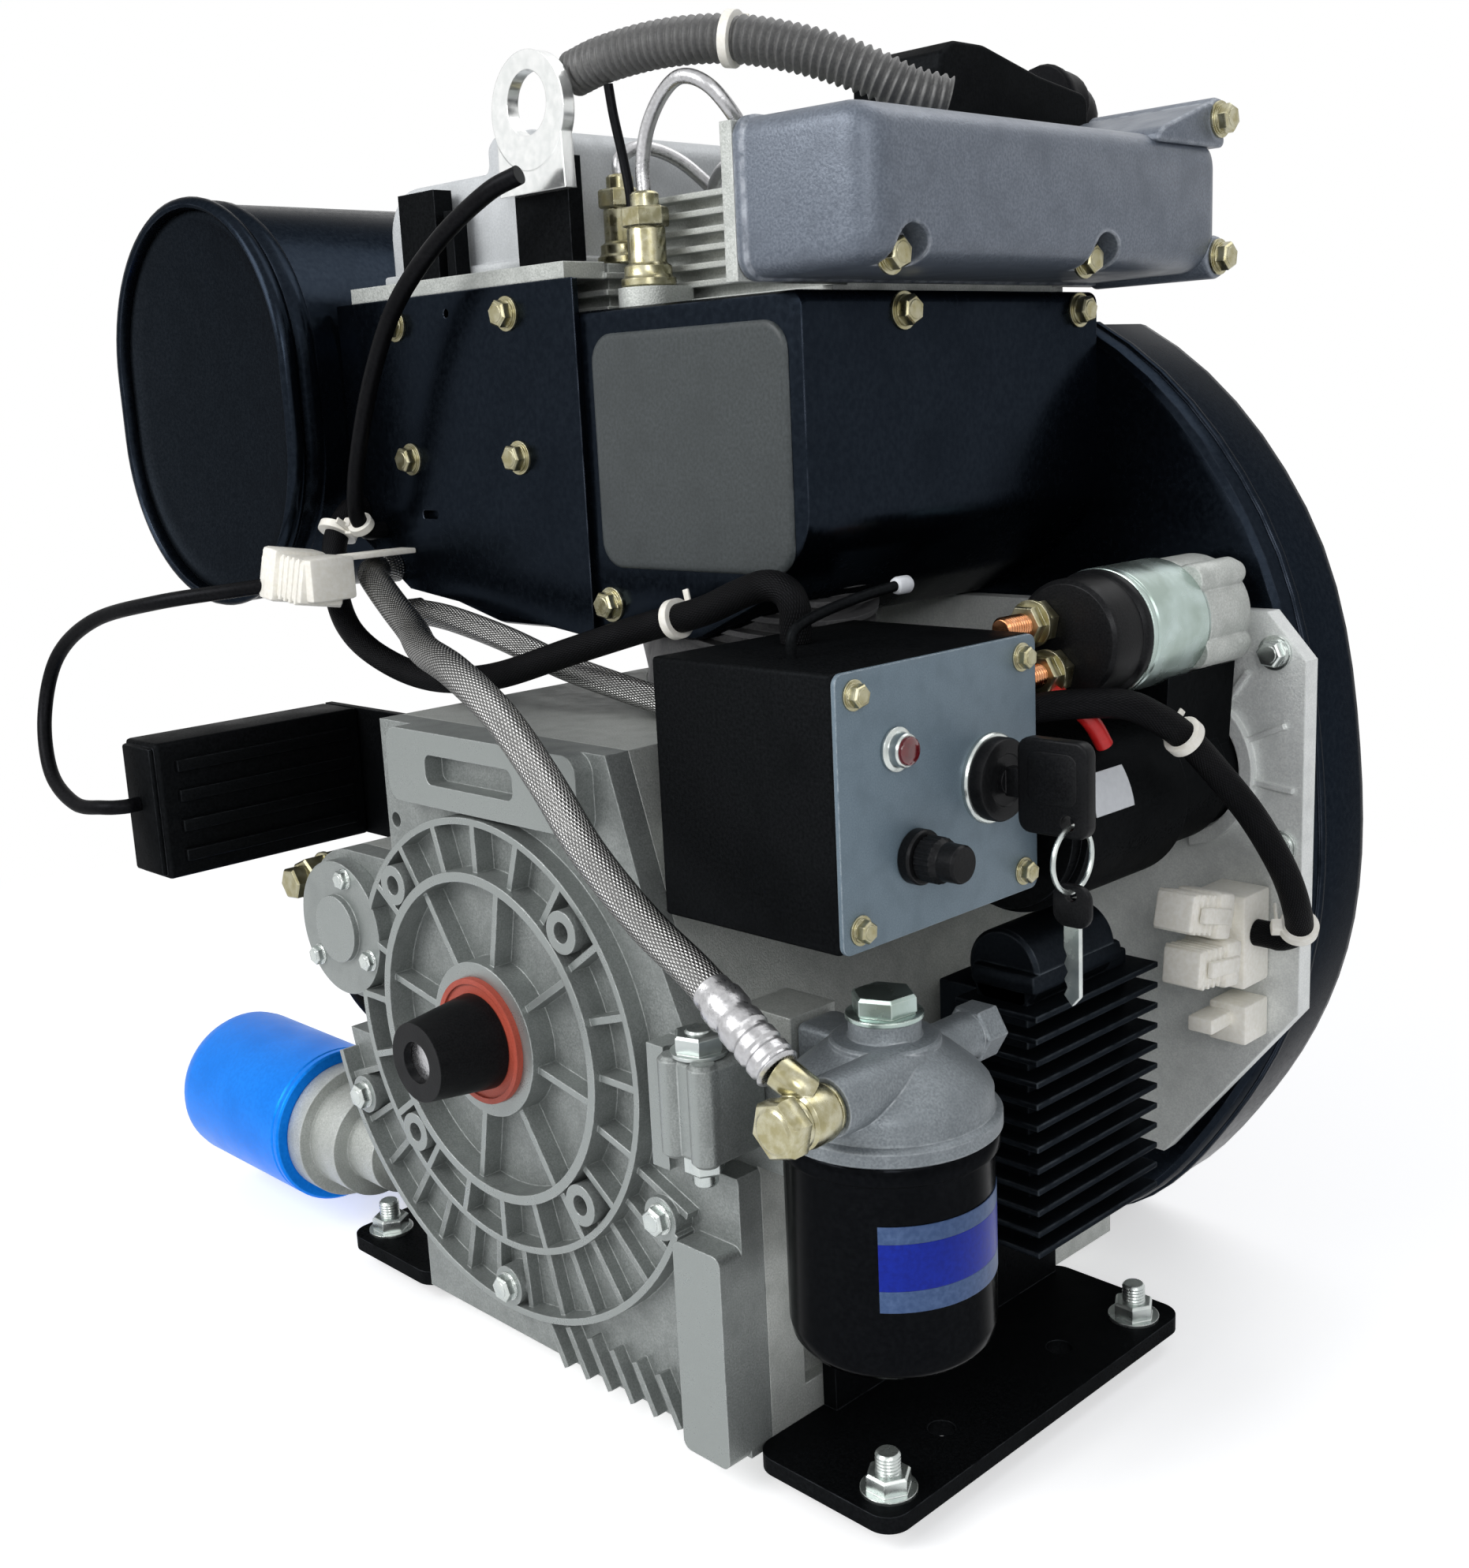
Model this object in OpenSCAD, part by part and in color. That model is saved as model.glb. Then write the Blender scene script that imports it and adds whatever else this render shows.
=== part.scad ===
// Air-cooled two-cylinder marine diesel engine, in millimetres.
// The origin is the centre of the drive flange face on the crank axis.
// -Y leaves the drive end, +X is the control panel side and +Z is up.

/* [Crankcase] */
// Crank axis to the left wall
case_left = 75; // [70:1:80]
// Crank axis to the right wall
case_right = 140; // [134:1:146]
// Crank axis down to the sump floor
case_drop = 145; // [143:1:152]
// Crank axis up to the top deck
case_deck = 130; // [126:1:132]
// Length behind the gear cover
case_len = 238; // [234:1:244]
// Thickness of the gear cover plate and its ribs
cover_t = 24; // [22:1:27]
// Height of the ribs on the gear cover
rib_h = 12; // [9:1:13]

/* [Drive flange] */
// Pilot diameter of the drive flange
pilot_d = 146.05; // [140:0.05:150]
// Bolt circle of the drive flange
flange_pcd = 165.1; // [160:0.1:168]
// Diameter of the tapped flange holes
flange_hole_d = 8.8; // [6:0.1:10]
// Outer diameter of the middle ring
middle_ring_d = 192; // [188:1:196]
// Outer diameter of the large lower ring
outer_ring_d = 254; // [248:1:256]
// Thickness of the cast ring walls and ribs
ring_wall = 3; // [2:0.5:4]
// Number of radial ribs between the rings
rib_count = 20; // [12:1:28]

/* [Crank train] */
// Diameter of the crankshaft journals
journal_d = 40; // [36:1:42]
// Crank throw
throw_r = 36; // [32:1:38]
// Diameter of the crank pins
pin_d = 38; // [34:1:40]
// Module of the timing gears
gear_module = 2.4; // [2.3:0.05:2.4]
// Teeth on the crank gear, the camshaft gear has twice as many
crank_teeth = 20; // [19:1:20]
// Diameter of the flywheel
flywheel_d = 236; // [226:1:238]
// Module of the starter ring
ring_module = 2.5; // [2.4:0.1:2.5]
// Blades on the cooling fan
fan_blades = 22; // [16:1:28]

/* [Cylinders] */
// Cylinder bore
bore_d = 80; // [74:1:82]
// Diameter over the cylinder fins
fin_d = 100; // [96:1:100]
// Lean of each cylinder from upright, in degrees
lean = 15; // [14:1:16]
// Distance along the crank between the two cylinders
cylinder_pitch = 66; // [64:1:68]
// Crank axis to the base of a cylinder, along its own axis
barrel_base = 138; // [136:1:142]
// Length of a cylinder barrel
barrel_len = 98; // [94:1:100]

/* [Cowl and scroll] */
// Crank axis to the left side of the cowl
cowl_left = 172; // [168:1:178]
// Crank axis to the right side of the cowl
cowl_right = 127; // [125:1:130]
// Height of the cowl top
cowl_top = 300; // [298:1:301]
// Height of the cowl bottom
cowl_bottom = 165; // [160:1:170]
// Drive face to the front of the cowl
cowl_front = 80; // [79:1:81]
// Sheet thickness
sheet_t = 2; // [1.5:0.25:2.5]
// Largest radius of the blower scroll
scroll_r = 311; // [306:1:314]
// Width of the scroll along the crank
scroll_w = 58; // [56:1:64]

/* [Control box] */
// Width of the panel along the crank
panel_w = 112; // [108:1:116]
// Height of the panel
panel_h = 98; // [94:1:102]
// Outer face of the panel from the crank axis
panel_x = 200; // [196:1:204]
// Depth of the box behind the panel
box_depth = 88; // [84:1:90]

/* [Fuel filter] */
// Diameter of the canister
can_d = 80; // [76:1:82]
// Length of the canister
can_len = 84; // [76:1:90]

/* [Oil filter] */
// Diameter of the oil filter
oil_d = 80; // [74:1:82]
// Length of the oil filter
oil_len = 108; // [90:1:112]

/* [Air cleaner] */
// Width of the drum
drum_w = 168; // [150:1:170]
// Height of the drum
drum_h = 200; // [186:1:204]
// Length of the drum
drum_len = 200; // [180:1:205]

/* [Starter] */
// Diameter of the starter motor
motor_d = 74; // [68:1:76]
// Length of the starter motor
motor_len = 77; // [70:1:80]
// Diameter of the solenoid
solenoid_d = 52; // [46:1:52]

/* [Feet] */
// Reach of a foot beyond its wall
foot_w = 71; // [60:1:75]
// Length of a foot
foot_len = 200; // [190:1:204]
// Thickness of the foot plate
foot_t = 7; // [6:0.5:8]
// Diameter of the mounting holes in the feet
foot_hole_d = 11; // [9:0.5:13]

/* [Hidden] */
$fn = 48;
run = 0.3;
over = 1;
case_front = cover_t;
case_back = case_front + case_len;
plate_y = rib_h;
hip_z = case_drop * 0.2;
waist_x = case_right * 0.743;
waist_z = case_deck * 0.377;
deck_x = case_right * 0.557;
wall_t = 8;
pad_in = 3;
skirt_in = 4;
journal_r = journal_d / 2;
pilot_r = pilot_d / 2;
flange_r = flange_pcd / 2;
flange_hole_r = flange_hole_d / 2;
middle_r = middle_ring_d / 2;
outer_r = outer_ring_d / 2;
hub_r = 34;
seal_r = 27.5;
seal_len = 10;
seal_proud = 3;
boss_r = 9;
small_hole_r = 3.4;
small_bolt_r = 3;
case_bolt_in = 11;
case_bolt_circle = outer_r - case_bolt_in;
case_bolt_angles = [-90, -26, -153];

/* Timing gears and shafts inside the case */
crank_pitch_r = gear_module * crank_teeth / 2;
cam_teeth = crank_teeth * 2;
cam_pitch_r = gear_module * cam_teeth / 2;
cam_z = crank_pitch_r + cam_pitch_r;
gear_w = 14;
gear_room = 20;
gear_gap = 4;
gear_y = case_front + gear_gap;
bearing_w = 18;
bearing_wall = 8;
bearing_y1 = case_front + gear_room + gear_gap;
bearing_y2 = case_back - cover_t;
crank_room_y = 98;
web_w = 13;
room_gap = 6;
rod_room = 28;
web_wall = 3;
web_r = 52;
crank_room_r = web_r + room_gap;
bearing_in = 2;
cyl_y1 = 134.5;
cyl_y2 = cyl_y1 + cylinder_pitch;
pin_len = cylinder_pitch - rod_room;
cam_r = 9;
cam_lobe_r = 13;
shaft_gap = 0.05;

stub_len = 30;
stub_step = 2;
stub_r = 14;

/* Flywheel end */
housing_t = 10;
housing_back = case_back + housing_t;
scroll_y0 = housing_back;
scroll_y1 = scroll_y0 + scroll_w;
flywheel_r = flywheel_d / 2;
flywheel_y = scroll_y0 + gear_gap;
flywheel_w = 22;
flywheel_hole_r = 14;
ring_w = 10;
ring_teeth = 100;
ring_pitch_r = ring_module * ring_teeth / 2;
ring_seat_r = ring_pitch_r - ring_module * 2.8;
fan_y = flywheel_y + flywheel_w;
fan_plate_t = 2;
fan_w = 24;
fan_inner_r = 68;
fan_blade_t = 2.4;
flange_w = 10;
crank_flange_r = 34;
guard_r = 112;
guard_t = 3;
guard_rim = 6;
guard_bar = 2;
scroll_clear = 14;
scroll_min_r = ring_pitch_r + scroll_clear;
scroll_corner = 24;
scroll_shares = [0.553, 0.514, 0.476, 0.455, 0.453, 0.547, 0.633, 0.672, 0.736, 0.807, 0.923, 1.0];

/* Starter */
motor_r = motor_d / 2;
motor_x = 178;
motor_z = 93;
motor_y = 128;
solenoid_r = solenoid_d / 2;
solenoid_x = 190;
solenoid_z = 163;
solenoid_cap_len = 23;
solenoid_y = 155;
solenoid_seat = 5;
nose_y = motor_y + motor_len;
pinion_teeth = 10;
pinion_pitch_r = ring_module * pinion_teeth / 2;
pinion_angle = atan2(motor_z, motor_x);
pinion_dist = ring_pitch_r + pinion_pitch_r;
pinion_x = pinion_dist * cos(pinion_angle);
pinion_z = pinion_dist * sin(pinion_angle);
pinion_w = 12;
pinion_shaft_r = 5;
pinion_y = case_back - pinion_w / 2;
nose_r = 19;
nose_w = 14;

/* Heads and covers */
head_w = 111;
valley = 5;
head_y1 = 92;
head_y2 = 262;
head_base = 252;
head_top1 = 345;
head_top2 = 321;
head_x = valley + head_w;
cap_flange_t = 6;
cap_x0 = head_x + run;
cap_depth = 62;
cap_y0 = 58;
cap_y1 = 292;
cap_z0 = 303;
cap_z1 = 361;
cap_wall = 4;
cap_round = 8;
ear_r = 9;
ear_len = cap_depth;
ear_y = 287;
ear_z_shares = [0.13, 1.09];
pocket_r = 9;
pocket_ys = [84, 204];
left_cap_x0 = -158;
left_cap_x1 = -40;
left_cap_h1 = 44;
left_cap_h2 = 59;
left_cap_step = -78;
left_cap_len = 168;
strip_h = 7;
fin_pitch = 7;
fin_t = 2.5;
fin_depth = 8;
boss_h = 8;
boss_top = cowl_top + boss_h;
pump_y = [148, 198];
pump_z0 = 268;
pump_z1 = 309;
valve_ys = [160, 186];
valve_h = 4;

/* Small hardware */
washer_r = 7.5;
washer_t = 1.6;
hex_r = 6;
hex_h = 5;
stud_r = 5;
nut_r = 9;
nut_h = 8;
plate_bolts = [[-131, 302], [-46, 302], [-127, 240], [-44, 240]];
low_bolt = [9, 177];
side_bolt_ys = [138, 258];
bolt_in = 8;

/* Feet */
foot_y = 12;
foot_under = 3;
foot_hole_ys = [foot_y + foot_len * 0.3, foot_y + foot_len * 0.7];
foot_stud_ys = [foot_y + foot_len * 0.08, foot_y + foot_len * 0.91];
foot_stud_share = 0.8;

/* Air cleaner */
drum_y = 43;
drum_gap = 9;
drum_x = -cowl_left - drum_gap - drum_w / 2;
drum_z = 270;
drum_r = drum_w / 2;
drum_flat = (drum_h - drum_w) / 2;
rim_r = 3;
lid_t = 2;
lug_t = 30;
lid_in = 8;
drum_port = [-240, 330];
port_gap = 0.2;
port_y = drum_y + drum_len + port_gap;

/* Control box */
panel_t = 2;
panel_y = 10;
panel_z = 73;
box_wall = 2;
box_x0 = panel_x - panel_t - box_depth;
lever_in = [40, 22];
lever_r = 2.5;
switch_len = 40;
holder_len = 30;
lamp_len = 12;
key_y = 93;
key_z = 121;
key_bezel_r = 17;
key_bezel_h = 3;
key_body_r = 13;
key_body_h = 8;
lamp_r = 5;
fuse_neck_r = 6;
fuse_bore_r = 4;
fuse_collar = 5;
lamp_y = 40;
lamp_z = 141;
fuse_y = 49;
fuse_z = 101;
fuse_r = 8.5;
key_blade_t = 3;
key_head_w = 22;
key_head_len = 30;
key_x = panel_x + key_body_h + run;
key_hole_r = 3;
key_shank_r = 5;
key_bore = 14;
ring_wire_r = 1;
ring_loop_r = 12;
ring_reach = 36;
ring_drop = 12;
ring_x = panel_x + ring_reach;
ring_hole_z = key_z - ring_drop;
ring_play = 0.15;
ring_sag = ring_loop_r - sqrt(ring_loop_r * ring_loop_r - key_blade_t * key_blade_t);
ring_z = ring_hole_z - key_hole_r + ring_wire_r + ring_sag + ring_play;

/* Fuel filter */
filter_x = 200;
filter_y = 30;
can_r = can_d / 2;
can_top = 7;
can_in = 2;
head_h = 33;
filter_top = can_top + head_h;
filter_plug_h = 9;
filter_plug_base = 7;
banjo_x = 212;
banjo_z = 30;
banjo_y = -14;
banjo_r = 9;
banjo_w = 14;
banjo_hex_h = 8;
banjo_hex_r = 11;

/* Oil filter */
oil_r = oil_d / 2;
oil_y = 38;
oil_z = -102;
oil_x0 = -184;

/* Pump cover */
pump_x = -112;
pump_z = 28;
pump_r = 32;
pump_t = 8;
pump_boss_r = 36;
pump_bolt_r = 26;
pump_head_h = 4;
pump_bolt_angles = [73, 220, 334];

banjo2_x = -150;
banjo2_y = 38;
banjo2_z = 40;

/* Dipstick */
dip_y = 150;
dip_z = 12;
dip_r = 2.8;
dip_tube = 18;
dip_depth = 26;

/* Box beside the gear cover */
reg_x0 = -240;
reg_w = 32;
reg_y0 = -33;
reg_len = 118;
reg_z0 = 43;
reg_h = 68;

/* Engine lug on the right */
lug_x0 = 106;
lug_w = 50;
lug_h = 50;
lug_z0 = -26;
lug_bolt_x = 120;
lug_bolt_y = 2;

/* Hoses and wires, routes are chosen by hand */
hose_r = 7;
wire_r = 6;
thin_wire_r = 4;
pipe_r = 3;
fuel_route = [[203, -27, 45], [188, -26, 54], [160, -21, 67], [128, -17, 80], [96, -14, 100], [72, -13, 124],
    [46, -12, 146], [10, -6, 160], [-30, 8, 164], [-64, 26, 168], [-94, 38, 175], [-118, 47, 182], [-138, 56, 187],
    [-148, 66, 188], [-148, 71, 188], [-148, 76.8, 188]];
return_route = [[-130, 76.8, 168], [-130, 73, 168], [-130, 70, 168], [-116, 66, 169], [-90, 66, 167],
    [-52, 67, 160], [-14, 69, 150], [20, 72, 143], [44, 73, 139], [62, 74, 136.1], [72, 75, 135.9]];
bundle_route = [[-172, 76.8, 216], [-172, 73, 216], [-172, 69, 216], [-171, 58, 202], [-163, 51, 178],
    [-150, 49, 160], [-122, 48, 148], [-84, 48, 142], [-40, 50, 146], [10, 54, 160], [52, 60, 172],
    [84, 62, 180], [106, 62, 188], [122, 60, 192], [132, 60, 190], [136, 60, 184], [136, 60, 178], [136, 60, 171.2]];
eye_route = [[-17, 66, 356], [-34, 61, 350], [-66, 58, 334], [-100, 57, 310], [-124, 57, 280], [-142, 57, 244],
    [-152, 59, 218], [-156, 66, 207], [-156, 70, 206], [-156, 73, 206], [-156, 76.8, 206]];
loop_route = [[-150.2, 30, 186], [-154, 30, 186], [-158, 30, 186], [-180, 6, 183], [-215, -18, 178],
    [-262, -28, 168], [-296, -34, 148], [-302, -42, 118], [-284, -50, 92], [-256, -52, 80], [-234, -48, 80],
    [-226, -41, 80], [-226, -36, 80], [-226, -33.2, 80]];
harness_route = [[192, 122.2, 140], [192, 126, 140], [192, 130, 140], [203, 142, 141], [216, 156, 140],
    [222, 168, 134], [227, 182, 124], [232, 200, 106], [240, 214, 86], [246, 228, 62], [246, 240, 42],
    [242, 248, 31], [234, 250, 26], [230, 250, 26], [226, 250, 26], [222.2, 250, 26]];
oil_route = [[-160, 38, 30.8], [-160, 38, 26], [-160, 38, 21], [-162, 37, 8], [-164, 37, -6], [-159, 42, -26], [-146, 53, -44],
    [-122, 68, -54], [-98, 75, -56], [-84, 75, -56], [-75.2, 75, -56]];
conduit_route = [[-12, 95, 397], [8, 96, 400], [36, 103, 402], [64, 113, 400], [90, 125, 393], [110, 137, 384],
    [124, 149, 375], [134, 160, 370.5]];
branch_route = [[8, 96, 390], [9, 97, 378], [12, 98, 362], [15, 98, 348], [15.6, 98, 340.2]];
pipe_route_right = [[24, 98, 346.2], [24, 98, 356], [28, 98, 370], [38, 98, 382], [50, 98, 387], [62, 101, 382],
    [67, 110, 370], [60, 124, 361], [40, 138, 359], [18, 150, 358], [4, 158, 352], [0, 160, 340],
    [0, 160, 326], [0, 160, 318.2]];
pipe_route_left = [[-20, 124, 359.2], [-20, 125, 366], [-18, 136, 371], [-12, 152, 366], [-5, 168, 352], [-1, 180, 338],
    [0, 186, 332], [0, 186, 325], [0, 186, 318.2]];
intake_route = concat([for (d = [0, 6.8, 18.8]) [drum_port[0], port_y + d, drum_port[1]]], [[-236, 284, 334],
    [-214, 302, 342], [-170, 310, 346], [-100, 312, 350], [-20, 314, 356], [40, 314, 366], [76, 312, 378], [82, 302, 384],
    [82, 292, 385]]);
skew = [0.48, 0.36, 0.8];
inj_right = [24, 98];
inj_left = [-20, 124];
intake_r = 19;

/* A flat outline in X and Z, drawn from y0 to y1 */
module across_y(y0, y1) {
    translate([0, y1, 0]) rotate([90, 0, 0]) linear_extrude(height = y1 - y0) children();
}

/* A flat outline in Y and Z, drawn from x0 to x1 */
module across_x(x0, x1) {
    translate([x0, 0, 0]) rotate([90, 0, 90]) linear_extrude(height = x1 - x0) children();
}

/* Round bars along each axis */
module rod_y(x, z, y0, y1, r, f = $fn) {
    translate([x, y0, z]) rotate([-90, 0, 0]) cylinder(r = r, h = y1 - y0, $fn = f);
}

module rod_x(y, z, x0, x1, r, f = $fn) {
    translate([x0, y, z]) rotate([0, 90, 0]) cylinder(r = r, h = x1 - x0, $fn = f);
}

module rod_z(x, y, z0, z1, r, f = $fn) {
    translate([x, y, z0]) cylinder(r = r, h = z1 - z0, $fn = f);
}

/* A block between two corners */
module block(a, b) {
    translate(a) cube([b[0] - a[0], b[1] - a[1], b[2] - a[2]]);
}

/* A rounded rectangle from its lower left corner */
module round_rect(w, h, r) {
    translate([r, 0]) square([w - 2 * r, h]);
    translate([0, r]) square([w, h - 2 * r]);
    for (x = [r, w - r]) for (y = [r, h - r]) translate([x, y]) circle(r);
}

/* A flat sector used to trim rings to an arc */
module sector(r, a0, a1) {
    polygon([[0, 0], for (i = [0 : 8]) 2 * r * [cos(a0 + (a1 - a0) * i / 8), sin(a0 + (a1 - a0) * i / 8)]]);
}

/* A cylinder axis leans by the lean angle, side is 1 on the right and -1 on the left */
module leaning(side, y) {
    translate([0, y, 0]) rotate([0, side * lean, 0]) children();
}

/* Bolt heads with a washer, looking along -Y and +X */
module bolt_y(x, y, z) {
    rod_y(x, z, y - washer_t, y, washer_r);
    rod_y(x, z, y - washer_t - hex_h, y - washer_t, hex_r, 6);
}

module bolt_x(x, y, z) {
    rod_x(y, z, x, x + washer_t, washer_r);
    rod_x(y, z, x + washer_t, x + washer_t + hex_h, hex_r, 6);
}

/* Points and surface of a smooth tube through a list of points */
function unit(v) = v / norm(v);
function spline(p, i, t) = let (a = p[max(i - 1, 0)], b = p[i], c = p[i + 1], d = p[min(i + 2, len(p) - 1)])
    b + t * (c - a) / 2 + t * t * (a - 2.5 * b + 2 * c - d / 2) + t * t * t * (d - a + 3 * (b - c)) / 2;
function smooth_path(p, k) = [for (i = [0 : len(p) - 2]) for (j = [0 : k - 1]) spline(p, i, j / k), p[len(p) - 1]];
function heading(q, i) = unit(q[min(i + 1, len(q) - 1)] - q[max(i - 1, 0)]);
function ring_at(q, i, r, s, up) = let (t = heading(q, i), n = unit(cross(t, up)), b = cross(t, n))
    [for (a = [0 : s - 1]) q[i] + r * (n * cos(360 * a / s) + b * sin(360 * a / s))];
function tube_faces(n, s) = concat(
    [for (i = [0 : n - 2]) for (a = [0 : s - 1]) [i * s + a, (i + 1) * s + a, i * s + (a + 1) % s]],
    [for (i = [0 : n - 2]) for (a = [0 : s - 1]) [i * s + (a + 1) % s, (i + 1) * s + a, (i + 1) * s + (a + 1) % s]],
    [for (a = [1 : s - 2]) [0, a, a + 1]],
    [for (a = [1 : s - 2]) [(n - 1) * s, (n - 1) * s + a + 1, (n - 1) * s + a]]);

module tube_along(q, r, s, up) {
    polyhedron(points = [for (i = [0 : len(q) - 1]) each ring_at(q, i, r, s, up)],
        faces = tube_faces(len(q), s), convexity = 10);
}

module tube(route, r, s, k, up) {
    tube_along(smooth_path(route, k), r, s, up);
}

/* Involute gear outline, thin is the share of the tooth left as backlash */
function inv_angle(r, rb) = r <= rb ? 0 : (sqrt(r * r / (rb * rb) - 1) * 180 / PI) - acos(rb / r);
function flank(m, z, r, thin) = let (rp = m * z / 2, rb = rp * cos(20))
    (90 - thin * 90) / z + inv_angle(rp, rb) - inv_angle(max(r, rb), rb);
module gear_outline(m, z, thin, n = 4) {
    rp = m * z / 2;
    radii = [for (i = [0 : n]) rp - 1.2 * m + i * 2.1 * m / n];
    polygon([for (t = [0 : z - 1]) each concat(
        [for (i = [0 : n]) let (a = 360 * t / z - flank(m, z, radii[i], thin)) radii[i] * [cos(a), sin(a)]],
        [for (i = [n : -1 : 0]) let (a = 360 * t / z + flank(m, z, radii[i], thin)) radii[i] * [cos(a), sin(a)]])]);
}

/* Front outline of the crankcase in X and Z */
module case_outline() {
    polygon([[-case_left, -case_drop], [case_right, -case_drop], [case_right, -hip_z], [waist_x, waist_z],
        [deck_x, case_deck], [-case_left, case_deck]]);
}

/* Round boss beside the case that carries the pump cover */
module pump_boss() {
    translate([pump_x, pump_z]) circle(pump_boss_r);
    translate([pump_x, pump_z - pump_boss_r]) square([-case_left + over - pump_x, 2 * pump_boss_r]);
}

module crankcase() {
    rib_pitch = 24;
    rib_pocket = 20;
    pocket_d = 6;
    pocket_in = [18, 12, 20];
    pocket_z0 = -case_drop + pocket_in[0];
    pocket_z1 = -hip_z - pocket_in[1];
    pocket_y0 = case_front + pocket_in[2];
    pocket_n = floor((case_len - rib_pitch * 1.25) / rib_pitch);
    pad_r = fin_d / 2 - pad_in;
    spigot_r = bore_d / 2 + over;
    box_lug_h = 16;
    box_lug_z = panel_z + box_lug_h * 0.875;
    box_lug_ys = [26, 80];
    filter_lug = [26, 14, 14, 40];
    filter_lug_z = filter_top - filter_lug[0];
    oil_lug = [8, 10];
    dip_boss = [8, 7];
    color("silver") difference() {
        union() {
            across_y(case_front, case_back) case_outline();
            across_y(case_front, case_front + wall_t * 4) pump_boss();
            for (s = [-1, 1]) leaning(s, s > 0 ? cyl_y1 : cyl_y2)
                rod_z(0, 0, barrel_base - wall_t * 4, barrel_base, pad_r);
            for (d = box_lug_ys) block([waist_x * 0.6, panel_y + d, box_lug_z],
                [box_x0, panel_y + d + box_lug_h, box_lug_z + box_lug_h]);
            block([waist_x * 0.8, filter_y + filter_lug[2], filter_lug_z - filter_lug[1]],
                [case_right, filter_y + filter_lug[3], filter_lug_z + filter_lug[1]]);
            block([banjo2_x, banjo2_y - oil_lug[0], banjo2_z - oil_lug[1]],
                [pump_x, banjo2_y + oil_lug[0], banjo2_z + oil_lug[1]]);
            dip_frame() rod_z(0, 0, -dip_boss[0], dip_tube, dip_boss[1]);
        }
        for (i = [0 : pocket_n - 1])
            block([case_right - pocket_d, pocket_y0 + i * rib_pitch, pocket_z0],
                [case_right + over, pocket_y0 + i * rib_pitch + rib_pocket, pocket_z1]);
        rod_y(0, 0, case_front - over, case_front + gear_room, crank_pitch_r + gear_gap);
        rod_y(0, cam_z, case_front - over, case_front + gear_room, cam_pitch_r + gear_gap);
        rod_y(0, 0, case_front, bearing_y1 + bearing_w, journal_r + bearing_wall);
        rod_y(0, 0, bearing_y1 + bearing_w - over, crank_room_y + over, journal_r + run);
        rod_y(0, 0, crank_room_y, bearing_y2 - bearing_in, crank_room_r);
        rod_y(0, cam_z, crank_room_y, bearing_y2 - bearing_in, cam_lobe_r + bearing_in);
        rod_y(0, cam_z, case_front, crank_room_y + over, cam_r + shaft_gap);
        rod_y(0, cam_z, bearing_y2 - bearing_in - over, bearing_y2 + bearing_w - wall_t, cam_r + shaft_gap);
        rod_y(0, 0, bearing_y2 - bearing_in - over, case_back + over, journal_r + run);
        rod_y(0, 0, bearing_y2, case_back + over, journal_r + bearing_wall);
        for (s = [-1, 1]) leaning(s, s > 0 ? cyl_y1 : cyl_y2) {
            rod_z(0, 0, 0, barrel_base + over, spigot_r);
            rod_z(0, 0, barrel_base, barrel_base + barrel_len / 2, fin_d / 2 - skirt_in + run);
        }
        dip_frame() rod_z(0, 0, -dip_depth - over, dip_tube + over, dip_r + shaft_gap);
    }
}

module dip_frame() {
    translate([-case_left, dip_y, dip_z]) rotate([0, -45, 0]) children();
}

/* Raised cast rings, spokes and ribs on the face of the gear cover */
module cover_rings() {
    spoke_n = 8;
    across_y(0, plate_y + over) difference() {
        circle(pilot_r);
        circle(pilot_r - ring_wall * 1.4);
    }
    across_y(ring_wall, plate_y + over) difference() {
        circle(middle_r);
        circle(middle_r - ring_wall);
    }
    across_y(ring_wall, plate_y + over) intersection() {
        difference() {
            circle(outer_r);
            circle(outer_r - ring_wall);
        }
        sector(outer_r, 196, 334);
    }
    across_y(0, plate_y + over) circle(hub_r);
    for (i = [0 : rib_count - 1]) rotate([0, 360 * i / rib_count, 0])
        block([pilot_r - over, ring_wall, -ring_wall / 2], [middle_r - over, plate_y + over, ring_wall / 2]);
    for (i = [0 : spoke_n - 1]) rotate([0, 360 * (i + 0.25) / spoke_n, 0])
        block([hub_r - over, ring_wall, -ring_wall / 2], [pilot_r - over, plate_y + over, ring_wall / 2]);
    for (i = [0 : 13]) rotate([0, 22 + 136 * i / 13, 0])
        block([middle_r - over, ring_wall * 2, -ring_wall / 2], [outer_r - over, plate_y + over, ring_wall / 2]);
}

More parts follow.
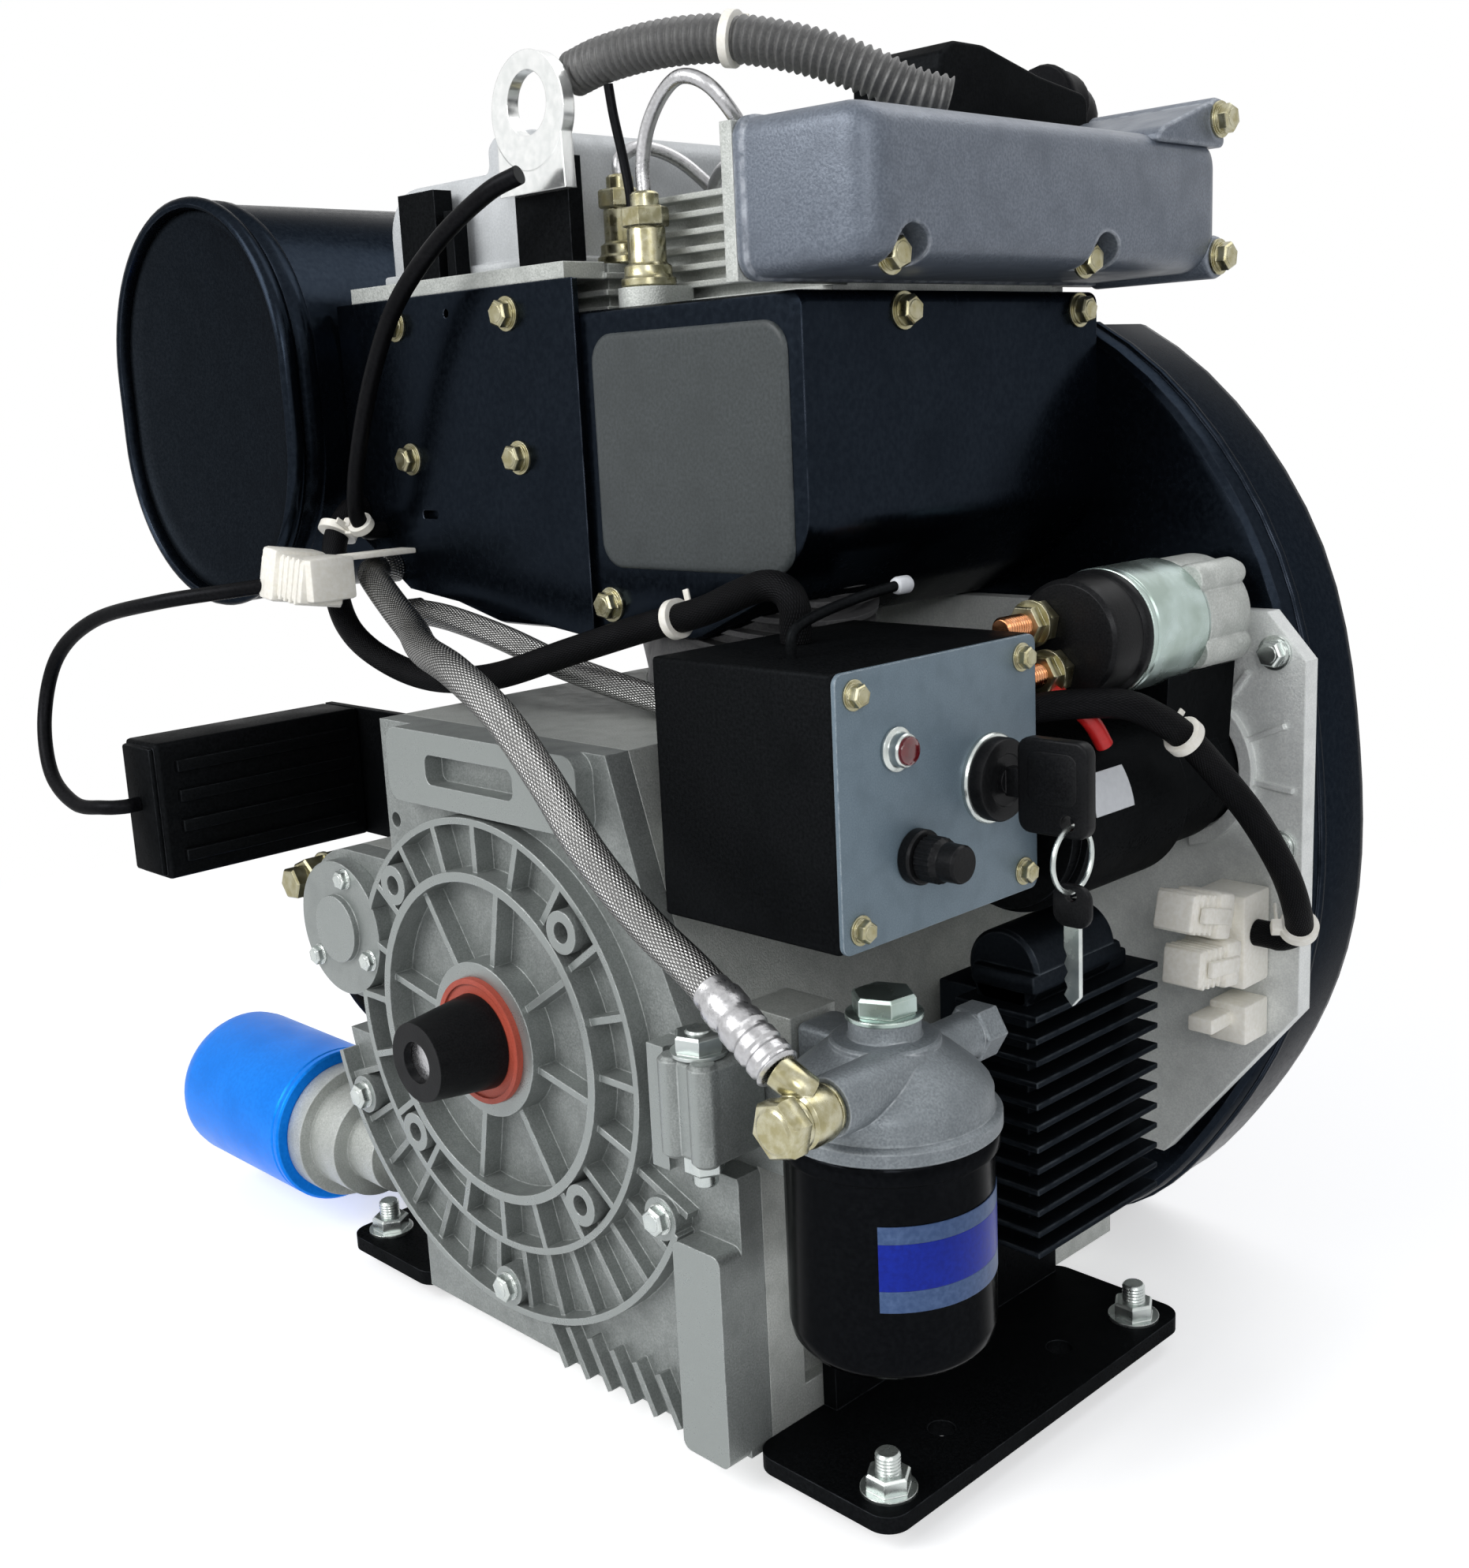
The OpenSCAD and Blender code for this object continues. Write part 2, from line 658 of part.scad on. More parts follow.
module pto_cover() {
    pillar_w = 26;
    block_h = case_deck * 0.25;
    strake_n = 6;
    strake_t = 3;
    color("silver") difference() {
        union() {
            across_y(plate_y, cover_t) {
                case_outline();
                intersection() {
                    circle(outer_r);
                    translate([-outer_r - over, -outer_r - over]) square([2 * outer_r + 2 * over, outer_r + lug_z0 + over]);
                }
                pump_boss();
            }
            cover_rings();
            for (a = [45, 135, 225, 315])
                rod_y(flange_r * cos(a), flange_r * sin(a), 0, plate_y + over, boss_r);
            for (a = case_bolt_angles)
                rod_y(case_bolt_circle * cos(a), case_bolt_circle * sin(a), ring_wall, plate_y + over, boss_r);
            across_y(ring_wall, plate_y + over) translate([-case_left * 0.78, case_deck - block_h])
                round_rect(case_left * 0.78 + deck_x * 0.9, block_h, wall_t);
            across_y(0, plate_y + over) translate([case_right - pillar_w, -case_drop])
                round_rect(pillar_w, case_drop * 0.62, wall_t / 2);
            block([lug_x0, -rib_h * 0.75, lug_z0], [lug_x0 + lug_w, cover_t, lug_z0 + lug_h]);
            for (i = [0 : strake_n - 1]) translate([case_right - pillar_w * 1.4 - i * pillar_w * 0.55, 0, -case_drop])
                rotate([0, -30, 0]) block([0, ring_wall * 2, 0], [strake_t, plate_y + over, case_drop * 0.16]);
        }
        for (a = [45, 135, 225, 315])
            rod_y(flange_r * cos(a), flange_r * sin(a), -over, plate_y + stud_r - over, flange_hole_r);
        for (a = case_bolt_angles)
            rod_y(case_bolt_circle * cos(a), case_bolt_circle * sin(a), -over, plate_y, small_hole_r);
        for (z = [case_deck * 0.65, case_deck * 0.86])
            rod_y(-case_left * 0.92, z, ring_wall - over, cover_t * 0.75, small_hole_r);
        rod_y(pump_x, pump_z, -over, plate_y, pump_r + run);
        rod_y(0, 0, -over, seal_len, seal_r);
        rod_y(0, 0, 0, cover_t + over, journal_r + run);
        rod_z(lug_bolt_x, lug_bolt_y, lug_z0 - over, lug_z0 + lug_h + over, stud_r + shaft_gap);
        across_y(ring_wall - over, plate_y) translate([-case_left * 0.4, case_deck - block_h * 0.7])
            round_rect(case_left * 0.8, block_h * 0.4, wall_t / 2);
    }
}

module oil_seal() {
    color("firebrick") difference() {
        rod_y(0, 0, -seal_proud, seal_len, seal_r);
        rod_y(0, 0, -seal_proud - over, seal_len + over, journal_r + shaft_gap);
        rod_y(0, 0, -seal_proud - over, -seal_proud + over, seal_r * 0.91);
    }
}

module main_bearings() {
    color("gray") for (y = [bearing_y1, bearing_y2]) difference() {
        rod_y(0, 0, y, y + bearing_w, journal_r + bearing_wall);
        rod_y(0, 0, y - over, y + bearing_w + over, journal_r + shaft_gap);
    }
}

module pump_cover() {
    color("lightgray") difference() {
        union() {
            rod_y(pump_x, pump_z, plate_y - pump_t, plate_y, pump_r);
            rod_y(pump_x, pump_z, over, plate_y, pump_r * 0.5);
        }
        for (a = pump_bolt_angles)
            rod_y(pump_x + pump_bolt_r * cos(a), pump_z + pump_bolt_r * sin(a), -over, plate_y + over, small_bolt_r + shaft_gap);
    }
}

module cylinders() {
    skirt = 32;
    fin_n = 8;
    color("dimgray") for (s = [-1, 1]) leaning(s, s > 0 ? cyl_y1 : cyl_y2) difference() {
        union() {
            rod_z(0, 0, barrel_base, barrel_base + skirt, fin_d / 2 - skirt_in);
            rod_z(0, 0, barrel_base, barrel_base + barrel_len, fin_d / 2 - skirt_in * 1.5);
            for (i = [0 : fin_n - 1]) translate([0, 0, barrel_base + skirt + i * fin_pitch * 1.15])
                rod_z(0, 0, 0, fin_t, fin_d / 2);
        }
        rod_z(0, 0, barrel_base - over, barrel_base + barrel_len + over, bore_d / 2);
    }
}

/* A finned head block, drawn for the right bank */
module head_block(top, y0, y1, cyl_y, side) {
    fin_n = floor((top - cowl_top - fin_t) / fin_pitch) - 1;
    port_wall = 4;
    port_min = 10;
    dome_h = 26;
    port_out = (top - cowl_top) * 0.2 + port_min;
    port_r = port_out - port_wall;
    port_z = top - port_out - over;
    difference() {
        union() {
            leaning(side, cyl_y) rod_z(0, 0, barrel_base + barrel_len, barrel_base + barrel_len + dome_h, fin_d / 2);
            mirror([side > 0 ? 0 : 1, 0, 0]) {
                block([valley + fin_depth, y0 + fin_depth, head_base], [head_x, y1 - fin_depth, top]);
                block([valley, y0, head_base], [head_x, y1, cowl_top + fin_t]);
                for (i = [0 : fin_n])
                    translate([0, 0, cowl_top + fin_pitch * (i + 1)]) block([valley, y0, 0], [head_x, y1, fin_t]);
            }
        }
        mirror([side > 0 ? 0 : 1, 0, 0]) {
            rod_y(head_x * 0.55, port_z, y1 - fin_depth * 2, y1 + over, port_r);
        }
    }
    mirror([side > 0 ? 0 : 1, 0, 0]) difference() {
        rod_y(head_x * 0.55, port_z, y1 - fin_depth * 2, y1, port_out);
        rod_y(head_x * 0.55, port_z, y1 - fin_depth * 2 - over, y1 + over, port_r);
    }
}

module head_right() {
    injector_boss_r = 13;
    block_in = 18;
    boss_z = head_base + skirt_in;
    color("gainsboro") {
        head_block(head_top1, head_y1 + block_in, head_y2, cyl_y1, 1);
        rod_z(inj_right[0], inj_right[1], boss_z, boss_top, injector_boss_r);
        block([inj_right[0] - injector_boss_r, inj_right[1], boss_z],
            [inj_right[0] + injector_boss_r, head_y1 + block_in + over, boss_top]);
        block([head_x - cap_flange_t, cap_y0, cap_z0], [head_x, cap_y1, cap_z1 - sheet_t]);
    }
}

module head_left() {
    block_in = 8;
    strip_x = [4, 2, 40];
    color("whitesmoke") {
        head_block(head_top2, head_y1 + block_in, head_y2, cyl_y2, -1);
        block([-cowl_left + strip_x[0], cowl_front - strip_x[1], head_top2 - strip_h],
            [-valley - strip_x[1], head_y1 + block_in + over, head_top2]);
        block([left_cap_x0, cowl_front, head_top2 - strip_h], [-valley - strip_x[2], head_y2, head_top2]);
    }
}

module valve_cover_right() {
    w = cap_y1 - cap_y0;
    h = cap_z1 - cap_z0;
    lip = 4;
    step = 5;
    pocket_room = [18, 12, 6];
    wedge = [[-48, -6], [-44, 0]];
    color("slategray") difference() {
        union() {
            difference() {
                union() {
                    across_x(cap_x0, cap_x0 + cap_depth - step) translate([cap_y0, cap_z0]) round_rect(w, h, cap_round);
                    across_x(cap_x0, cap_x0 + cap_depth) translate([cap_y0 + lip, cap_z0 + lip])
                        round_rect(w - 2 * lip, h - 2 * lip, cap_round);
                }
                across_x(cap_x0 - over, cap_x0 + cap_depth - cap_wall) translate([cap_y0 + cap_wall, cap_z0 + cap_wall])
                    round_rect(w - 2 * cap_wall, h - 2 * cap_wall, cap_round - cap_wall);
            }
            for (y = pocket_ys) block([cap_x0 + cap_depth - pocket_room[0], y - pocket_r - lip, cap_z0 + over],
                [cap_x0 + cap_depth - step, y + pocket_r + lip, cap_z0 + 2 * pocket_r + over]);
            for (k = ear_z_shares) rod_x(ear_y, cap_z0 + h * k, cap_x0, cap_x0 + ear_len, ear_r);
            across_x(cap_x0, cap_x0 + ear_len) polygon([for (p = wedge) [ear_y + p[0], cap_z1 + p[1]],
                [ear_y - ear_r / 3, cap_z0 + h * ear_z_shares[1] + ear_r - over], [ear_y + ear_r * 2 / 3, cap_z1 + wedge[0][1]]]);
        }
        for (y = pocket_ys) rod_x(y, cap_z0 + pocket_room[2], cap_x0 + cap_depth - pocket_room[1], cap_x0 + cap_depth + over, pocket_r);
    }
}

module valve_cover_left() {
    shoulder = 22;
    top_round = 10;
    rim = 3;
    rim_t = 5;
    y0 = head_y1 + cap_wall;
    color("lightgray") across_y(y0, y0 + left_cap_len) translate([0, head_top2 + run]) {
        difference() {
            union() {
                translate([left_cap_x0, 0]) square([left_cap_x1 - left_cap_x0, left_cap_h1 - shoulder]);
                translate([left_cap_x0 + shoulder, 0]) square([left_cap_x1 - left_cap_x0 - shoulder, left_cap_h1]);
                translate([left_cap_x0 + shoulder, left_cap_h1 - shoulder]) circle(shoulder);
                translate([left_cap_step, 0]) square([left_cap_x1 - left_cap_step, left_cap_h2 - top_round]);
                translate([left_cap_step + top_round, 0]) square([left_cap_x1 - left_cap_step - 2 * top_round, left_cap_h2]);
                translate([left_cap_step + top_round, left_cap_h2 - top_round]) circle(top_round);
                translate([left_cap_x1 - top_round, left_cap_h2 - top_round]) circle(top_round);
            }
            translate([left_cap_x0 - over, -shoulder]) square([left_cap_x1 - left_cap_x0 + 2 * over, shoulder]);
        }
    }
    color("lightgray") block([left_cap_x0 - rim, y0 - rim, head_top2 + run],
        [left_cap_x1 + rim, y0 + left_cap_len + rim, head_top2 + run + rim_t]);
}

module injectors() {
    body_r = [11.5, 10, 8, 10, 6];
    body_h = [0, 4, 9, 24, 32, 38];
    sides = [$fn, $fn, $fn, 6, $fn];
    places = [[inj_right[0], inj_right[1], boss_top], [inj_left[0], inj_left[1], head_top2]];
    color("darkgoldenrod") for (p = places) translate(p)
        for (i = [0 : 4]) rod_z(0, 0, body_h[i], body_h[i + 1], body_r[i], sides[i]);
}

module injection_pipes() {
    color("darkkhaki") {
        tube(pipe_route_right, pipe_r, 8, 2, [0, 1, 0]);
        tube(pipe_route_left, pipe_r, 8, 2, [1, 0, 0]);
    }
}

module injection_pump() {
    pump_w = valley - run;
    color("darkgray") {
        block([-pump_w, pump_y[0], pump_z0], [pump_w, pump_y[1], pump_z1]);
        for (y = valve_ys) {
            rod_z(0, y, pump_z1, pump_z1 + valve_h, pump_w);
            rod_z(0, y, pump_z1 + valve_h, pump_z1 + valve_h + valley, pump_w, 6);
        }
    }
}

/* Cross-section of the cowl in X and Z, drawn in by inset */
cowl_rise = [41, 17, 15, 40];
module cowl_section(inset) {
    polygon([[cowl_right - inset, cowl_top - inset], [cowl_right - inset, cowl_bottom + cowl_rise[0]],
        [cowl_right * 0.79 - inset, cowl_bottom + cowl_rise[1] + inset * 0.4], [cowl_right * 0.47, cowl_bottom - over + inset * 0.4],
        [-cowl_left * 0.42, cowl_bottom - over + inset * 0.4], [-cowl_left * 0.8 + inset, cowl_bottom + cowl_rise[2] + inset * 0.4],
        [-cowl_left + inset, cowl_bottom + cowl_rise[3]], [-cowl_left + inset, cowl_top - inset]]);
}

module cowl() {
    raised = [1.5, 6, 28, 12];
    open_in = 12;
    raised_in = 10;
    color("#15171c") difference() {
        union() {
            across_y(cowl_front, scroll_y0) cowl_section(0);
            across_y(cowl_front - raised[0], cowl_front) translate([raised[1], cowl_bottom + raised[2]])
                round_rect(cowl_right - wall_t - raised[1], cowl_top - cowl_bottom - raised[2] - raised_in, raised[3]);
        }
        across_y(cowl_front + sheet_t, scroll_y0 + over) cowl_section(sheet_t);
        block([-head_x - run, cowl_front + sheet_t, cowl_top - 2 * sheet_t], [head_x + run, head_y2 + run, cowl_top + over]);
        block([-cowl_left + open_in, cowl_front - over, cowl_top - 3 * sheet_t],
            [-valley, cowl_front + sheet_t + over, cowl_top + over]);
        block([-cowl_left * 0.42, cowl_front + sheet_t, cowl_bottom - 2 * sheet_t],
            [cowl_right * 0.47, scroll_y0 + over, cowl_bottom + 3 * sheet_t]);
        for (s = [-1, 1]) leaning(s, s > 0 ? cyl_y1 : cyl_y2) rod_z(0, 0, barrel_base, barrel_base + barrel_len, fin_d / 2 + run);
    }
}

module front_plate() {
    plate_t = 3;
    side = -cowl_left - wall_t;
    top = cowl_top + strip_h * 2;
    low = [13, 3];
    pin_hole = [-91, 305, 2];
    slot = [-122, 212, 12, 4, 1.5];
    color("#101114") difference() {
        across_y(cowl_front - plate_t, cowl_front)
            polygon([[side, top], [side, cowl_bottom + cowl_rise[3]], [-cowl_left * 0.8, cowl_bottom + low[0]],
                [-over, cowl_bottom - low[1]], [-over, top]]);
        block([side - over, cowl_front - sheet_t - run, head_top2 - strip_h - run], [0, cowl_front + over, head_top2 + strip_h]);
        across_y(cowl_front - plate_t - over, cowl_front + over) translate([pin_hole[0], pin_hole[1]]) circle(pin_hole[2]);
        across_y(cowl_front - plate_t - over, cowl_front + over) translate([slot[0], slot[1]]) round_rect(slot[2], slot[3], slot[4]);
    }
}

/* Radius of the scroll at an angle, smooth between the shares */
function scroll_radius(a) = let (t = (a - 180) / 22.5, i = min(floor(t), len(scroll_shares) - 2))
    max(scroll_min_r, scroll_r * spline(scroll_shares, i, t - i));
function scroll_points(inset) = concat(
    [for (a = [180 : 7.5 : 427.5]) let (r = scroll_radius(a) - inset) [max(inset - cowl_left, r * cos(a)), r * sin(a)]],
    [[-cowl_left + scroll_corner + inset * 0.4, scroll_r * 0.928 - inset],
    [-cowl_left + inset, scroll_r * 0.928 - scroll_corner - inset * 0.4]]);

/* A solid scroll through rings of given inset and y */
module scroll_solid(rings) {
    n = len(scroll_points(0));
    pts = [for (g = rings) each [for (p = scroll_points(g[0])) [p[0], g[1], p[1]]]];
    sides = [for (i = [0 : len(rings) - 2]) for (a = [0 : n - 1]) each
        [[i * n + a, i * n + (a + 1) % n, (i + 1) * n + a],
        [i * n + (a + 1) % n, (i + 1) * n + (a + 1) % n, (i + 1) * n + a]]];
    last = (len(rings) - 1) * n;
    polyhedron(points = pts, faces = concat(sides, [[for (a = [n - 1 : -1 : 0]) a]], [[for (a = [0 : n - 1]) last + a]]), convexity = 10);
}

module fan_scroll() {
    hole_r = ring_pitch_r + nut_r;
    wall = 4;
    front_in = [8, 4, 1.2, 0];
    front_y = [0, 1.5, 4.5, 8];
    back_in = [1.5, 4];
    back_y = 6;
    duct_in = [14, 36];
    color("#12141a") difference() {
        scroll_solid([for (i = [0 : 3]) [front_in[i], scroll_y0 + front_y[i]], [0, scroll_y1 - back_y],
            [back_in[0], scroll_y1 - sheet_t], [back_in[1], scroll_y1]]);
        scroll_solid([[front_in[0] + 1.5 * sheet_t, scroll_y0 + sheet_t], [sheet_t, scroll_y0 + front_y[3] + sheet_t],
            [sheet_t, scroll_y1 - back_y - sheet_t], [back_in[1] + 1.5 * sheet_t, scroll_y1 - sheet_t]]);
        rod_y(0, 0, scroll_y0 - over, scroll_y0 + wall, hole_r);
        rod_y(0, 0, scroll_y1 - wall, scroll_y1 + over, guard_r);
        rod_y(pinion_x, pinion_z, scroll_y0 - over, scroll_y0 + wall, nose_r);
        block([-cowl_left + duct_in[0], scroll_y0 - over, cowl_bottom + duct_in[1]],
            [cowl_right * 0.79, scroll_y0 + wall, scroll_r * 0.928 - scroll_corner]);
    }
}

module inlet_guard() {
    ring_n = 5;
    color("#202226") {
        difference() {
            rod_y(0, 0, scroll_y1, scroll_y1 + guard_t, guard_r + guard_rim);
            rod_y(0, 0, scroll_y1 - over, scroll_y1 + guard_t + over, guard_r - guard_bar);
        }
        for (i = [1 : ring_n - 1]) difference() {
            rod_y(0, 0, scroll_y1, scroll_y1 + guard_t, guard_r * i / ring_n + guard_bar / 2);
            rod_y(0, 0, scroll_y1 - over, scroll_y1 + guard_t + over, guard_r * i / ring_n - guard_bar / 2);
        }
        for (i = [0 : 3]) rotate([0, 45 * i, 0])
            block([-guard_r, scroll_y1, -guard_bar], [guard_r, scroll_y1 + guard_t - over, guard_bar]);
    }
}

module flywheel_housing() {
    arc_r = 30;
    plate_x = 236;
    plate_z = 163;
    disc_wall = 15;
    left_x = [-110, -80];
    left_z = 60;
    cut = [18, 20];
    arc_wall = 6;
    rib = [2, 24, 1.2];
    rise = 4;
    shaft_room = 6;
    color("lightgray") difference() {
        union() {
            across_y(case_back, housing_back) {
                circle(ring_pitch_r + disc_wall);
                polygon([[left_x[0], left_z], [left_x[0], plate_z - cut[1]], [left_x[1], plate_z],
                    [plate_x - cut[0], plate_z], [plate_x, plate_z - cut[1]], [plate_x, -plate_x * 0.05], [plate_x * 0.72, -plate_x * 0.4], [0, -plate_x * 0.4]]);
            }
            for (a = [24, 54, -6]) translate([motor_x, 0, motor_z]) rotate([0, -a, 0])
                block([arc_r + rib[0], case_back - rib[0], -rib[2]], [arc_r + rib[1], case_back + over, rib[2]]);
            across_y(case_back - rise, case_back + over) intersection() {
                translate([motor_x, motor_z]) difference() {
                    circle(arc_r + arc_wall);
                    circle(arc_r);
                }
                translate([motor_x, motor_z]) sector(arc_r, -80, 80);
            }
        }
        rod_y(0, 0, case_back - over, housing_back + over, crank_flange_r + shaft_room);
        rod_y(pinion_x, pinion_z, case_back - over, housing_back + over, pinion_pitch_r + ring_module + sheet_t);
    }
}

module air_cleaner_body() {
    color("#15171b") difference() {
        union() {
            across_y(drum_y + 2 * rim_r, drum_y + drum_len) drum_outline(0);
            across_y(drum_y, drum_y + 2 * rim_r) drum_outline(-rim_r);
            for (y = [drum_y + drum_len * 0.35, drum_y + drum_len * 0.8])
                block([drum_x + drum_r * 0.8, y, drum_z - lug_t / 2], [-cowl_left - run, y + lug_t * 0.6, drum_z + lug_t / 2]);
        }
        across_y(drum_y - over, drum_y + lid_in) drum_outline(rim_r);
        across_y(drum_y + lid_in - over, drum_y + drum_len - rim_r) drum_outline(rim_r * 2);
        rod_y(drum_port[0], drum_port[1], drum_y + drum_len - rim_r - over, drum_y + drum_len + over, intake_r - rim_r);
    }
}

/* Outline of the drum, drawn in by inset */
module drum_outline(inset) {
    for (s = [-1, 1]) translate([drum_x, drum_z + s * drum_flat]) circle(drum_r - inset, $fn = 72);
    translate([drum_x - drum_r + inset, drum_z - drum_flat]) square([2 * (drum_r - inset), 2 * drum_flat]);
}

module air_cleaner_lid() {
    color("#22242a") {
        across_y(drum_y + lid_in - lid_t, drum_y + lid_in) drum_outline(rim_r + run);
        rod_y(drum_x, drum_z, drum_y + lid_in - lid_t * 1.5, drum_y + lid_in, rim_r * 3);
    }
}

module intake_duct() {
    hood_z0 = head_top1 + run;
    hood_x0 = 44;
    hood_w = head_x - cap_flange_t - run - hood_x0;
    hood = [[166, 0], [292.3, 0], [292.3, 38], [262, 58], [196, 58], [172, 48], [166, 34]];
    color("#14161a") {
        tube(intake_route, intake_r, 12, 2, [0, 0, 1]);
        across_x(hood_x0, hood_x0 + hood_w) translate([0, hood_z0]) polygon(hood);
    }
}

module control_box() {
    color("#111216") difference() {
        block([box_x0, panel_y, panel_z], [panel_x - panel_t, panel_y + panel_w, panel_z + panel_h]);
        block([box_x0 + box_wall, panel_y + box_wall, panel_z + box_wall],
            [panel_x, panel_y + panel_w - box_wall, panel_z + panel_h - box_wall]);
        rod_z(panel_x - lever_in[0], panel_y + lever_in[1], panel_z + panel_h - box_wall - over, panel_z + panel_h + over,
            lever_r + shaft_gap);
    }
}

module control_panel() {
    color("lightslategray") difference() {
        across_x(panel_x - panel_t, panel_x) translate([panel_y, panel_z]) round_rect(panel_w, panel_h, rim_r);
        rod_x(key_y, key_z, panel_x - panel_t - over, panel_x + over, key_body_r + run);
        rod_x(lamp_y, lamp_z, panel_x - panel_t - over, panel_x + over, lamp_r + run);
        rod_x(fuse_y, fuse_z, panel_x - panel_t - over, panel_x + over, fuse_neck_r + run);
    }
}

module warning_lamp() {
    bezel_h = 3;
    color("firebrick") {
        rod_x(lamp_y, lamp_z, panel_x - lamp_len, panel_x, lamp_r);
        rod_x(lamp_y, lamp_z, panel_x, panel_x + bezel_h, lamp_r * 1.6);
        translate([panel_x + bezel_h, lamp_y, lamp_z]) rotate([0, 90, 0]) cylinder(r1 = lamp_r * 1.2, r2 = lamp_r, h = lamp_r);
    }
}

module key_switch() {
    color("#1a1b1f") difference() {
        union() {
            rod_x(key_y, key_z, panel_x - switch_len, panel_x, key_body_r);
            rod_x(key_y, key_z, panel_x, panel_x + key_bezel_h, key_bezel_r);
            rod_x(key_y, key_z, panel_x + key_bezel_h, panel_x + key_body_h, key_body_r);
        }
        rod_x(key_y, key_z, panel_x - key_bore, panel_x + key_body_h + over, key_shank_r);
    }
}

module fuse_holder() {
    color("#15161a") difference() {
        union() {
            rod_x(fuse_y, fuse_z, panel_x - holder_len, panel_x, fuse_neck_r);
            rod_x(fuse_y, fuse_z, panel_x, panel_x + fuse_collar, fuse_collar * 2);
        }
        rod_x(fuse_y, fuse_z, panel_x - holder_len * 2 / 3, panel_x + fuse_collar + over, fuse_bore_r);
    }
}

module fuse_cap() {
    cap_end = 22;
    flute = [8, 20, 1, 0.8];
    color("#1d1e22") {
        rod_x(fuse_y, fuse_z, panel_x + fuse_collar + run, panel_x + cap_end, fuse_r);
        rod_x(fuse_y, fuse_z, panel_x - holder_len / 3, panel_x + fuse_collar + over, fuse_bore_r - shaft_gap);
        for (i = [0 : 11]) translate([0, fuse_y, fuse_z]) rotate([30 * i, 0, 0])
            block([panel_x + flute[0], -flute[2], 0], [panel_x + flute[1], flute[2], fuse_r + flute[3]]);
    }
}

module ignition_key() {
    neck = 8;
    color("#17181c") difference() {
        union() {
            rod_x(key_y, key_z, panel_x - neck, key_x + key_blade_t * 2 / 3, key_shank_r - shaft_gap);
            block([key_x, key_y - key_blade_t * 5 / 6, key_z - key_head_w / 4],
                [key_x + neck, key_y + key_blade_t * 5 / 6, key_z + key_head_w / 4]);
            across_y(key_y - key_blade_t, key_y + key_blade_t) translate([key_x + 2 * key_blade_t, key_z - key_head_w * 0.8])
                round_rect(key_head_len, key_head_w * 1.6, key_shank_r);
        }
        rod_y(ring_x, ring_hole_z, key_y - key_blade_t - over, key_y + key_blade_t + over, key_hole_r);
    }
}

module key_ring() {
    color("silver") translate([ring_x, key_y, ring_z - ring_loop_r]) rotate([0, 90, 0])
        rotate_extrude() translate([ring_loop_r, 0]) circle(ring_wire_r, $fn = 16);
}

module spare_key() {
    head_t = 1.2;
    blade_t = 1;
    head_r = 8;
    hole_r = 2.4;
    blade_w = 7;
    blade_l = 38;
    z0 = ring_z - 2 * ring_loop_r + ring_wire_r + ring_play - hole_r;
    color("silver") difference() {
        union() {
            across_y(key_y - head_t, key_y + head_t) translate([ring_x, z0 - head_r / 2]) circle(head_r);
            across_y(key_y - blade_t, key_y + blade_t) polygon([[ring_x - blade_w / 2, z0 - head_r],
                [ring_x + blade_w / 2, z0 - head_r], [ring_x + blade_w / 2, z0 - blade_l], [ring_x, z0 - blade_l - head_r / 2], [ring_x - blade_w / 2, z0 - blade_l],
                [ring_x - blade_w / 4, z0 - blade_l * 0.85], [ring_x - blade_w / 2, z0 - blade_l * 0.7],
                [ring_x - blade_w / 4, z0 - blade_l * 0.55]]);
        }
        rod_y(ring_x, z0, key_y - 2 * head_t, key_y + 2 * head_t, hole_r);
    }
}

module stop_lever() {
    rod = [12, 8];
    tip_r = 3.4;
    wire = [[160, 32, 178], [160, 40, 182], [161, 52, 186], [163, 68, 189], [165, 84, 191]];
    color("#1b1c20") {
        rod_z(panel_x - lever_in[0], panel_y + lever_in[1], panel_z + panel_h - rod[0], panel_z + panel_h + rod[1], lever_r);
        tube(wire, lever_r * 0.8, 8, 3, [0, 0, 1]);
        rod_y(wire[4][0], wire[4][2], wire[4][1], wire[4][1] + rod[1], tip_r);
    }
}

module fuel_filter_head() {
    lip = 6;
    plug_r = 13;
    outlet = [4, 12, 18];
    arm = [16, 38, 10, 14];
    dome_h = head_h - lip * 2.5 - outlet[0];
    color("silver") difference() {
        union() {
            rod_z(filter_x, filter_y, can_top, can_top + lip, can_r + over);
            rod_z(filter_x, filter_y, can_top + lip, can_top + lip * 2.5, can_r - can_in);
            translate([filter_x, filter_y, can_top + lip * 2.5]) cylinder(r1 = can_r - can_in, r2 = can_r * 0.6, h = dome_h);
            rod_z(filter_x, filter_y, filter_top - dome_h / 3, filter_top, can_r * 0.5);
            rod_z(filter_x, filter_y, filter_top, filter_top + filter_plug_base, plug_r);
            rod_y(banjo_x, banjo_z, banjo_y, filter_y, banjo_hex_r);
            rod_y(filter_x, banjo_z - outlet[0], filter_y, filter_y + can_r + outlet[1], banjo_r);
            rod_y(filter_x, banjo_z - outlet[0], filter_y, filter_y + can_r + outlet[2], banjo_hex_r, 6);
            block([case_right + run, filter_y + arm[0], can_top + can_in],
                [filter_x - arm[2], filter_y + arm[1], filter_top - arm[3]]);
        }
        rod_z(filter_x, filter_y, can_top - over, can_top + outlet[0], can_r - lip);
    }
}

module fuel_filter_can() {
    base_h = 8;
    drain = [6, 9];
    color("#0e0f12") {
        rod_z(filter_x, filter_y, can_top - can_len + base_h, can_top - run, can_r - can_in);
        rod_z(filter_x, filter_y, 0, can_top - run, can_r);
        translate([filter_x, filter_y, can_top - can_len]) cylinder(r1 = can_r * 0.72, r2 = can_r - can_in, h = base_h);
        rod_z(filter_x, filter_y, can_top - can_len - drain[0], can_top - can_len, drain[1], 6);
    }
}

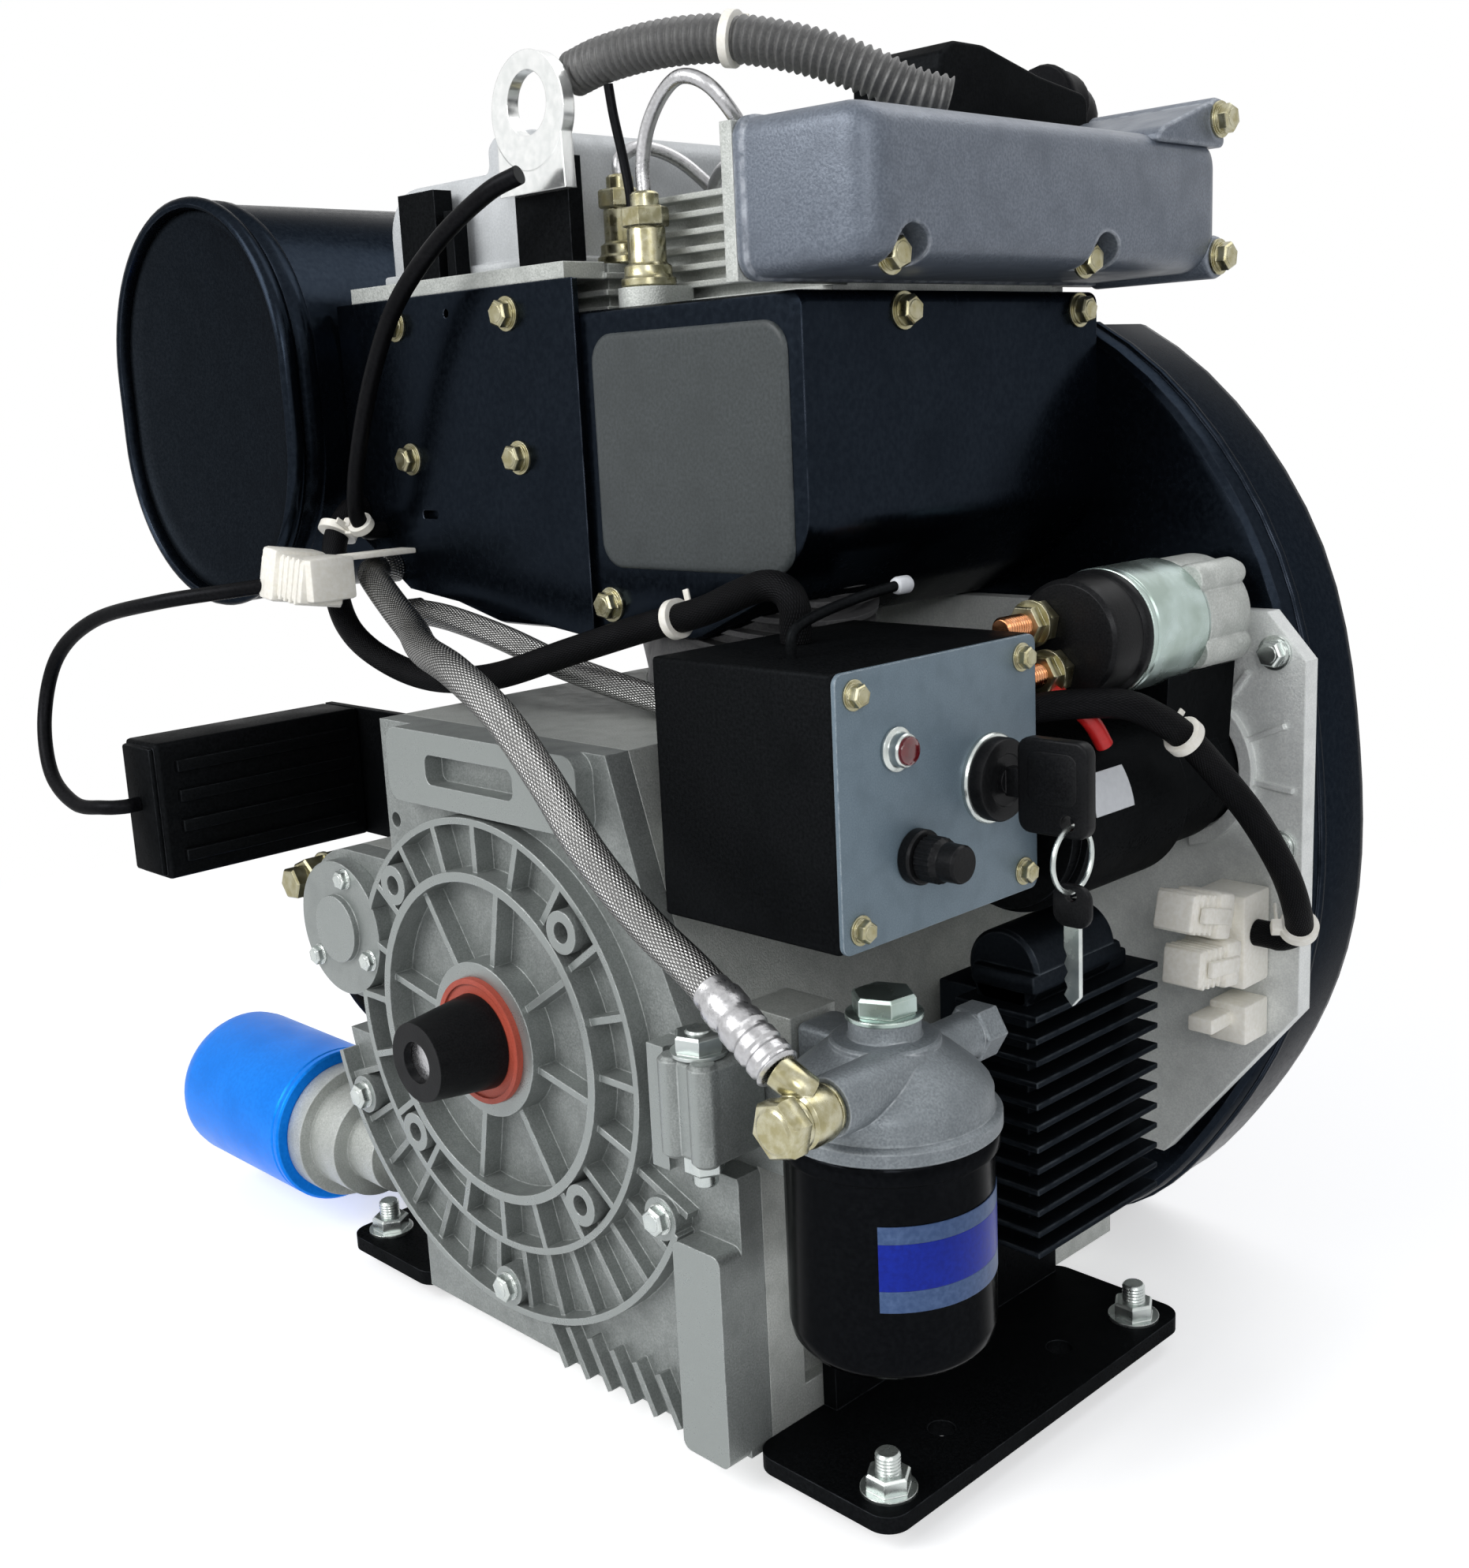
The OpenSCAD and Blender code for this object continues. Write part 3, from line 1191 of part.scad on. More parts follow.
module banjo_fittings() {
    washer = 2;
    seat = 0.1;
    neck_r = 6;
    plug_r = 12;
    union_w = 20;
    side_plug = [74, -26];
    elbow = [[banjo_x, -23, banjo_z + banjo_hex_h], [210, -25, 40], [205.5, -26.5, 43.6]];
    y1 = banjo_y;
    y2 = y1 - washer - banjo_w;
    color("darkkhaki") {
        rod_y(banjo_x, banjo_z, y1 - washer, y1 - seat, banjo_r);
        rod_y(banjo_x, banjo_z, y2, y1 - washer, banjo_r + over);
        rod_y(banjo_x, banjo_z, y2 - washer, y2, banjo_r);
        rod_y(banjo_x, banjo_z, y2 - washer - banjo_hex_h, y2 - washer, banjo_hex_r, 6);
        rod_z(filter_x, filter_y, filter_top + filter_plug_base, filter_top + filter_plug_base + filter_plug_h, plug_r, 6);
        tube(elbow, neck_r, 8, 3, [0, 1, 0]);
        rod_x(side_plug[0], side_plug[1], case_right, case_right + banjo_hex_h, banjo_hex_h);
        rod_x(banjo2_y, banjo2_z, banjo2_x - union_w, banjo2_x - seat, banjo_r);
        rod_x(banjo2_y, banjo2_z, banjo2_x - union_w - filter_plug_base, banjo2_x - union_w, banjo_r, 6);
    }
}

module rectifier() {
    x0 = case_right + run;
    x1 = 206;
    y0 = 112;
    y1 = 198;
    z0 = -78;
    z1 = 30;
    fin_n = 12;
    step = (z1 - z0) / fin_n;
    neck = [30, 22, 16, 26, 10];
    body = [10, 8];
    cap = [4, 20, 8];
    roll = [22, 24, 6, 17];
    fin_x = 26;
    color("#191b1f") {
        block([x0, y0 + neck[1], z0 + neck[2]], [x0 + neck[0], y1 - neck[3], z1 - neck[4]]);
        block([x0 + neck[0], y0 + body[1], z0], [x1 - body[0], y1 - body[1], z1]);
        for (i = [0 : fin_n - 1]) block([x0 + fin_x, y0, z0 + i * step], [x1, y1, z0 + i * step + fin_t]);
        block([x0 + neck[0], y0 + cap[0], z1 - over], [x1 - cap[0], y1 - cap[1], z1 + cap[2]]);
        across_y(y0 + body[1], y1 - roll[1]) translate([x1 - roll[0], z1 + roll[2]]) circle(roll[3]);
    }
}

module starter_motor() {
    step = 6;
    hub_r = 9;
    web = [16, 24, 10];
    side = [8, 17, 10, 27];
    shaft_out = 22;
    saddle_z = solenoid_z - solenoid_r + step;
    color("#131418") {
        rod_y(motor_x, motor_z, motor_y + step, nose_y, motor_r);
        rod_y(motor_x, motor_z, motor_y, motor_y + step, motor_r - step / 2);
        rod_y(motor_x, motor_z, motor_y - step, motor_y, hub_r);
        difference() {
            union() {
                across_y(nose_y, case_back - nose_w - over) translate([motor_x, motor_z]) circle(motor_r - step);
                across_y(nose_y, case_back - solenoid_seat) intersection() {
                    polygon([[motor_x - web[0], motor_z], [motor_x + web[1], motor_z - web[2]],
                        [solenoid_x + web[0], saddle_z], [solenoid_x - web[0], saddle_z]]);
                    translate([case_right + over, 0]) square([case_right, 2 * case_right]);
                }
                across_y(case_back - nose_w, case_back) {
                    translate([motor_x, motor_z]) circle(motor_r - wall_t);
                    translate([pinion_x, pinion_z]) circle(nose_r);
                    polygon([[pinion_x - side[0], pinion_z + side[1]], [motor_x - side[2], motor_z + side[3]],
                        [motor_x + side[2], motor_z - side[3]], [pinion_x + side[0], pinion_z - side[1]]]);
                }
            }
            rod_y(pinion_x, pinion_z, pinion_y - step / 3, case_back + over, pinion_pitch_r + ring_module + over);
            rod_y(solenoid_x, solenoid_z, solenoid_y - over, case_back + over, solenoid_r + run / 2);
        }
        rod_y(pinion_x, pinion_z, pinion_y - step / 2, case_back + shaft_out, pinion_shaft_r);
    }
}

module starter_solenoid() {
    color("#c8d2cf") {
        rod_y(solenoid_x, solenoid_z, solenoid_y + solenoid_cap_len, case_back - solenoid_seat, solenoid_r);
        rod_y(solenoid_x, solenoid_z, solenoid_y, solenoid_y + solenoid_cap_len, solenoid_r - sheet_t);
        rod_y(solenoid_x, solenoid_z, case_back - solenoid_seat, case_back - run, solenoid_r - wall_t);
    }
}

module starter_terminals() {
    seat = 0.1;
    y1 = solenoid_y - seat;
    steps = [0, 7, 12, 28];
    radii = [8, 7, 4];
    places = [[-10, 7], [-3, -12]];
    color("peru") for (p = places) for (i = [0 : 2])
        rod_y(solenoid_x + p[0], solenoid_z + p[1], y1 - steps[i + 1], y1 - steps[i], radii[i], i == 0 ? 6 : $fn);
}

module starter_pinion() {
    color("silver") translate([pinion_x, 0, pinion_z]) rotate([0, -pinion_angle, 0]) difference() {
        across_y(pinion_y, pinion_y + pinion_w) rotate(180) gear_outline(ring_module, pinion_teeth, 0.14);
        rod_y(0, 0, pinion_y - over, pinion_y + pinion_w + over, pinion_shaft_r + shaft_gap);
    }
}

module oil_filter() {
    end_h = 8;
    color("dodgerblue") {
        rod_x(oil_y, oil_z, oil_x0 - oil_len + end_h, oil_x0 - run, oil_r);
        translate([oil_x0 - oil_len, oil_y, oil_z]) rotate([0, 90, 0]) cylinder(r1 = oil_r * 0.825, r2 = oil_r, h = end_h);
    }
}

module oil_filter_base() {
    step = [12, 34];
    color("silver") {
        rod_x(oil_y, oil_z, oil_x0, oil_x0 + step[0], oil_r * 0.85);
        rod_x(oil_y, oil_z, oil_x0 + step[0], oil_x0 + step[1], oil_r * 0.7);
        rod_x(oil_y, oil_z, oil_x0 + step[1], -outer_r - over, oil_r * 0.5);
        rod_x(oil_y, oil_z, -outer_r - over, -case_left, oil_y - case_front - over);
    }
}

module oil_hose() {
    color("#17171a") tube(oil_route, hose_r * 0.8, 8, 2, [0, 1, 0]);
}

module voltage_regulator() {
    face = 3;
    step = 2;
    rib = [12, 8, 6, 15];
    color("#121317") {
        block([reg_x0, reg_y0 + face, reg_z0], [reg_x0 + reg_w, reg_y0 + reg_len, reg_z0 + reg_h]);
        block([reg_x0 + step, reg_y0, reg_z0 + step], [reg_x0 + reg_w - step, reg_y0 + face, reg_z0 + reg_h - step]);
        for (i = [0 : 3]) translate([reg_x0 + reg_w, reg_y0, reg_z0 + i * rib[3]])
            block([0, rib[0], rib[1]], [face, reg_len - rib[1], rib[1] + rib[2]]);
    }
}

module regulator_bracket() {
    y0 = reg_y0 + reg_len;
    t = 4;
    leg = 36;
    seat = 0.1;
    color("#15161a") {
        block([reg_x0, y0 + run, reg_z0], [-case_left - t, y0 + run + t, reg_z0 + reg_h]);
        block([-case_left - t, y0 + run, reg_z0], [-case_left - seat, y0 + run + leg, reg_z0 + reg_h]);
    }
}

module foot_brackets() {
    web_h = 60;
    web_y0 = 54;
    web_in = 6;
    corner = 10;
    z0 = -case_drop - foot_under;
    for (s = [-1, 1]) color("#17181b") {
        wall = s > 0 ? case_right : case_left;
        mirror([s > 0 ? 0 : 1, 0, 0]) difference() {
            union() {
                block([wall + run, web_y0, z0], [wall + run + foot_t, foot_y + foot_len - web_in, -case_drop + web_h]);
                translate([wall + run, foot_y, z0]) linear_extrude(height = foot_t) round_rect(foot_w, foot_len, corner);
            }
            for (y = foot_hole_ys) rod_z(wall + foot_w * 0.66, y, z0 - over, z0 + 3 * foot_t, foot_hole_d / 2);
            for (y = foot_stud_ys) rod_z(wall + foot_w * foot_stud_share, y, z0 - over, z0 + 3 * foot_t, stud_r + shaft_gap);
        }
    }
}

module lifting_eye() {
    t = 6;
    w = 60;
    x0 = -54;
    z0 = 350;
    eye_h = [33, 29, 36];
    hole_r = 13;
    color("whitesmoke") difference() {
        across_y(cowl_front - sheet_t, cowl_front - sheet_t + t) {
            translate([x0 + w / 2, z0 + eye_h[0]]) circle(w * 0.4);
            polygon([[x0 + w * 0.15, z0 + eye_h[1]], [x0 + w * 0.85, z0 + eye_h[1]], [x0 + w * 13 / 15, z0], [x0 + w * 2 / 15, z0]]);
        }
        rod_y(x0 + w / 2, z0 + eye_h[2], cowl_front - sheet_t - over, cowl_front + t, hole_r);
    }
}

module lifting_posts() {
    z0 = head_top2 + run;
    post_low = [[-44, 4.3], [-128, 2], [-96, 4]];
    post_high = [[-8, 42.7], [-100, 38.7], [-90, 28.7]];
    depth = 12;
    back = cowl_front + depth;
    color("#1a1c1f") for (i = [0 : 2])
        block([post_low[i][0], cowl_front + post_low[i][1], z0], [post_high[i][0], back, z0 + post_high[i][1]]);
}

module braided_hoses() {
    color("lightgray") {
        tube(fuel_route, hose_r, 8, 2, skew);
        tube(return_route, hose_r * 0.85, 8, 2, skew);
    }
}

/* Ribbed conduit, each rib is a narrow and a wide ring */
module loom_conduit() {
    rib_n = 44;
    q0 = smooth_path(conduit_route, 16);
    step = (len(q0) - 1) / rib_n / 2;
    q = [for (i = [0 : 2 * rib_n]) q0[floor(i * step)]];
    s = 8;
    bore = 5;
    rib_r = 9.4;
    root_r = 7.8;
    last = len(q) - 1;
    outer = [for (i = [0 : last]) each ring_at(q, i, i % 2 == 0 ? rib_r : root_r, s, [0, 1, 0])];
    few = [for (i = [0 : 4 : last]) q[i]];
    color("#3c3f44") difference() {
        polyhedron(points = outer, faces = tube_faces(len(q), s), convexity = 10);
        tube_along(concat([q[0] - over * heading(q, 0)], few, [q[last] + over * heading(q, last)]), bore, s, [0, 1, 0]);
    }
}

module wiring_loom() {
    color("#121317") {
        tube(bundle_route, wire_r, 8, 2, skew);
        tube(eye_route, thin_wire_r, 8, 2, skew);
        tube(loop_route, thin_wire_r, 8, 2, skew);
        tube(harness_route, wire_r, 8, 2, skew);
        tube(branch_route, thin_wire_r / 2, 8, 2, [0, 1, 0]);
    }
}

module ties_and_plugs() {
    plug_low = [[-150, 16, 178], [-142, 39, 195.5], [194, 238, 6], [204, 242, -24]];
    plug_high = [[-127, 40, 198], [-130, 76.8, 198], [222, 261.7, 44], [222, 261.7, -6]];
    color("ivory") for (i = [0 : 3]) block(plug_low[i], plug_high[i]);
}

module zinc_bolts() {
    y = cowl_front - ring_wall;
    color("darkkhaki") {
        for (p = plate_bolts) bolt_y(p[0], y, p[1]);
        bolt_y(low_bolt[0], cowl_front, low_bolt[1]);
        for (py = side_bolt_ys) bolt_x(cowl_right, py, cowl_top - bolt_in);
        for (py = pocket_ys) bolt_x(cap_x0 + cap_depth - 2 * hex_r, py, cap_z0 + hex_r);
        for (k = ear_z_shares) bolt_x(cap_x0 + ear_len, ear_y, cap_z0 + (cap_z1 - cap_z0) * k);
        for (py = [panel_y + nut_r, panel_y + panel_w - nut_r], pz = [panel_z + bolt_in, panel_z + panel_h - bolt_in])
            translate([panel_x, py, pz]) rotate([0, 90, 0]) {
                cylinder(r = washer_r * 2 / 3, h = washer_t * 0.75);
                cylinder(r = hex_r * 2 / 3, h = hex_h, $fn = 6);
            }
    }
}

module case_bolts() {
    stud_len = 23;
    color("silver") {
        for (a = case_bolt_angles)
            rod_y(case_bolt_circle * cos(a), case_bolt_circle * sin(a), ring_wall - hex_h, ring_wall, hex_r, 6);
        for (a = pump_bolt_angles)
            rod_y(pump_x + pump_bolt_r * cos(a), pump_z + pump_bolt_r * sin(a), plate_y - pump_t - pump_head_h, plate_y - pump_t, hex_r * 0.75, 6);
        rod_z(lug_bolt_x, lug_bolt_y, lug_z0 - nut_h * 1.5, lug_z0 + lug_h + nut_h, stud_r);
        rod_z(lug_bolt_x, lug_bolt_y, lug_z0 + lug_h, lug_z0 + lug_h + nut_h, nut_r, 6);
        rod_z(lug_bolt_x, lug_bolt_y, lug_z0 - nut_h + over, lug_z0, nut_r, 6);
        for (s = [-1, 1]) for (py = foot_stud_ys) mirror([s > 0 ? 0 : 1, 0, 0]) {
            x = (s > 0 ? case_right : case_left) + foot_w * foot_stud_share;
            z = -case_drop - foot_under;
            rod_z(x, py, z, z + stud_len, stud_r);
            rod_z(x, py, z + foot_t, z + foot_t + nut_h, nut_r, 6);
        }
    }
}

/* A crank web with its counterweight, pointing at an angle */
module crank_web(y0, y1, angle) {
    rotate([0, -angle, 0]) across_y(y0, y1) {
        translate([throw_r, 0]) circle(pin_d / 2 + web_wall);
        translate([0, -pin_d / 2 - over]) square([throw_r, pin_d + 2 * over]);
        intersection() {
            circle(web_r);
            translate([-web_r, -web_r]) square([web_r, 2 * web_r]);
        }
        circle(journal_r + web_wall);
    }
}

module crankshaft() {
    pin1_y = cyl_y1 - pin_len / 2;
    pin2_y = cyl_y2 - pin_len / 2;
    color("silver") {
        rod_y(0, 0, -stub_len, -stub_step, stub_r);
        difference() {
            rod_y(0, 0, -stub_step, pin1_y - over, journal_r);
            rod_y(0, 0, gear_y, gear_y + gear_w, journal_r + over);
        }
        across_y(gear_y, gear_y + gear_w) gear_outline(gear_module, crank_teeth, 0.12);
        crank_web(pin1_y - web_w, pin1_y, 90);
        rod_y(0, throw_r, pin1_y - over, pin1_y + pin_len + over, pin_d / 2);
        crank_web(pin1_y + pin_len, pin2_y, 90);
        rod_y(0, throw_r, pin2_y - over, pin2_y + pin_len + over, pin_d / 2);
        crank_web(pin2_y + pin_len, pin2_y + pin_len + web_w, 90);
        rod_y(0, 0, pin2_y + pin_len, flywheel_y, journal_r);
        rod_y(0, 0, flywheel_y - flange_w, flywheel_y - run, crank_flange_r);
        rod_y(0, 0, flywheel_y - over, fan_y + room_gap, journal_r);
        rod_y(0, 0, fan_y + room_gap - over, fan_y + 2 * nut_h, journal_r * 0.8, 6);
    }
}

module flywheel() {
    color("dimgray") difference() {
        union() {
            rod_y(0, 0, flywheel_y, fan_y, ring_seat_r);
            rod_y(0, 0, flywheel_y + ring_w + run, fan_y, flywheel_r);
        }
        rod_y(0, 0, flywheel_y - over, fan_y + over, journal_r + run);
        for (i = [0 : 5]) rotate([0, 60 * i, 0]) rod_y(flywheel_r * 0.6, 0, flywheel_y - over, fan_y + over, flywheel_hole_r);
    }
}

module ring_gear() {
    color("gray") rotate([0, -pinion_angle - 1.8, 0]) difference() {
        across_y(flywheel_y, flywheel_y + ring_w) gear_outline(ring_module, ring_teeth, 0.14, 2);
        rod_y(0, 0, flywheel_y - over, flywheel_y + ring_w + over, ring_seat_r + shaft_gap, 180);
    }
}

module cooling_fan() {
    color("#2a2c30") {
        difference() {
            rod_y(0, 0, fan_y + run, fan_y + run + fan_plate_t, flywheel_r - fan_plate_t);
            rod_y(0, 0, fan_y, fan_y + fan_plate_t + over, journal_r + bearing_wall);
        }
        for (i = [0 : fan_blades - 1]) rotate([0, 360 * i / fan_blades, 0]) translate([fan_inner_r, 0, 0]) rotate([0, 24, 0])
            block([0, fan_y + fan_plate_t, -fan_blade_t / 2], [flywheel_r - fan_inner_r - web_wall, fan_y + fan_w, fan_blade_t / 2]);
    }
}

module shaft_cap() {
    tip_y = -34;
    base_y = 2.4;
    hole_r = 9;
    base_r = 21;
    tip_r = 17;
    color("#131417") difference() {
        translate([0, tip_y, 0]) rotate([-90, 0, 0]) cylinder(r1 = tip_r, r2 = base_r, h = -base_y - tip_y);
        rod_y(0, 0, -stub_len - run, 0, stub_r + shaft_gap);
        rod_y(0, 0, tip_y - over, -stub_len, hole_r);
    }
}

module camshaft() {
    lobe_out = 12;
    lobe_w = 4;
    color("gray") {
        rod_y(0, cam_z, gear_y - bearing_in, bearing_y2 + wall_t, cam_r);
        translate([0, 0, cam_z]) rotate([0, 90 / crank_teeth, 0]) across_y(gear_y, gear_y + gear_w)
            gear_outline(gear_module, cam_teeth, 0.12);
        for (c = [[cyl_y1 - lobe_out, 40], [cyl_y1 + lobe_out, 150], [cyl_y2 - lobe_out, 220], [cyl_y2 + 2 * lobe_w, 320]])
            translate([0, 0, cam_z]) rotate([0, c[1], 0])
                rod_y(web_wall, 0, c[0] - lobe_w, c[0] + lobe_w, cam_lobe_r - web_wall);
    }
}

module dipstick() {
    grip = 8;
    loop_z = 18;
    loop_r = 11;
    loop_t = 2;
    color("gold") dip_frame() {
        rod_z(0, 0, -dip_depth, dip_tube + loop_t, dip_r);
        rod_z(0, 0, dip_tube + run, dip_tube + grip, grip);
        translate([0, 0, dip_tube + loop_z]) rotate([90, 0, 0]) rotate_extrude() translate([loop_r, 0]) circle(loop_t, $fn = 16);
    }
}

crankcase();
pto_cover();
oil_seal();
main_bearings();
pump_cover();
cylinders();
head_right();
head_left();
valve_cover_right();
valve_cover_left();
injectors();
injection_pipes();
injection_pump();
cowl();
front_plate();
fan_scroll();
inlet_guard();
flywheel_housing();
air_cleaner_body();
air_cleaner_lid();
intake_duct();
control_box();
control_panel();
warning_lamp();
key_switch();
fuse_holder();
fuel_filter_head();
fuel_filter_can();
banjo_fittings();
rectifier();
starter_motor();
starter_solenoid();
starter_terminals();
oil_filter();
oil_filter_base();
oil_hose();
voltage_regulator();
regulator_bracket();
foot_brackets();
lifting_eye();
lifting_posts();
braided_hoses();
loom_conduit();
wiring_loom();
ties_and_plugs();
zinc_bolts();
case_bolts();
crankshaft();
flywheel();
ring_gear();
cooling_fan();
shaft_cap();
camshaft();
starter_pinion();
ignition_key();
key_ring();
spare_key();
fuse_cap();
stop_lever();
dipstick();
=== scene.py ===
"""Looks of an air-cooled two-cylinder marine diesel engine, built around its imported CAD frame.

Lengths inside the classes are in millimetres, in the frame of the CAD. A mesh is made in metres.
"""
import logging
import math
from dataclasses import dataclass
from enum import Enum
from typing import Iterable, Optional, Sequence, Union

import bmesh
import bpy
from mathutils import Euler, Matrix, Vector


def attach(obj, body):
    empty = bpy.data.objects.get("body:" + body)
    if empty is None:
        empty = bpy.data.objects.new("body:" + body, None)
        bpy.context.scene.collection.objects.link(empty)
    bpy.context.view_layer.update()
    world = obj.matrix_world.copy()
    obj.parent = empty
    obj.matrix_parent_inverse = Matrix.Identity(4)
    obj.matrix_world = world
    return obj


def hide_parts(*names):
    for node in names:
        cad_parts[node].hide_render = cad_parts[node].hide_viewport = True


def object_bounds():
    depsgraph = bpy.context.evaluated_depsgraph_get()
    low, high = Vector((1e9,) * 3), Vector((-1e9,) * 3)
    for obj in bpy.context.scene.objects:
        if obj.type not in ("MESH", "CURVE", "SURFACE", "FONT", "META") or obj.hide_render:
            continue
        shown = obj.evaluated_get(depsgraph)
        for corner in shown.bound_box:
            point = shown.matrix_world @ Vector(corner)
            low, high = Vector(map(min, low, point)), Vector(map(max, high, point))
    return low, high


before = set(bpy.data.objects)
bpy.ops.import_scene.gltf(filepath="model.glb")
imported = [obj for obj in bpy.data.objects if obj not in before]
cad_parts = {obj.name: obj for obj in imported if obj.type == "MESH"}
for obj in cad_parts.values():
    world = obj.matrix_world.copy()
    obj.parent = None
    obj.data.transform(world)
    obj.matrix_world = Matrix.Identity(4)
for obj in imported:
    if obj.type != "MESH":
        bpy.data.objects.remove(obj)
cad_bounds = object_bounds()

LOG = logging.getLogger("marine_diesel")
MM = 0.001
TAU = 2 * math.pi
SHARP, CRISP, SOFT = 0.6, 0.5, 0.9
TO_FRONT = (math.pi / 2, 0.0, 0.0)
TO_RIGHT = (0.0, math.pi / 2, 0.0)
Point = Sequence[float]
Colour = tuple[float, float, float]
Mesh, Material = bpy.types.Mesh, bpy.types.Material
Node, Socket = bpy.types.Node, bpy.types.NodeSocket
Value = Union[float, int, str, Sequence[float], Socket, Material]


class Plane(Enum):
    """Which two axes an outline lies on, and the axis that it is drawn along."""

    X = (1, 2, 0)
    Y = (0, 2, 1)
    Z = (0, 1, 2)

    def place(self, u: float, v: float, w: float) -> Vector:
        """Returns the point at u and v on the outline's axes and w along the third."""
        out = Vector((0.0, 0.0, 0.0))
        for axis, value in zip(self.value, (u, v, w)):
            out[axis] = value
        return out


class Surface(Enum):
    """Kinds of surface detail that a finish can have."""

    PLAIN = "plain"
    CAST = "cast"
    MACHINED = "machined"
    BRAID = "braid"
    SLEEVE = "sleeve"


@dataclass(frozen=True)
class Finish:
    """One finish of the engine.

    Colours are linear, grain counts patches in a metre, and lengths are in metres. The edge colour and its
    share tint the edges: on most finishes it is the colour that edges are rubbed down to, on the grey cover
    and the cowl's raised panel a painted highlight, and on the gloss black coat partly rubbed edges and
    partly a painted highlight; soft is how far that reaches. Edge is the share of grazing reflection that
    stays, and gaps the share of its colour that a weave keeps between its wires.
    """

    name: str
    slot: str
    base: Colour
    tint: Colour
    rough: tuple[float, float] = (0.4, 0.55)
    metal: float = 0.0
    grain: float = 900.0
    bump: float = 0.00012
    # Edge colour and its share: rubbed edges on most finishes, a painted highlight on a few.
    wear_and_highlight_colour: Optional[Colour] = None
    wear_and_highlight_share: float = 0.5
    soft: float = 0.0006
    specular: float = 0.5
    coat: float = 0.0
    edge: float = 1.0
    gaps: float = 0.12
    surface: Surface = Surface.PLAIN
    weave: tuple[float, float] = (12.0, 0.006)


class Nodes:
    """Adds nodes to one node tree."""

    def __init__(self, tree: bpy.types.NodeTree) -> None:
        """Starts with that tree, emptied."""
        self.tree = tree
        tree.nodes.clear()

    def add(self, kind: str, inputs: Optional[dict] = None, **settings: Value) -> Node:
        """Adds a node.

        Args:
            kind: the node's type name.
            inputs: values or sockets, by input name or number.
            settings: the node's own properties.

        Returns:
            The new node.
        """
        node = self.tree.nodes.new(kind)
        for key, value in settings.items():
            setattr(node, key, value)
        for key, value in (inputs or {}).items():
            self.feed(node.inputs[key], value)
        return node

    def feed(self, socket: Socket, value: Value) -> None:
        """Links a socket to another one, or sets its plain value."""
        if isinstance(value, Socket):
            self.tree.links.new(value, socket)
        elif isinstance(value, tuple) and len(value) == 3 and socket.type == "RGBA":
            socket.default_value = (*value, 1.0)
        else:
            socket.default_value = value

    def math(self, operation: str, a: Value, b: Value = 0.0, clamp: bool = False) -> Socket:
        """Returns the result of one Math node on a and b."""
        return self.add("ShaderNodeMath", {0: a, 1: b}, operation=operation, use_clamp=clamp).outputs[0]

    def mix(self, factor: Value, a: Value, b: Value) -> Socket:
        """Returns the colour between a and b at that factor."""
        return self.add("ShaderNodeMix", {0: factor, 6: a, 7: b}, data_type="RGBA").outputs[2]

    def seen(self) -> Socket:
        """Returns 1 for rays from the camera, a reflection or through glass, and 0 for all others."""
        ray = self.add("ShaderNodeLightPath").outputs
        direct = self.math("MAXIMUM", ray["Is Camera Ray"], ray["Is Glossy Ray"])
        return self.math("MAXIMUM", direct, ray["Is Transmission Ray"])


class Shader(Nodes):
    """Builds the node tree of one procedural material."""

    def __init__(self, name: str) -> None:
        """Starts a material of that name with an empty tree."""
        self.material = bpy.data.materials.new(name)
        self.material.use_nodes = True
        super().__init__(self.material.node_tree)
        self.bsdf = self.add("ShaderNodeBsdfPrincipled")
        self.out = self.add("ShaderNodeOutputMaterial")
        self.surface(self.bsdf.outputs[0])
        self.place = self.add("ShaderNodeTexCoord").outputs["Object"]

    def surface(self, shader: Socket) -> None:
        """Makes a shader the material's surface."""
        self.tree.links.new(shader, self.out.inputs["Surface"])

    def noise(self, scale: float, detail: float = 3.0) -> Socket:
        """Returns noise of that scale per metre."""
        inputs = {"Vector": self.place, "Scale": scale, "Detail": detail}
        return self.add("ShaderNodeTexNoise", inputs).outputs["Fac"]

    def cells(self, scale: float) -> Socket:
        """Returns the distance to the nearest of scattered points."""
        return self.add("ShaderNodeTexVoronoi", {"Vector": self.place, "Scale": scale}).outputs["Distance"]

    def span(self, value: Value, low: float, high: float, out_low: float = 0.0,
             out_high: float = 1.0) -> Socket:
        """Returns value mapped from low to high onto the output range, and held inside it."""
        node = self.add("ShaderNodeMapRange", {0: value, 1: low, 2: high, 3: out_low, 4: out_high})
        return node.outputs[0]

    def edges(self, radius: float) -> tuple[Socket, Socket]:
        """Finds the edges, which most finishes show rubbed bright and a few give a painted highlight.

        Args:
            radius: how far the edge colour reaches from an edge, in metres: rubbed bright on most finishes, a
                painted highlight on a few.

        Returns:
            A normal that rounds the edges, and a mask that is 1 on them.
        """
        soft = self.add("ShaderNodeBevel", {0: radius}, samples=4).outputs[0]
        true = self.add("ShaderNodeNewGeometry").outputs["Normal"]
        dot = self.add("ShaderNodeVectorMath", {0: soft, 1: true}, operation="DOT_PRODUCT").outputs["Value"]
        return soft, self.span(dot, 0.985, 0.86)

    def bump(self, height: Value, depth: float, normal: Optional[Socket]) -> Socket:
        """Returns a normal raised by height, over the normal that is given."""
        inputs = {"Strength": 1.0, "Distance": depth, "Height": height}
        if normal:
            inputs["Normal"] = normal
        return self.add("ShaderNodeBump", inputs).outputs[0]


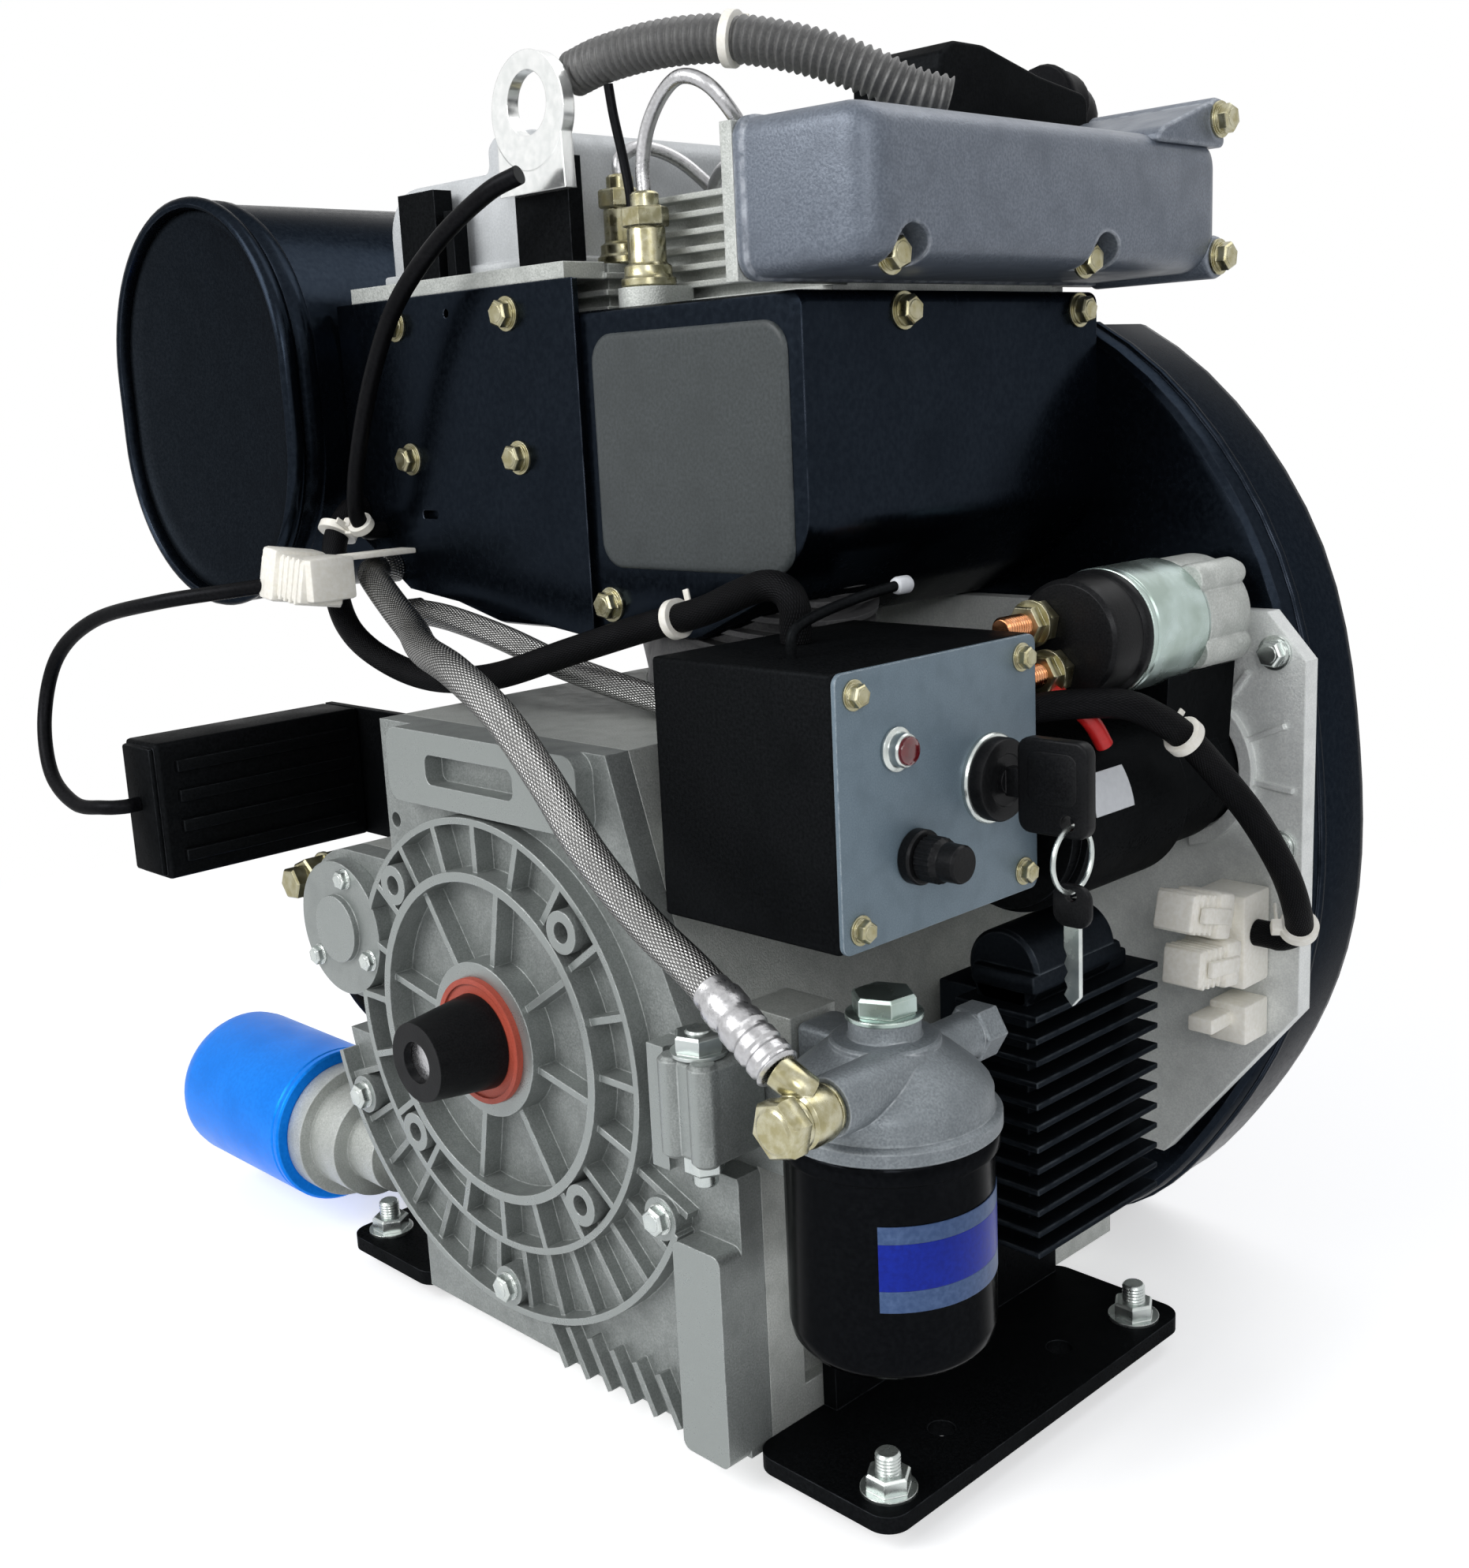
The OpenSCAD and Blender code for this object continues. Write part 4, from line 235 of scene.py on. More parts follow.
class Paintbox:
    """Makes each finish's material once."""

    BROAD = 14
    BLOTCH, BLOTCH_TONE = 0.45, 0.8
    PITS, PIT_DEPTH = 0.7, 0.35
    LACQUER_ROUGH = 0.12
    CUT_FROM, CUT_TO = 0.0045, 0.0035
    CUT_BRIGHT, CUT_SMOOTH = 1.35, 0.14

    def __init__(self) -> None:
        """Starts empty."""
        self.made: dict[str, Material] = {}

    def get(self, finish: Finish) -> Material:
        """Returns the material of a finish, made on first use."""
        if finish.name not in self.made:
            self.made[finish.name] = self.make(finish)
        return self.made[finish.name]

    def make(self, finish: Finish) -> Material:
        """Builds the node material of a finish.

        Args:
            finish: what the surface is like.

        Returns:
            The new material.
        """
        s = Shader(finish.name)
        fine, broad = s.noise(finish.grain), s.noise(finish.grain / self.BROAD, 2.0)
        colour = s.mix(s.span(fine, 0.35, 0.68), finish.base, finish.tint)
        darker = tuple(c * self.BLOTCH_TONE for c in finish.base)
        colour = s.mix(s.math("MULTIPLY", s.span(broad, 0.45, 0.75), self.BLOTCH), colour, darker)
        height: Value = fine
        rough = s.span(s.math("ADD", fine, broad), 0.75, 1.3, *finish.rough)
        normal, edge = s.edges(finish.soft)
        if finish.surface in (Surface.CAST, Surface.MACHINED):
            pits = s.span(s.cells(finish.grain * self.PITS), 0.0, 0.35)
            height = s.math("ADD", fine, s.math("MULTIPLY", pits, self.PIT_DEPTH))
        if finish.surface is Surface.MACHINED:
            colour, rough = self.machine(s, colour, rough, finish)
        if finish.surface in (Surface.BRAID, Surface.SLEEVE):
            height = self.weave(s, *finish.weave)
            dark = tuple(c * finish.gaps for c in finish.base)
            colour = s.mix(s.span(height, 0.02, 0.5), dark, colour)
        # Edge colour: rubbed edges on most finishes; a painted highlight on the grey cover and the cowl's
        # raised panel, and partly on the gloss black coat.
        elif finish.wear_and_highlight_colour:
            wear_and_highlight_mask = s.math("MULTIPLY", edge, s.span(s.noise(finish.grain / 5), 0.3, 0.62), clamp=True)
            colour = s.mix(s.math("MULTIPLY", wear_and_highlight_mask, finish.wear_and_highlight_share), colour, finish.wear_and_highlight_colour)
        looks = {"Base Color": colour, "Roughness": rough, "Metallic": finish.metal,
                 "Specular IOR Level": finish.specular, "Specular Tint": (finish.edge,) * 3,
                 "Coat Weight": finish.coat, "Coat Roughness": self.LACQUER_ROUGH,
                 "Normal": s.bump(height, finish.bump, normal)}
        for name, value in looks.items():
            s.feed(s.bsdf.inputs[name], value)
        return s.material

    def machine(self, s: Shader, colour: Value, rough: Value, finish: Finish) -> tuple[Value, Value]:
        """Brightens the faces of a casting that were cut flat: those that look along -Y near the drive face.

        Args:
            s: the shader in work.
            colour: the colour so far.
            rough: the roughness so far.
            finish: what the surface is like.

        Returns:
            The new colour and roughness.
        """
        normal = s.add("ShaderNodeNewGeometry").outputs["Normal"]
        facing = s.add("ShaderNodeSeparateXYZ", {0: normal}).outputs[1]
        place = s.add("ShaderNodeSeparateXYZ", {0: s.place}).outputs[1]
        near = s.span(place, self.CUT_FROM, self.CUT_TO)
        flat = s.math("MULTIPLY", s.span(facing, -0.9, -0.98), near, clamp=True)
        bright = tuple(min(1.0, c * self.CUT_BRIGHT) for c in finish.base)
        smoother = s.math("MULTIPLY", flat, self.CUT_SMOOTH)
        return s.mix(flat, colour, bright), s.math("SUBTRACT", rough, smoother)

    def weave(self, s: Shader, strands: float, pitch: float) -> Socket:
        """Draws wires that cross round a hose, from the attribute that the hose carries.

        Args:
            s: the shader in work.
            strands: bundles round the hose.
            pitch: length of one crossing along it, in metres.

        Returns:
            The height of the wires.
        """
        carried = s.add("ShaderNodeAttribute", attribute_name="weave").outputs["Vector"]
        x, y, along = s.add("ShaderNodeSeparateXYZ", {0: carried}).outputs
        turn = s.math("MULTIPLY", s.math("ARCTAN2", y, x), strands / 2)
        step = s.math("MULTIPLY", along, math.pi / pitch)
        left = s.math("ABSOLUTE", s.math("SINE", s.math("ADD", turn, step)))
        right = s.math("ABSOLUTE", s.math("SINE", s.math("SUBTRACT", turn, step)))
        return s.math("MULTIPLY", left, right)


class Finishes:
    """Every finish of the engine."""

    CAST = Finish(
        "cast_alloy", "cast_silver", (0.390, 0.408, 0.385), (0.550, 0.570, 0.545), (0.42, 0.6), 0.5, 1300,
        0.00016, (0.74, 0.76, 0.74), 0.5, 0.0010, surface=Surface.CAST)
    GEAR_COVER = Finish(
        "gear_cover_alloy", "cast_silver", (0.205, 0.222, 0.215), (0.305, 0.325, 0.315), (0.4, 0.58), 0.55,
        1300, 0.00014, (0.66, 0.69, 0.68), 0.6, 0.0008, surface=Surface.MACHINED)
    STEEL = Finish(
        "machined_steel", "machined_steel", (0.45, 0.45, 0.46), (0.55, 0.55, 0.56), (0.25, 0.4), 0.95, 700)
    SEAL = Finish("seal_rubber", "seal_red", (0.38, 0.055, 0.03), (0.46, 0.085, 0.05), (0.5, 0.65), 0, 1500)
    # A lighter copy of the cast alloy: the extra brightness is painted light that makes up for the plate
    # lying in shade.
    PAINTED_LIGHT_HOUSING = Finish(
        "flywheel_plate_alloy_painted_light", "cast_silver", (0.66, 0.68, 0.67), (0.80, 0.82, 0.80), (0.4, 0.55), 0.35,
        1300, 0.00016, (0.86, 0.88, 0.86), 0.5, 0.0010, surface=Surface.CAST)
    HEAD = Finish(
        "filter_head_alloy", "cast_silver", (0.150, 0.170, 0.185), (0.235, 0.260, 0.275), (0.4, 0.56), 0.5,
        1100, 0.00014, (0.62, 0.65, 0.67), 0.6, 0.0010, surface=Surface.CAST)
    # Bright zinc painted near white, much lighter than the plain bright zinc: painted glare on the lifting
    # eye.
    PAINTED_GLARE_EYE = Finish(
        "plated_eye_painted_glare", "zinc_bright", (0.82, 0.84, 0.83), (0.92, 0.93, 0.92), (0.16, 0.26), 0.9, 240,
        0.00003, (0.95, 0.95, 0.95), 0.5, 0.0008)
    IRON = Finish(
        "cylinder_iron", "cylinder_iron", (0.10, 0.10, 0.105), (0.15, 0.15, 0.15), (0.5, 0.7), 0.5, 900)
    GEAR = Finish("gear_iron", "gear_iron", (0.24, 0.24, 0.245), (0.32, 0.32, 0.32), (0.35, 0.5), 0.8, 900)
    # Its pale bluish edge colour, strong and wide, is a painted highlight along the cover's rounded edges.
    COVER = Finish(
        "cover_hammer_grey", "cover_grey", (0.092, 0.110, 0.140), (0.152, 0.176, 0.214), (0.34, 0.48), 0.3,
        1000, 0.00015, (0.70, 0.74, 0.80), 0.75, 0.0028)
    COVER_LIGHT = Finish(
        "cover_light_grey", "cover_light", (0.50, 0.52, 0.53), (0.60, 0.62, 0.63), (0.4, 0.52), 0.1, 1000,
        0.00012, (0.8, 0.8, 0.8), 0.3, 0.0012)
    YELLOW = Finish(
        "yellow_zinc", "zinc_yellow", (0.33, 0.30, 0.165), (0.50, 0.48, 0.35), (0.22, 0.36), 0.95, 240,
        0.00004, (0.74, 0.72, 0.58), 0.5, 0.0005)
    # Its bluish edge colour is partly rubbed edges and partly a painted highlight, such as the light line
    # along the scroll's seam.
    GLOSS = Finish(
        "gloss_black_coat", "gloss_black", (0.0088, 0.0122, 0.0180), (0.0125, 0.0170, 0.0240), (0.2, 0.3),
        0.9, 420, 0.00002, (0.11, 0.13, 0.17), 0.6, 0.0009, 0.1, edge=0.45)
    # The cowl's black coat painted lighter grey as a painted reflection, with a painted highlight as its edge
    # colour.
    SHEEN = Finish(
        "painted_sheen_black_coat", "gloss_black", (0.034, 0.040, 0.041), (0.052, 0.060, 0.062), (0.36, 0.5), 0, 700,
        0.00004, (0.24, 0.27, 0.28), 0.7, 0.0016, 0.3)
    CAN = Finish(
        "canister_black", "gloss_black", (0.0034, 0.0038, 0.0046), (0.0052, 0.0058, 0.0068), (0.14, 0.22),
        0.9, 500, 0.00002, (0.10, 0.11, 0.12), 0.5, 0.0009, 0.08, edge=0.5)
    LID = Finish(
        "dull_black_coat", "gloss_black", (0.0095, 0.0122, 0.0158), (0.0145, 0.0178, 0.0225), (0.36, 0.48),
        0.85, 700, 0.00004, (0.12, 0.14, 0.16), 0.6, 0.0012, 0.05, edge=0.42)
    SATIN = Finish(
        "satin_black_coat", "satin_black", (0.0048, 0.0054, 0.0060), (0.0085, 0.0094, 0.0104), (0.42, 0.58),
        0.7, 800, 0.00006, (0.06, 0.065, 0.072), 0.6, 0.0007, 0.05, edge=0.45)
    PANEL = Finish(
        "panel_blue_grey", "panel_grey", (0.115, 0.162, 0.200), (0.148, 0.202, 0.240), (0.42, 0.5), 0.2,
        1600, 0.00002, (0.58, 0.64, 0.68), 0.9, 0.0007)
    LAMP = Finish(
        "lamp_red_glass", "lamp_red", (0.10, 0.004, 0.008), (0.16, 0.008, 0.012), (0.08, 0.14), 0, 300,
        0.00001, specular=0.6, coat=0.6)
    PLASTIC = Finish(
        "black_plastic", "black_plastic", (0.0085, 0.0088, 0.0096), (0.0145, 0.0150, 0.0160), (0.3, 0.42),
        0.4, 1200, 0.00004, (0.07, 0.07, 0.072), 0.4, 0.0006, 0.2, edge=0.5)
    ZINC = Finish(
        "bright_zinc", "zinc_bright", (0.50, 0.54, 0.53), (0.62, 0.66, 0.63), (0.2, 0.34), 0.95, 160,
        0.00003, (0.85, 0.86, 0.85), 0.5, 0.0006)
    GREEN_ZINC = Finish(
        "green_zinc", "zinc_bright", (0.34, 0.42, 0.38), (0.50, 0.60, 0.58), (0.2, 0.34), 0.95, 60, 0.00003,
        (0.8, 0.85, 0.8), 0.5, 0.0006)
    COPPER = Finish(
        "bright_copper", "copper", (0.60, 0.25, 0.11), (0.68, 0.34, 0.18), (0.2, 0.32), 1.0, 300, 0.00003)
    BLUE = Finish(
        "filter_blue_paint", "filter_blue", (0.004, 0.21, 0.84), (0.008, 0.25, 0.92), (0.32, 0.44), 0.55,
        500, 0.00004, (0.10, 0.42, 0.90), 0.4, 0.001, 0.05)
    BRAID = Finish(
        "steel_braid", "braid_steel", (0.34, 0.34, 0.335), (0.48, 0.48, 0.47), (0.2, 0.3), 1.0, 900,
        0.00032, edge=0.6, gaps=0.2, surface=Surface.BRAID, weave=(30.0, 0.0032))
    SLEEVE = Finish(
        "black_sleeve", "cable_black", (0.0060, 0.0062, 0.0070), (0.0110, 0.0112, 0.0125), (0.4, 0.55), 0.6,
        900, 0.00018, specular=0.1, edge=0.5, gaps=0.4, surface=Surface.SLEEVE, weave=(34.0, 0.0026))
    RUBBER = Finish(
        "black_rubber", "cable_black", (0.0048, 0.0050, 0.0060), (0.0085, 0.0088, 0.0098), (0.36, 0.5), 0.6,
        700, 0.00005, specular=0.12, edge=0.5)
    CONDUIT = Finish(
        "grey_conduit", "conduit_grey", (0.085, 0.085, 0.085), (0.125, 0.125, 0.12), (0.38, 0.5), 0, 900,
        0.00004)
    WHITE = Finish(
        "white_nylon", "plug_white", (0.84, 0.81, 0.72), (0.92, 0.90, 0.83), (0.36, 0.46), 0, 500, 0.00005)
    RED = Finish(
        "red_insulation", "lamp_red", (0.55, 0.012, 0.012), (0.62, 0.02, 0.02), (0.35, 0.45), 0, 500,
        0.00004)
    LABEL = Finish(
        "bare_label", "plug_white", (0.60, 0.62, 0.64), (0.66, 0.68, 0.70), (0.35, 0.45), 0, 400, 0.00001)
    BAND = Finish(
        "blue_band", "filter_blue", (0.003, 0.014, 0.24), (0.005, 0.022, 0.32), (0.3, 0.42), 0, 500,
        0.00002, specular=0.15)
    STRIPE = Finish(
        "pale_band", "filter_blue", (0.045, 0.085, 0.19), (0.075, 0.125, 0.25), (0.3, 0.42), 0, 500,
        0.00002, specular=0.15)
    YELLOW_PLASTIC = Finish(
        "yellow_plastic", "dip_yellow", (0.62, 0.42, 0.03), (0.7, 0.5, 0.05), (0.4, 0.5), 0, 500)


def smooth_path(points: Sequence[Point], per: int = 8) -> list[Vector]:
    """Draws a Catmull-Rom line through points.

    Args:
        points: the points that the line goes through.
        per: steps between two points.

    Returns:
        Points along the line, the ends included.
    """
    p = [Vector(q) for q in points]
    p = [p[0] * 2 - p[1]] + p + [p[-1] * 2 - p[-2]]
    out = []
    for a, b, c, d in zip(p, p[1:], p[2:], p[3:]):
        for k in range(per):
            t = k / per
            out.append(b + (c - a) * (t / 2) + (a - b * 2.5 + c * 2 - d / 2) * t ** 2
                       + (d - a + (b - c) * 3) * (t ** 3 / 2))
    return out + [p[-2]]


def fillet(corners: Sequence[Point], radii: Union[float, Sequence[float]], steps: int = 5) -> list[Point]:
    """Rounds the corners of a closed outline.

    Args:
        corners: the outline's corners.
        radii: one radius, or one for each corner.
        steps: straight pieces in each rounded corner.

    Returns:
        The new outline.
    """
    out: list[Point] = []
    count = len(corners)
    for i, corner in enumerate(corners):
        radius = radii if isinstance(radii, (int, float)) else radii[i]
        at = Vector(corner)
        back, ahead = Vector(corners[i - 1]) - at, Vector(corners[(i + 1) % count]) - at
        half = back.angle(ahead) / 2
        reach = min(radius / math.tan(half), back.length * 0.49, ahead.length * 0.49)
        if reach < 1e-6:
            out.append(tuple(corner))
            continue
        radius = reach * math.tan(half)
        back.normalize()
        ahead.normalize()
        centre = at + (back + ahead).normalized() * (radius / math.sin(half))
        first, last = at + back * reach - centre, at + ahead * reach - centre
        start = math.atan2(first.y, first.x)
        turn = (math.atan2(last.y, last.x) - start + math.pi) % TAU - math.pi
        for k in range(steps + 1):
            a = start + turn * k / steps
            out.append((centre.x + radius * math.cos(a), centre.y + radius * math.sin(a)))
    return out


def rectangle(u0: float, v0: float, u1: float, v1: float, radius: float = 0.0, steps: int = 5) -> list[Point]:
    """Returns the outline of a rectangle with rounded corners."""
    return fillet([(u0, v0), (u1, v0), (u1, v1), (u0, v1)], max(radius, 1e-3), steps)


def polar(radius: float, degrees: float, u: float = 0.0, v: float = 0.0) -> Point:
    """Returns the point at a radius and an angle round a centre."""
    a = math.radians(degrees)
    return u + radius * math.cos(a), v + radius * math.sin(a)


def disc(u: float, v: float, radius: float, sides: int = 48, turn: float = 0.0) -> list[Point]:
    """Returns the outline of a circle or a regular polygon."""
    return [(u + radius * math.cos(TAU * i / sides + turn), v + radius * math.sin(TAU * i / sides + turn))
            for i in range(sides)]


class Shape:
    """Collects the faces of one piece, in millimetres."""

    def __init__(self) -> None:
        """Starts with no faces."""
        self.bm = bmesh.new()

    def loft(self, rings: Sequence[Sequence[Point]], bevel: float = 0.0, steps: int = 2,
             closed: bool = False) -> "Shape":
        """Adds a skin through rings of equal count, with flat ends.

        Args:
            rings: the rings, each a list of points.
            bevel: how far its sharp edges are rounded.
            steps: segments in a rounded edge.
            closed: whether the last ring joins the first.

        Returns:
            This shape.
        """
        rows = [[self.bm.verts.new(p) for p in ring] for ring in rings]
        count = len(rows[0])
        faces = []
        for a, b in zip(rows, rows[1:] + (rows[:1] if closed else [])):
            for i in range(count):
                j = (i + 1) % count
                faces.append(self.bm.faces.new((a[i], a[j], b[j], b[i])))
        if not closed:
            faces += [self.bm.faces.new(rows[0]), self.bm.faces.new(rows[-1][::-1])]
        if bevel:
            bmesh.ops.recalc_face_normals(self.bm, faces=faces)
            edges = {e for f in faces for e in f.edges
                     if len(e.link_faces) == 2 and e.calc_face_angle(0) > SHARP}
            bmesh.ops.bevel(self.bm, geom=list(edges), offset=bevel, segments=steps, profile=0.5,
                            affect="EDGES", clamp_overlap=True)
        return self

    def prism(self, outline: Sequence[Point], plane: Plane, low: float, high: float, bevel: float = 0.0,
              steps: int = 2) -> "Shape":
        """Adds an outline drawn from low to high along its plane's third axis, and returns itself."""
        return self.loft([[plane.place(u, v, w) for u, v in outline] for w in (low, high)], bevel, steps)

    def block(self, low: Point, high: Point, bevel: float = 0.5, steps: int = 2) -> "Shape":
        """Adds a box between two corners with rounded edges, and returns this shape."""
        outline = [(low[0], low[1]), (high[0], low[1]), (high[0], high[1]), (low[0], high[1])]
        return self.prism(outline, Plane.Z, low[2], high[2], bevel, steps)

    def lathe(self, profile: Sequence[Point], plane: Plane, u: float, v: float, sides: int = 48,
              turn: float = 0.0, base: float = 0.0) -> "Shape":
        """Adds a turned form.

        Args:
            profile: radius and height pairs, from one end to the other.
            plane: the plane that its circles lie on.
            u: the axis's place on the plane's first axis.
            v: the axis's place on the second.
            sides: corners of each circle.
            turn: angle of the first corner.
            base: what the profile's heights are counted from.

        Returns:
            This shape.
        """
        return self.loft([[plane.place(a, b, h + base) for a, b in disc(u, v, max(r, 0.02), sides, turn)]
                          for r, h in profile])

    def stack(self, plane: Plane, u: float, v: float, rows: Iterable[tuple], base: float = 0.0) -> "Shape":
        """Adds turned forms on one axis.

        Args:
            plane: the plane that their circles lie on.
            u: the axis's place on the plane's first axis.
            v: the axis's place on the second.
            rows: for each form the corners of its circles, the angle of the first one, and its profile.
            base: what the heights are counted from.

        Returns:
            This shape.
        """
        for sides, turn, *profile in rows:
            self.lathe(profile, plane, u, v, sides, turn, base)
        return self

    def bent(self, section: Sequence[Point], plane: Plane, u: float, v: float, start: float, sweep: float,
             steps: int) -> "Shape":
        """Adds a plate that is bent round an axis.

        Args:
            section: radius and height of the corners of its section.
            plane: the plane that it is bent in.
            u: the axis's place on the plane's first axis.
            v: the axis's place on the second.
            start: angle of its first end, in degrees.
            sweep: how far it reaches from there, in degrees.
            steps: straight pieces in the bend.

        Returns:
            This shape.
        """
        return self.loft([[plane.place(*polar(r, start + sweep * k / steps, u, v), h) for r, h in section]
                          for k in range(steps + 1)])

    def tube(self, path: Sequence[Vector], radius: Union[float, Sequence[float]], sides: int = 12) -> "Shape":
        """Adds a round bar along a path, with one radius or one for each point, and returns itself."""
        side = Vector((0.48, 0.36, 0.8))
        rings = []
        for i, p in enumerate(path):
            ahead = (path[min(i + 1, len(path) - 1)] - path[max(i - 1, 0)]).normalized()
            side = (side - ahead * side.dot(ahead)).normalized()
            up = ahead.cross(side)
            r = radius if isinstance(radius, (int, float)) else radius[i]
            rings.append([p + (side * math.cos(a) + up * math.sin(a)) * r
                          for a in (TAU * k / sides for k in range(sides))])
        return self.loft(rings)

    def move(self, matrix: Matrix) -> "Shape":
        """Moves everything so far, and returns this shape."""
        self.bm.transform(matrix)
        return self

    def join(self, other: "Shape") -> "Shape":
        """Adds the faces of another shape, and returns this one."""
        faces = bpy.data.meshes.new("joined")
        other.bm.to_mesh(faces)
        self.bm.from_mesh(faces)
        bpy.data.meshes.remove(faces)
        return self

    def mesh(self, name: str, angle: float = SHARP) -> Mesh:
        """Makes the mesh, in metres.

        Args:
            name: the mesh's name.
            angle: edges that turn more than this stay sharp, in radians.

        Returns:
            The new mesh, with its faces pointing outwards.
        """
        bmesh.ops.recalc_face_normals(self.bm, faces=self.bm.faces)
        self.bm.transform(Matrix.Scale(MM, 4))
        out = bpy.data.meshes.new(name)
        self.bm.to_mesh(out)
        self.bm.free()
        out.shade_smooth()
        out.set_sharp_from_angle(angle=angle)
        return out


def put(name: str, data: bpy.types.ID) -> bpy.types.Object:
    """Puts a new object with that data into the scene, and returns it."""
    thing = bpy.data.objects.new(name, data)
    bpy.context.scene.collection.objects.link(thing)
    return thing


class Tree(Nodes):
    """A geometry node tree with named inputs, which makes a mesh out of another."""

    def __init__(self, name: str) -> None:
        """Starts a tree with a geometry input and output."""
        super().__init__(bpy.data.node_groups.new(name, "GeometryNodeTree"))
        self.tree.is_modifier = True
        for way in ("INPUT", "OUTPUT"):
            self.tree.interface.new_socket("Geometry", in_out=way, socket_type="NodeSocketGeometry")
        self.entry = self.add("NodeGroupInput")
        self.leave = self.add("NodeGroupOutput")
        self.stuff = self.named("Material", "NodeSocketMaterial")

    def named(self, name: str, kind: str = "NodeSocketFloat", start: Optional[Value] = None) -> Socket:
        """Adds a named input and returns its socket."""
        item = self.tree.interface.new_socket(name, in_out="INPUT", socket_type=kind)
        if start is not None:
            item.default_value = start
        return self.entry.outputs[name]

    def vector(self, x: Value = 0.0, y: Value = 0.0, z: Value = 0.0) -> Socket:
        """Returns a vector of three values."""
        return self.add("ShaderNodeCombineXYZ", {0: x, 1: y, 2: z}).outputs[0]

    def finish(self, geometry: Socket) -> None:
        """Ends the tree in Realize Instances and Set Material."""
        real = self.add("GeometryNodeRealizeInstances", {0: geometry}).outputs[0]
        done = self.add("GeometryNodeSetMaterial", {0: real, "Material": self.stuff}).outputs[0]
        self.feed(self.leave.inputs[0], done)

    def run(self, mesh: Mesh, name: str, values: dict, angle: float = SHARP) -> Mesh:
        """Runs the tree on a mesh.

        Args:
            mesh: the mesh that goes in.
            name: the name of the result.
            values: the named inputs' values.
            angle: edges that turn more than this stay sharp, in radians.

        Returns:
            The plain mesh that comes out.
        """
        holder = put(name + "_work", mesh)
        modifier = holder.modifiers.new("nodes", "NODES")
        modifier.node_group = self.tree
        sockets = {i.name: i.identifier for i in self.tree.interface.items_tree if i.in_out == "INPUT"}
        for key, value in values.items():
            modifier[sockets[key]] = value
        done = holder.evaluated_get(bpy.context.evaluated_depsgraph_get())
        out = bpy.data.meshes.new_from_object(done)
        bpy.data.objects.remove(holder)
        out.name = name
        out.shade_smooth()
        out.set_sharp_from_angle(angle=angle)
        return out


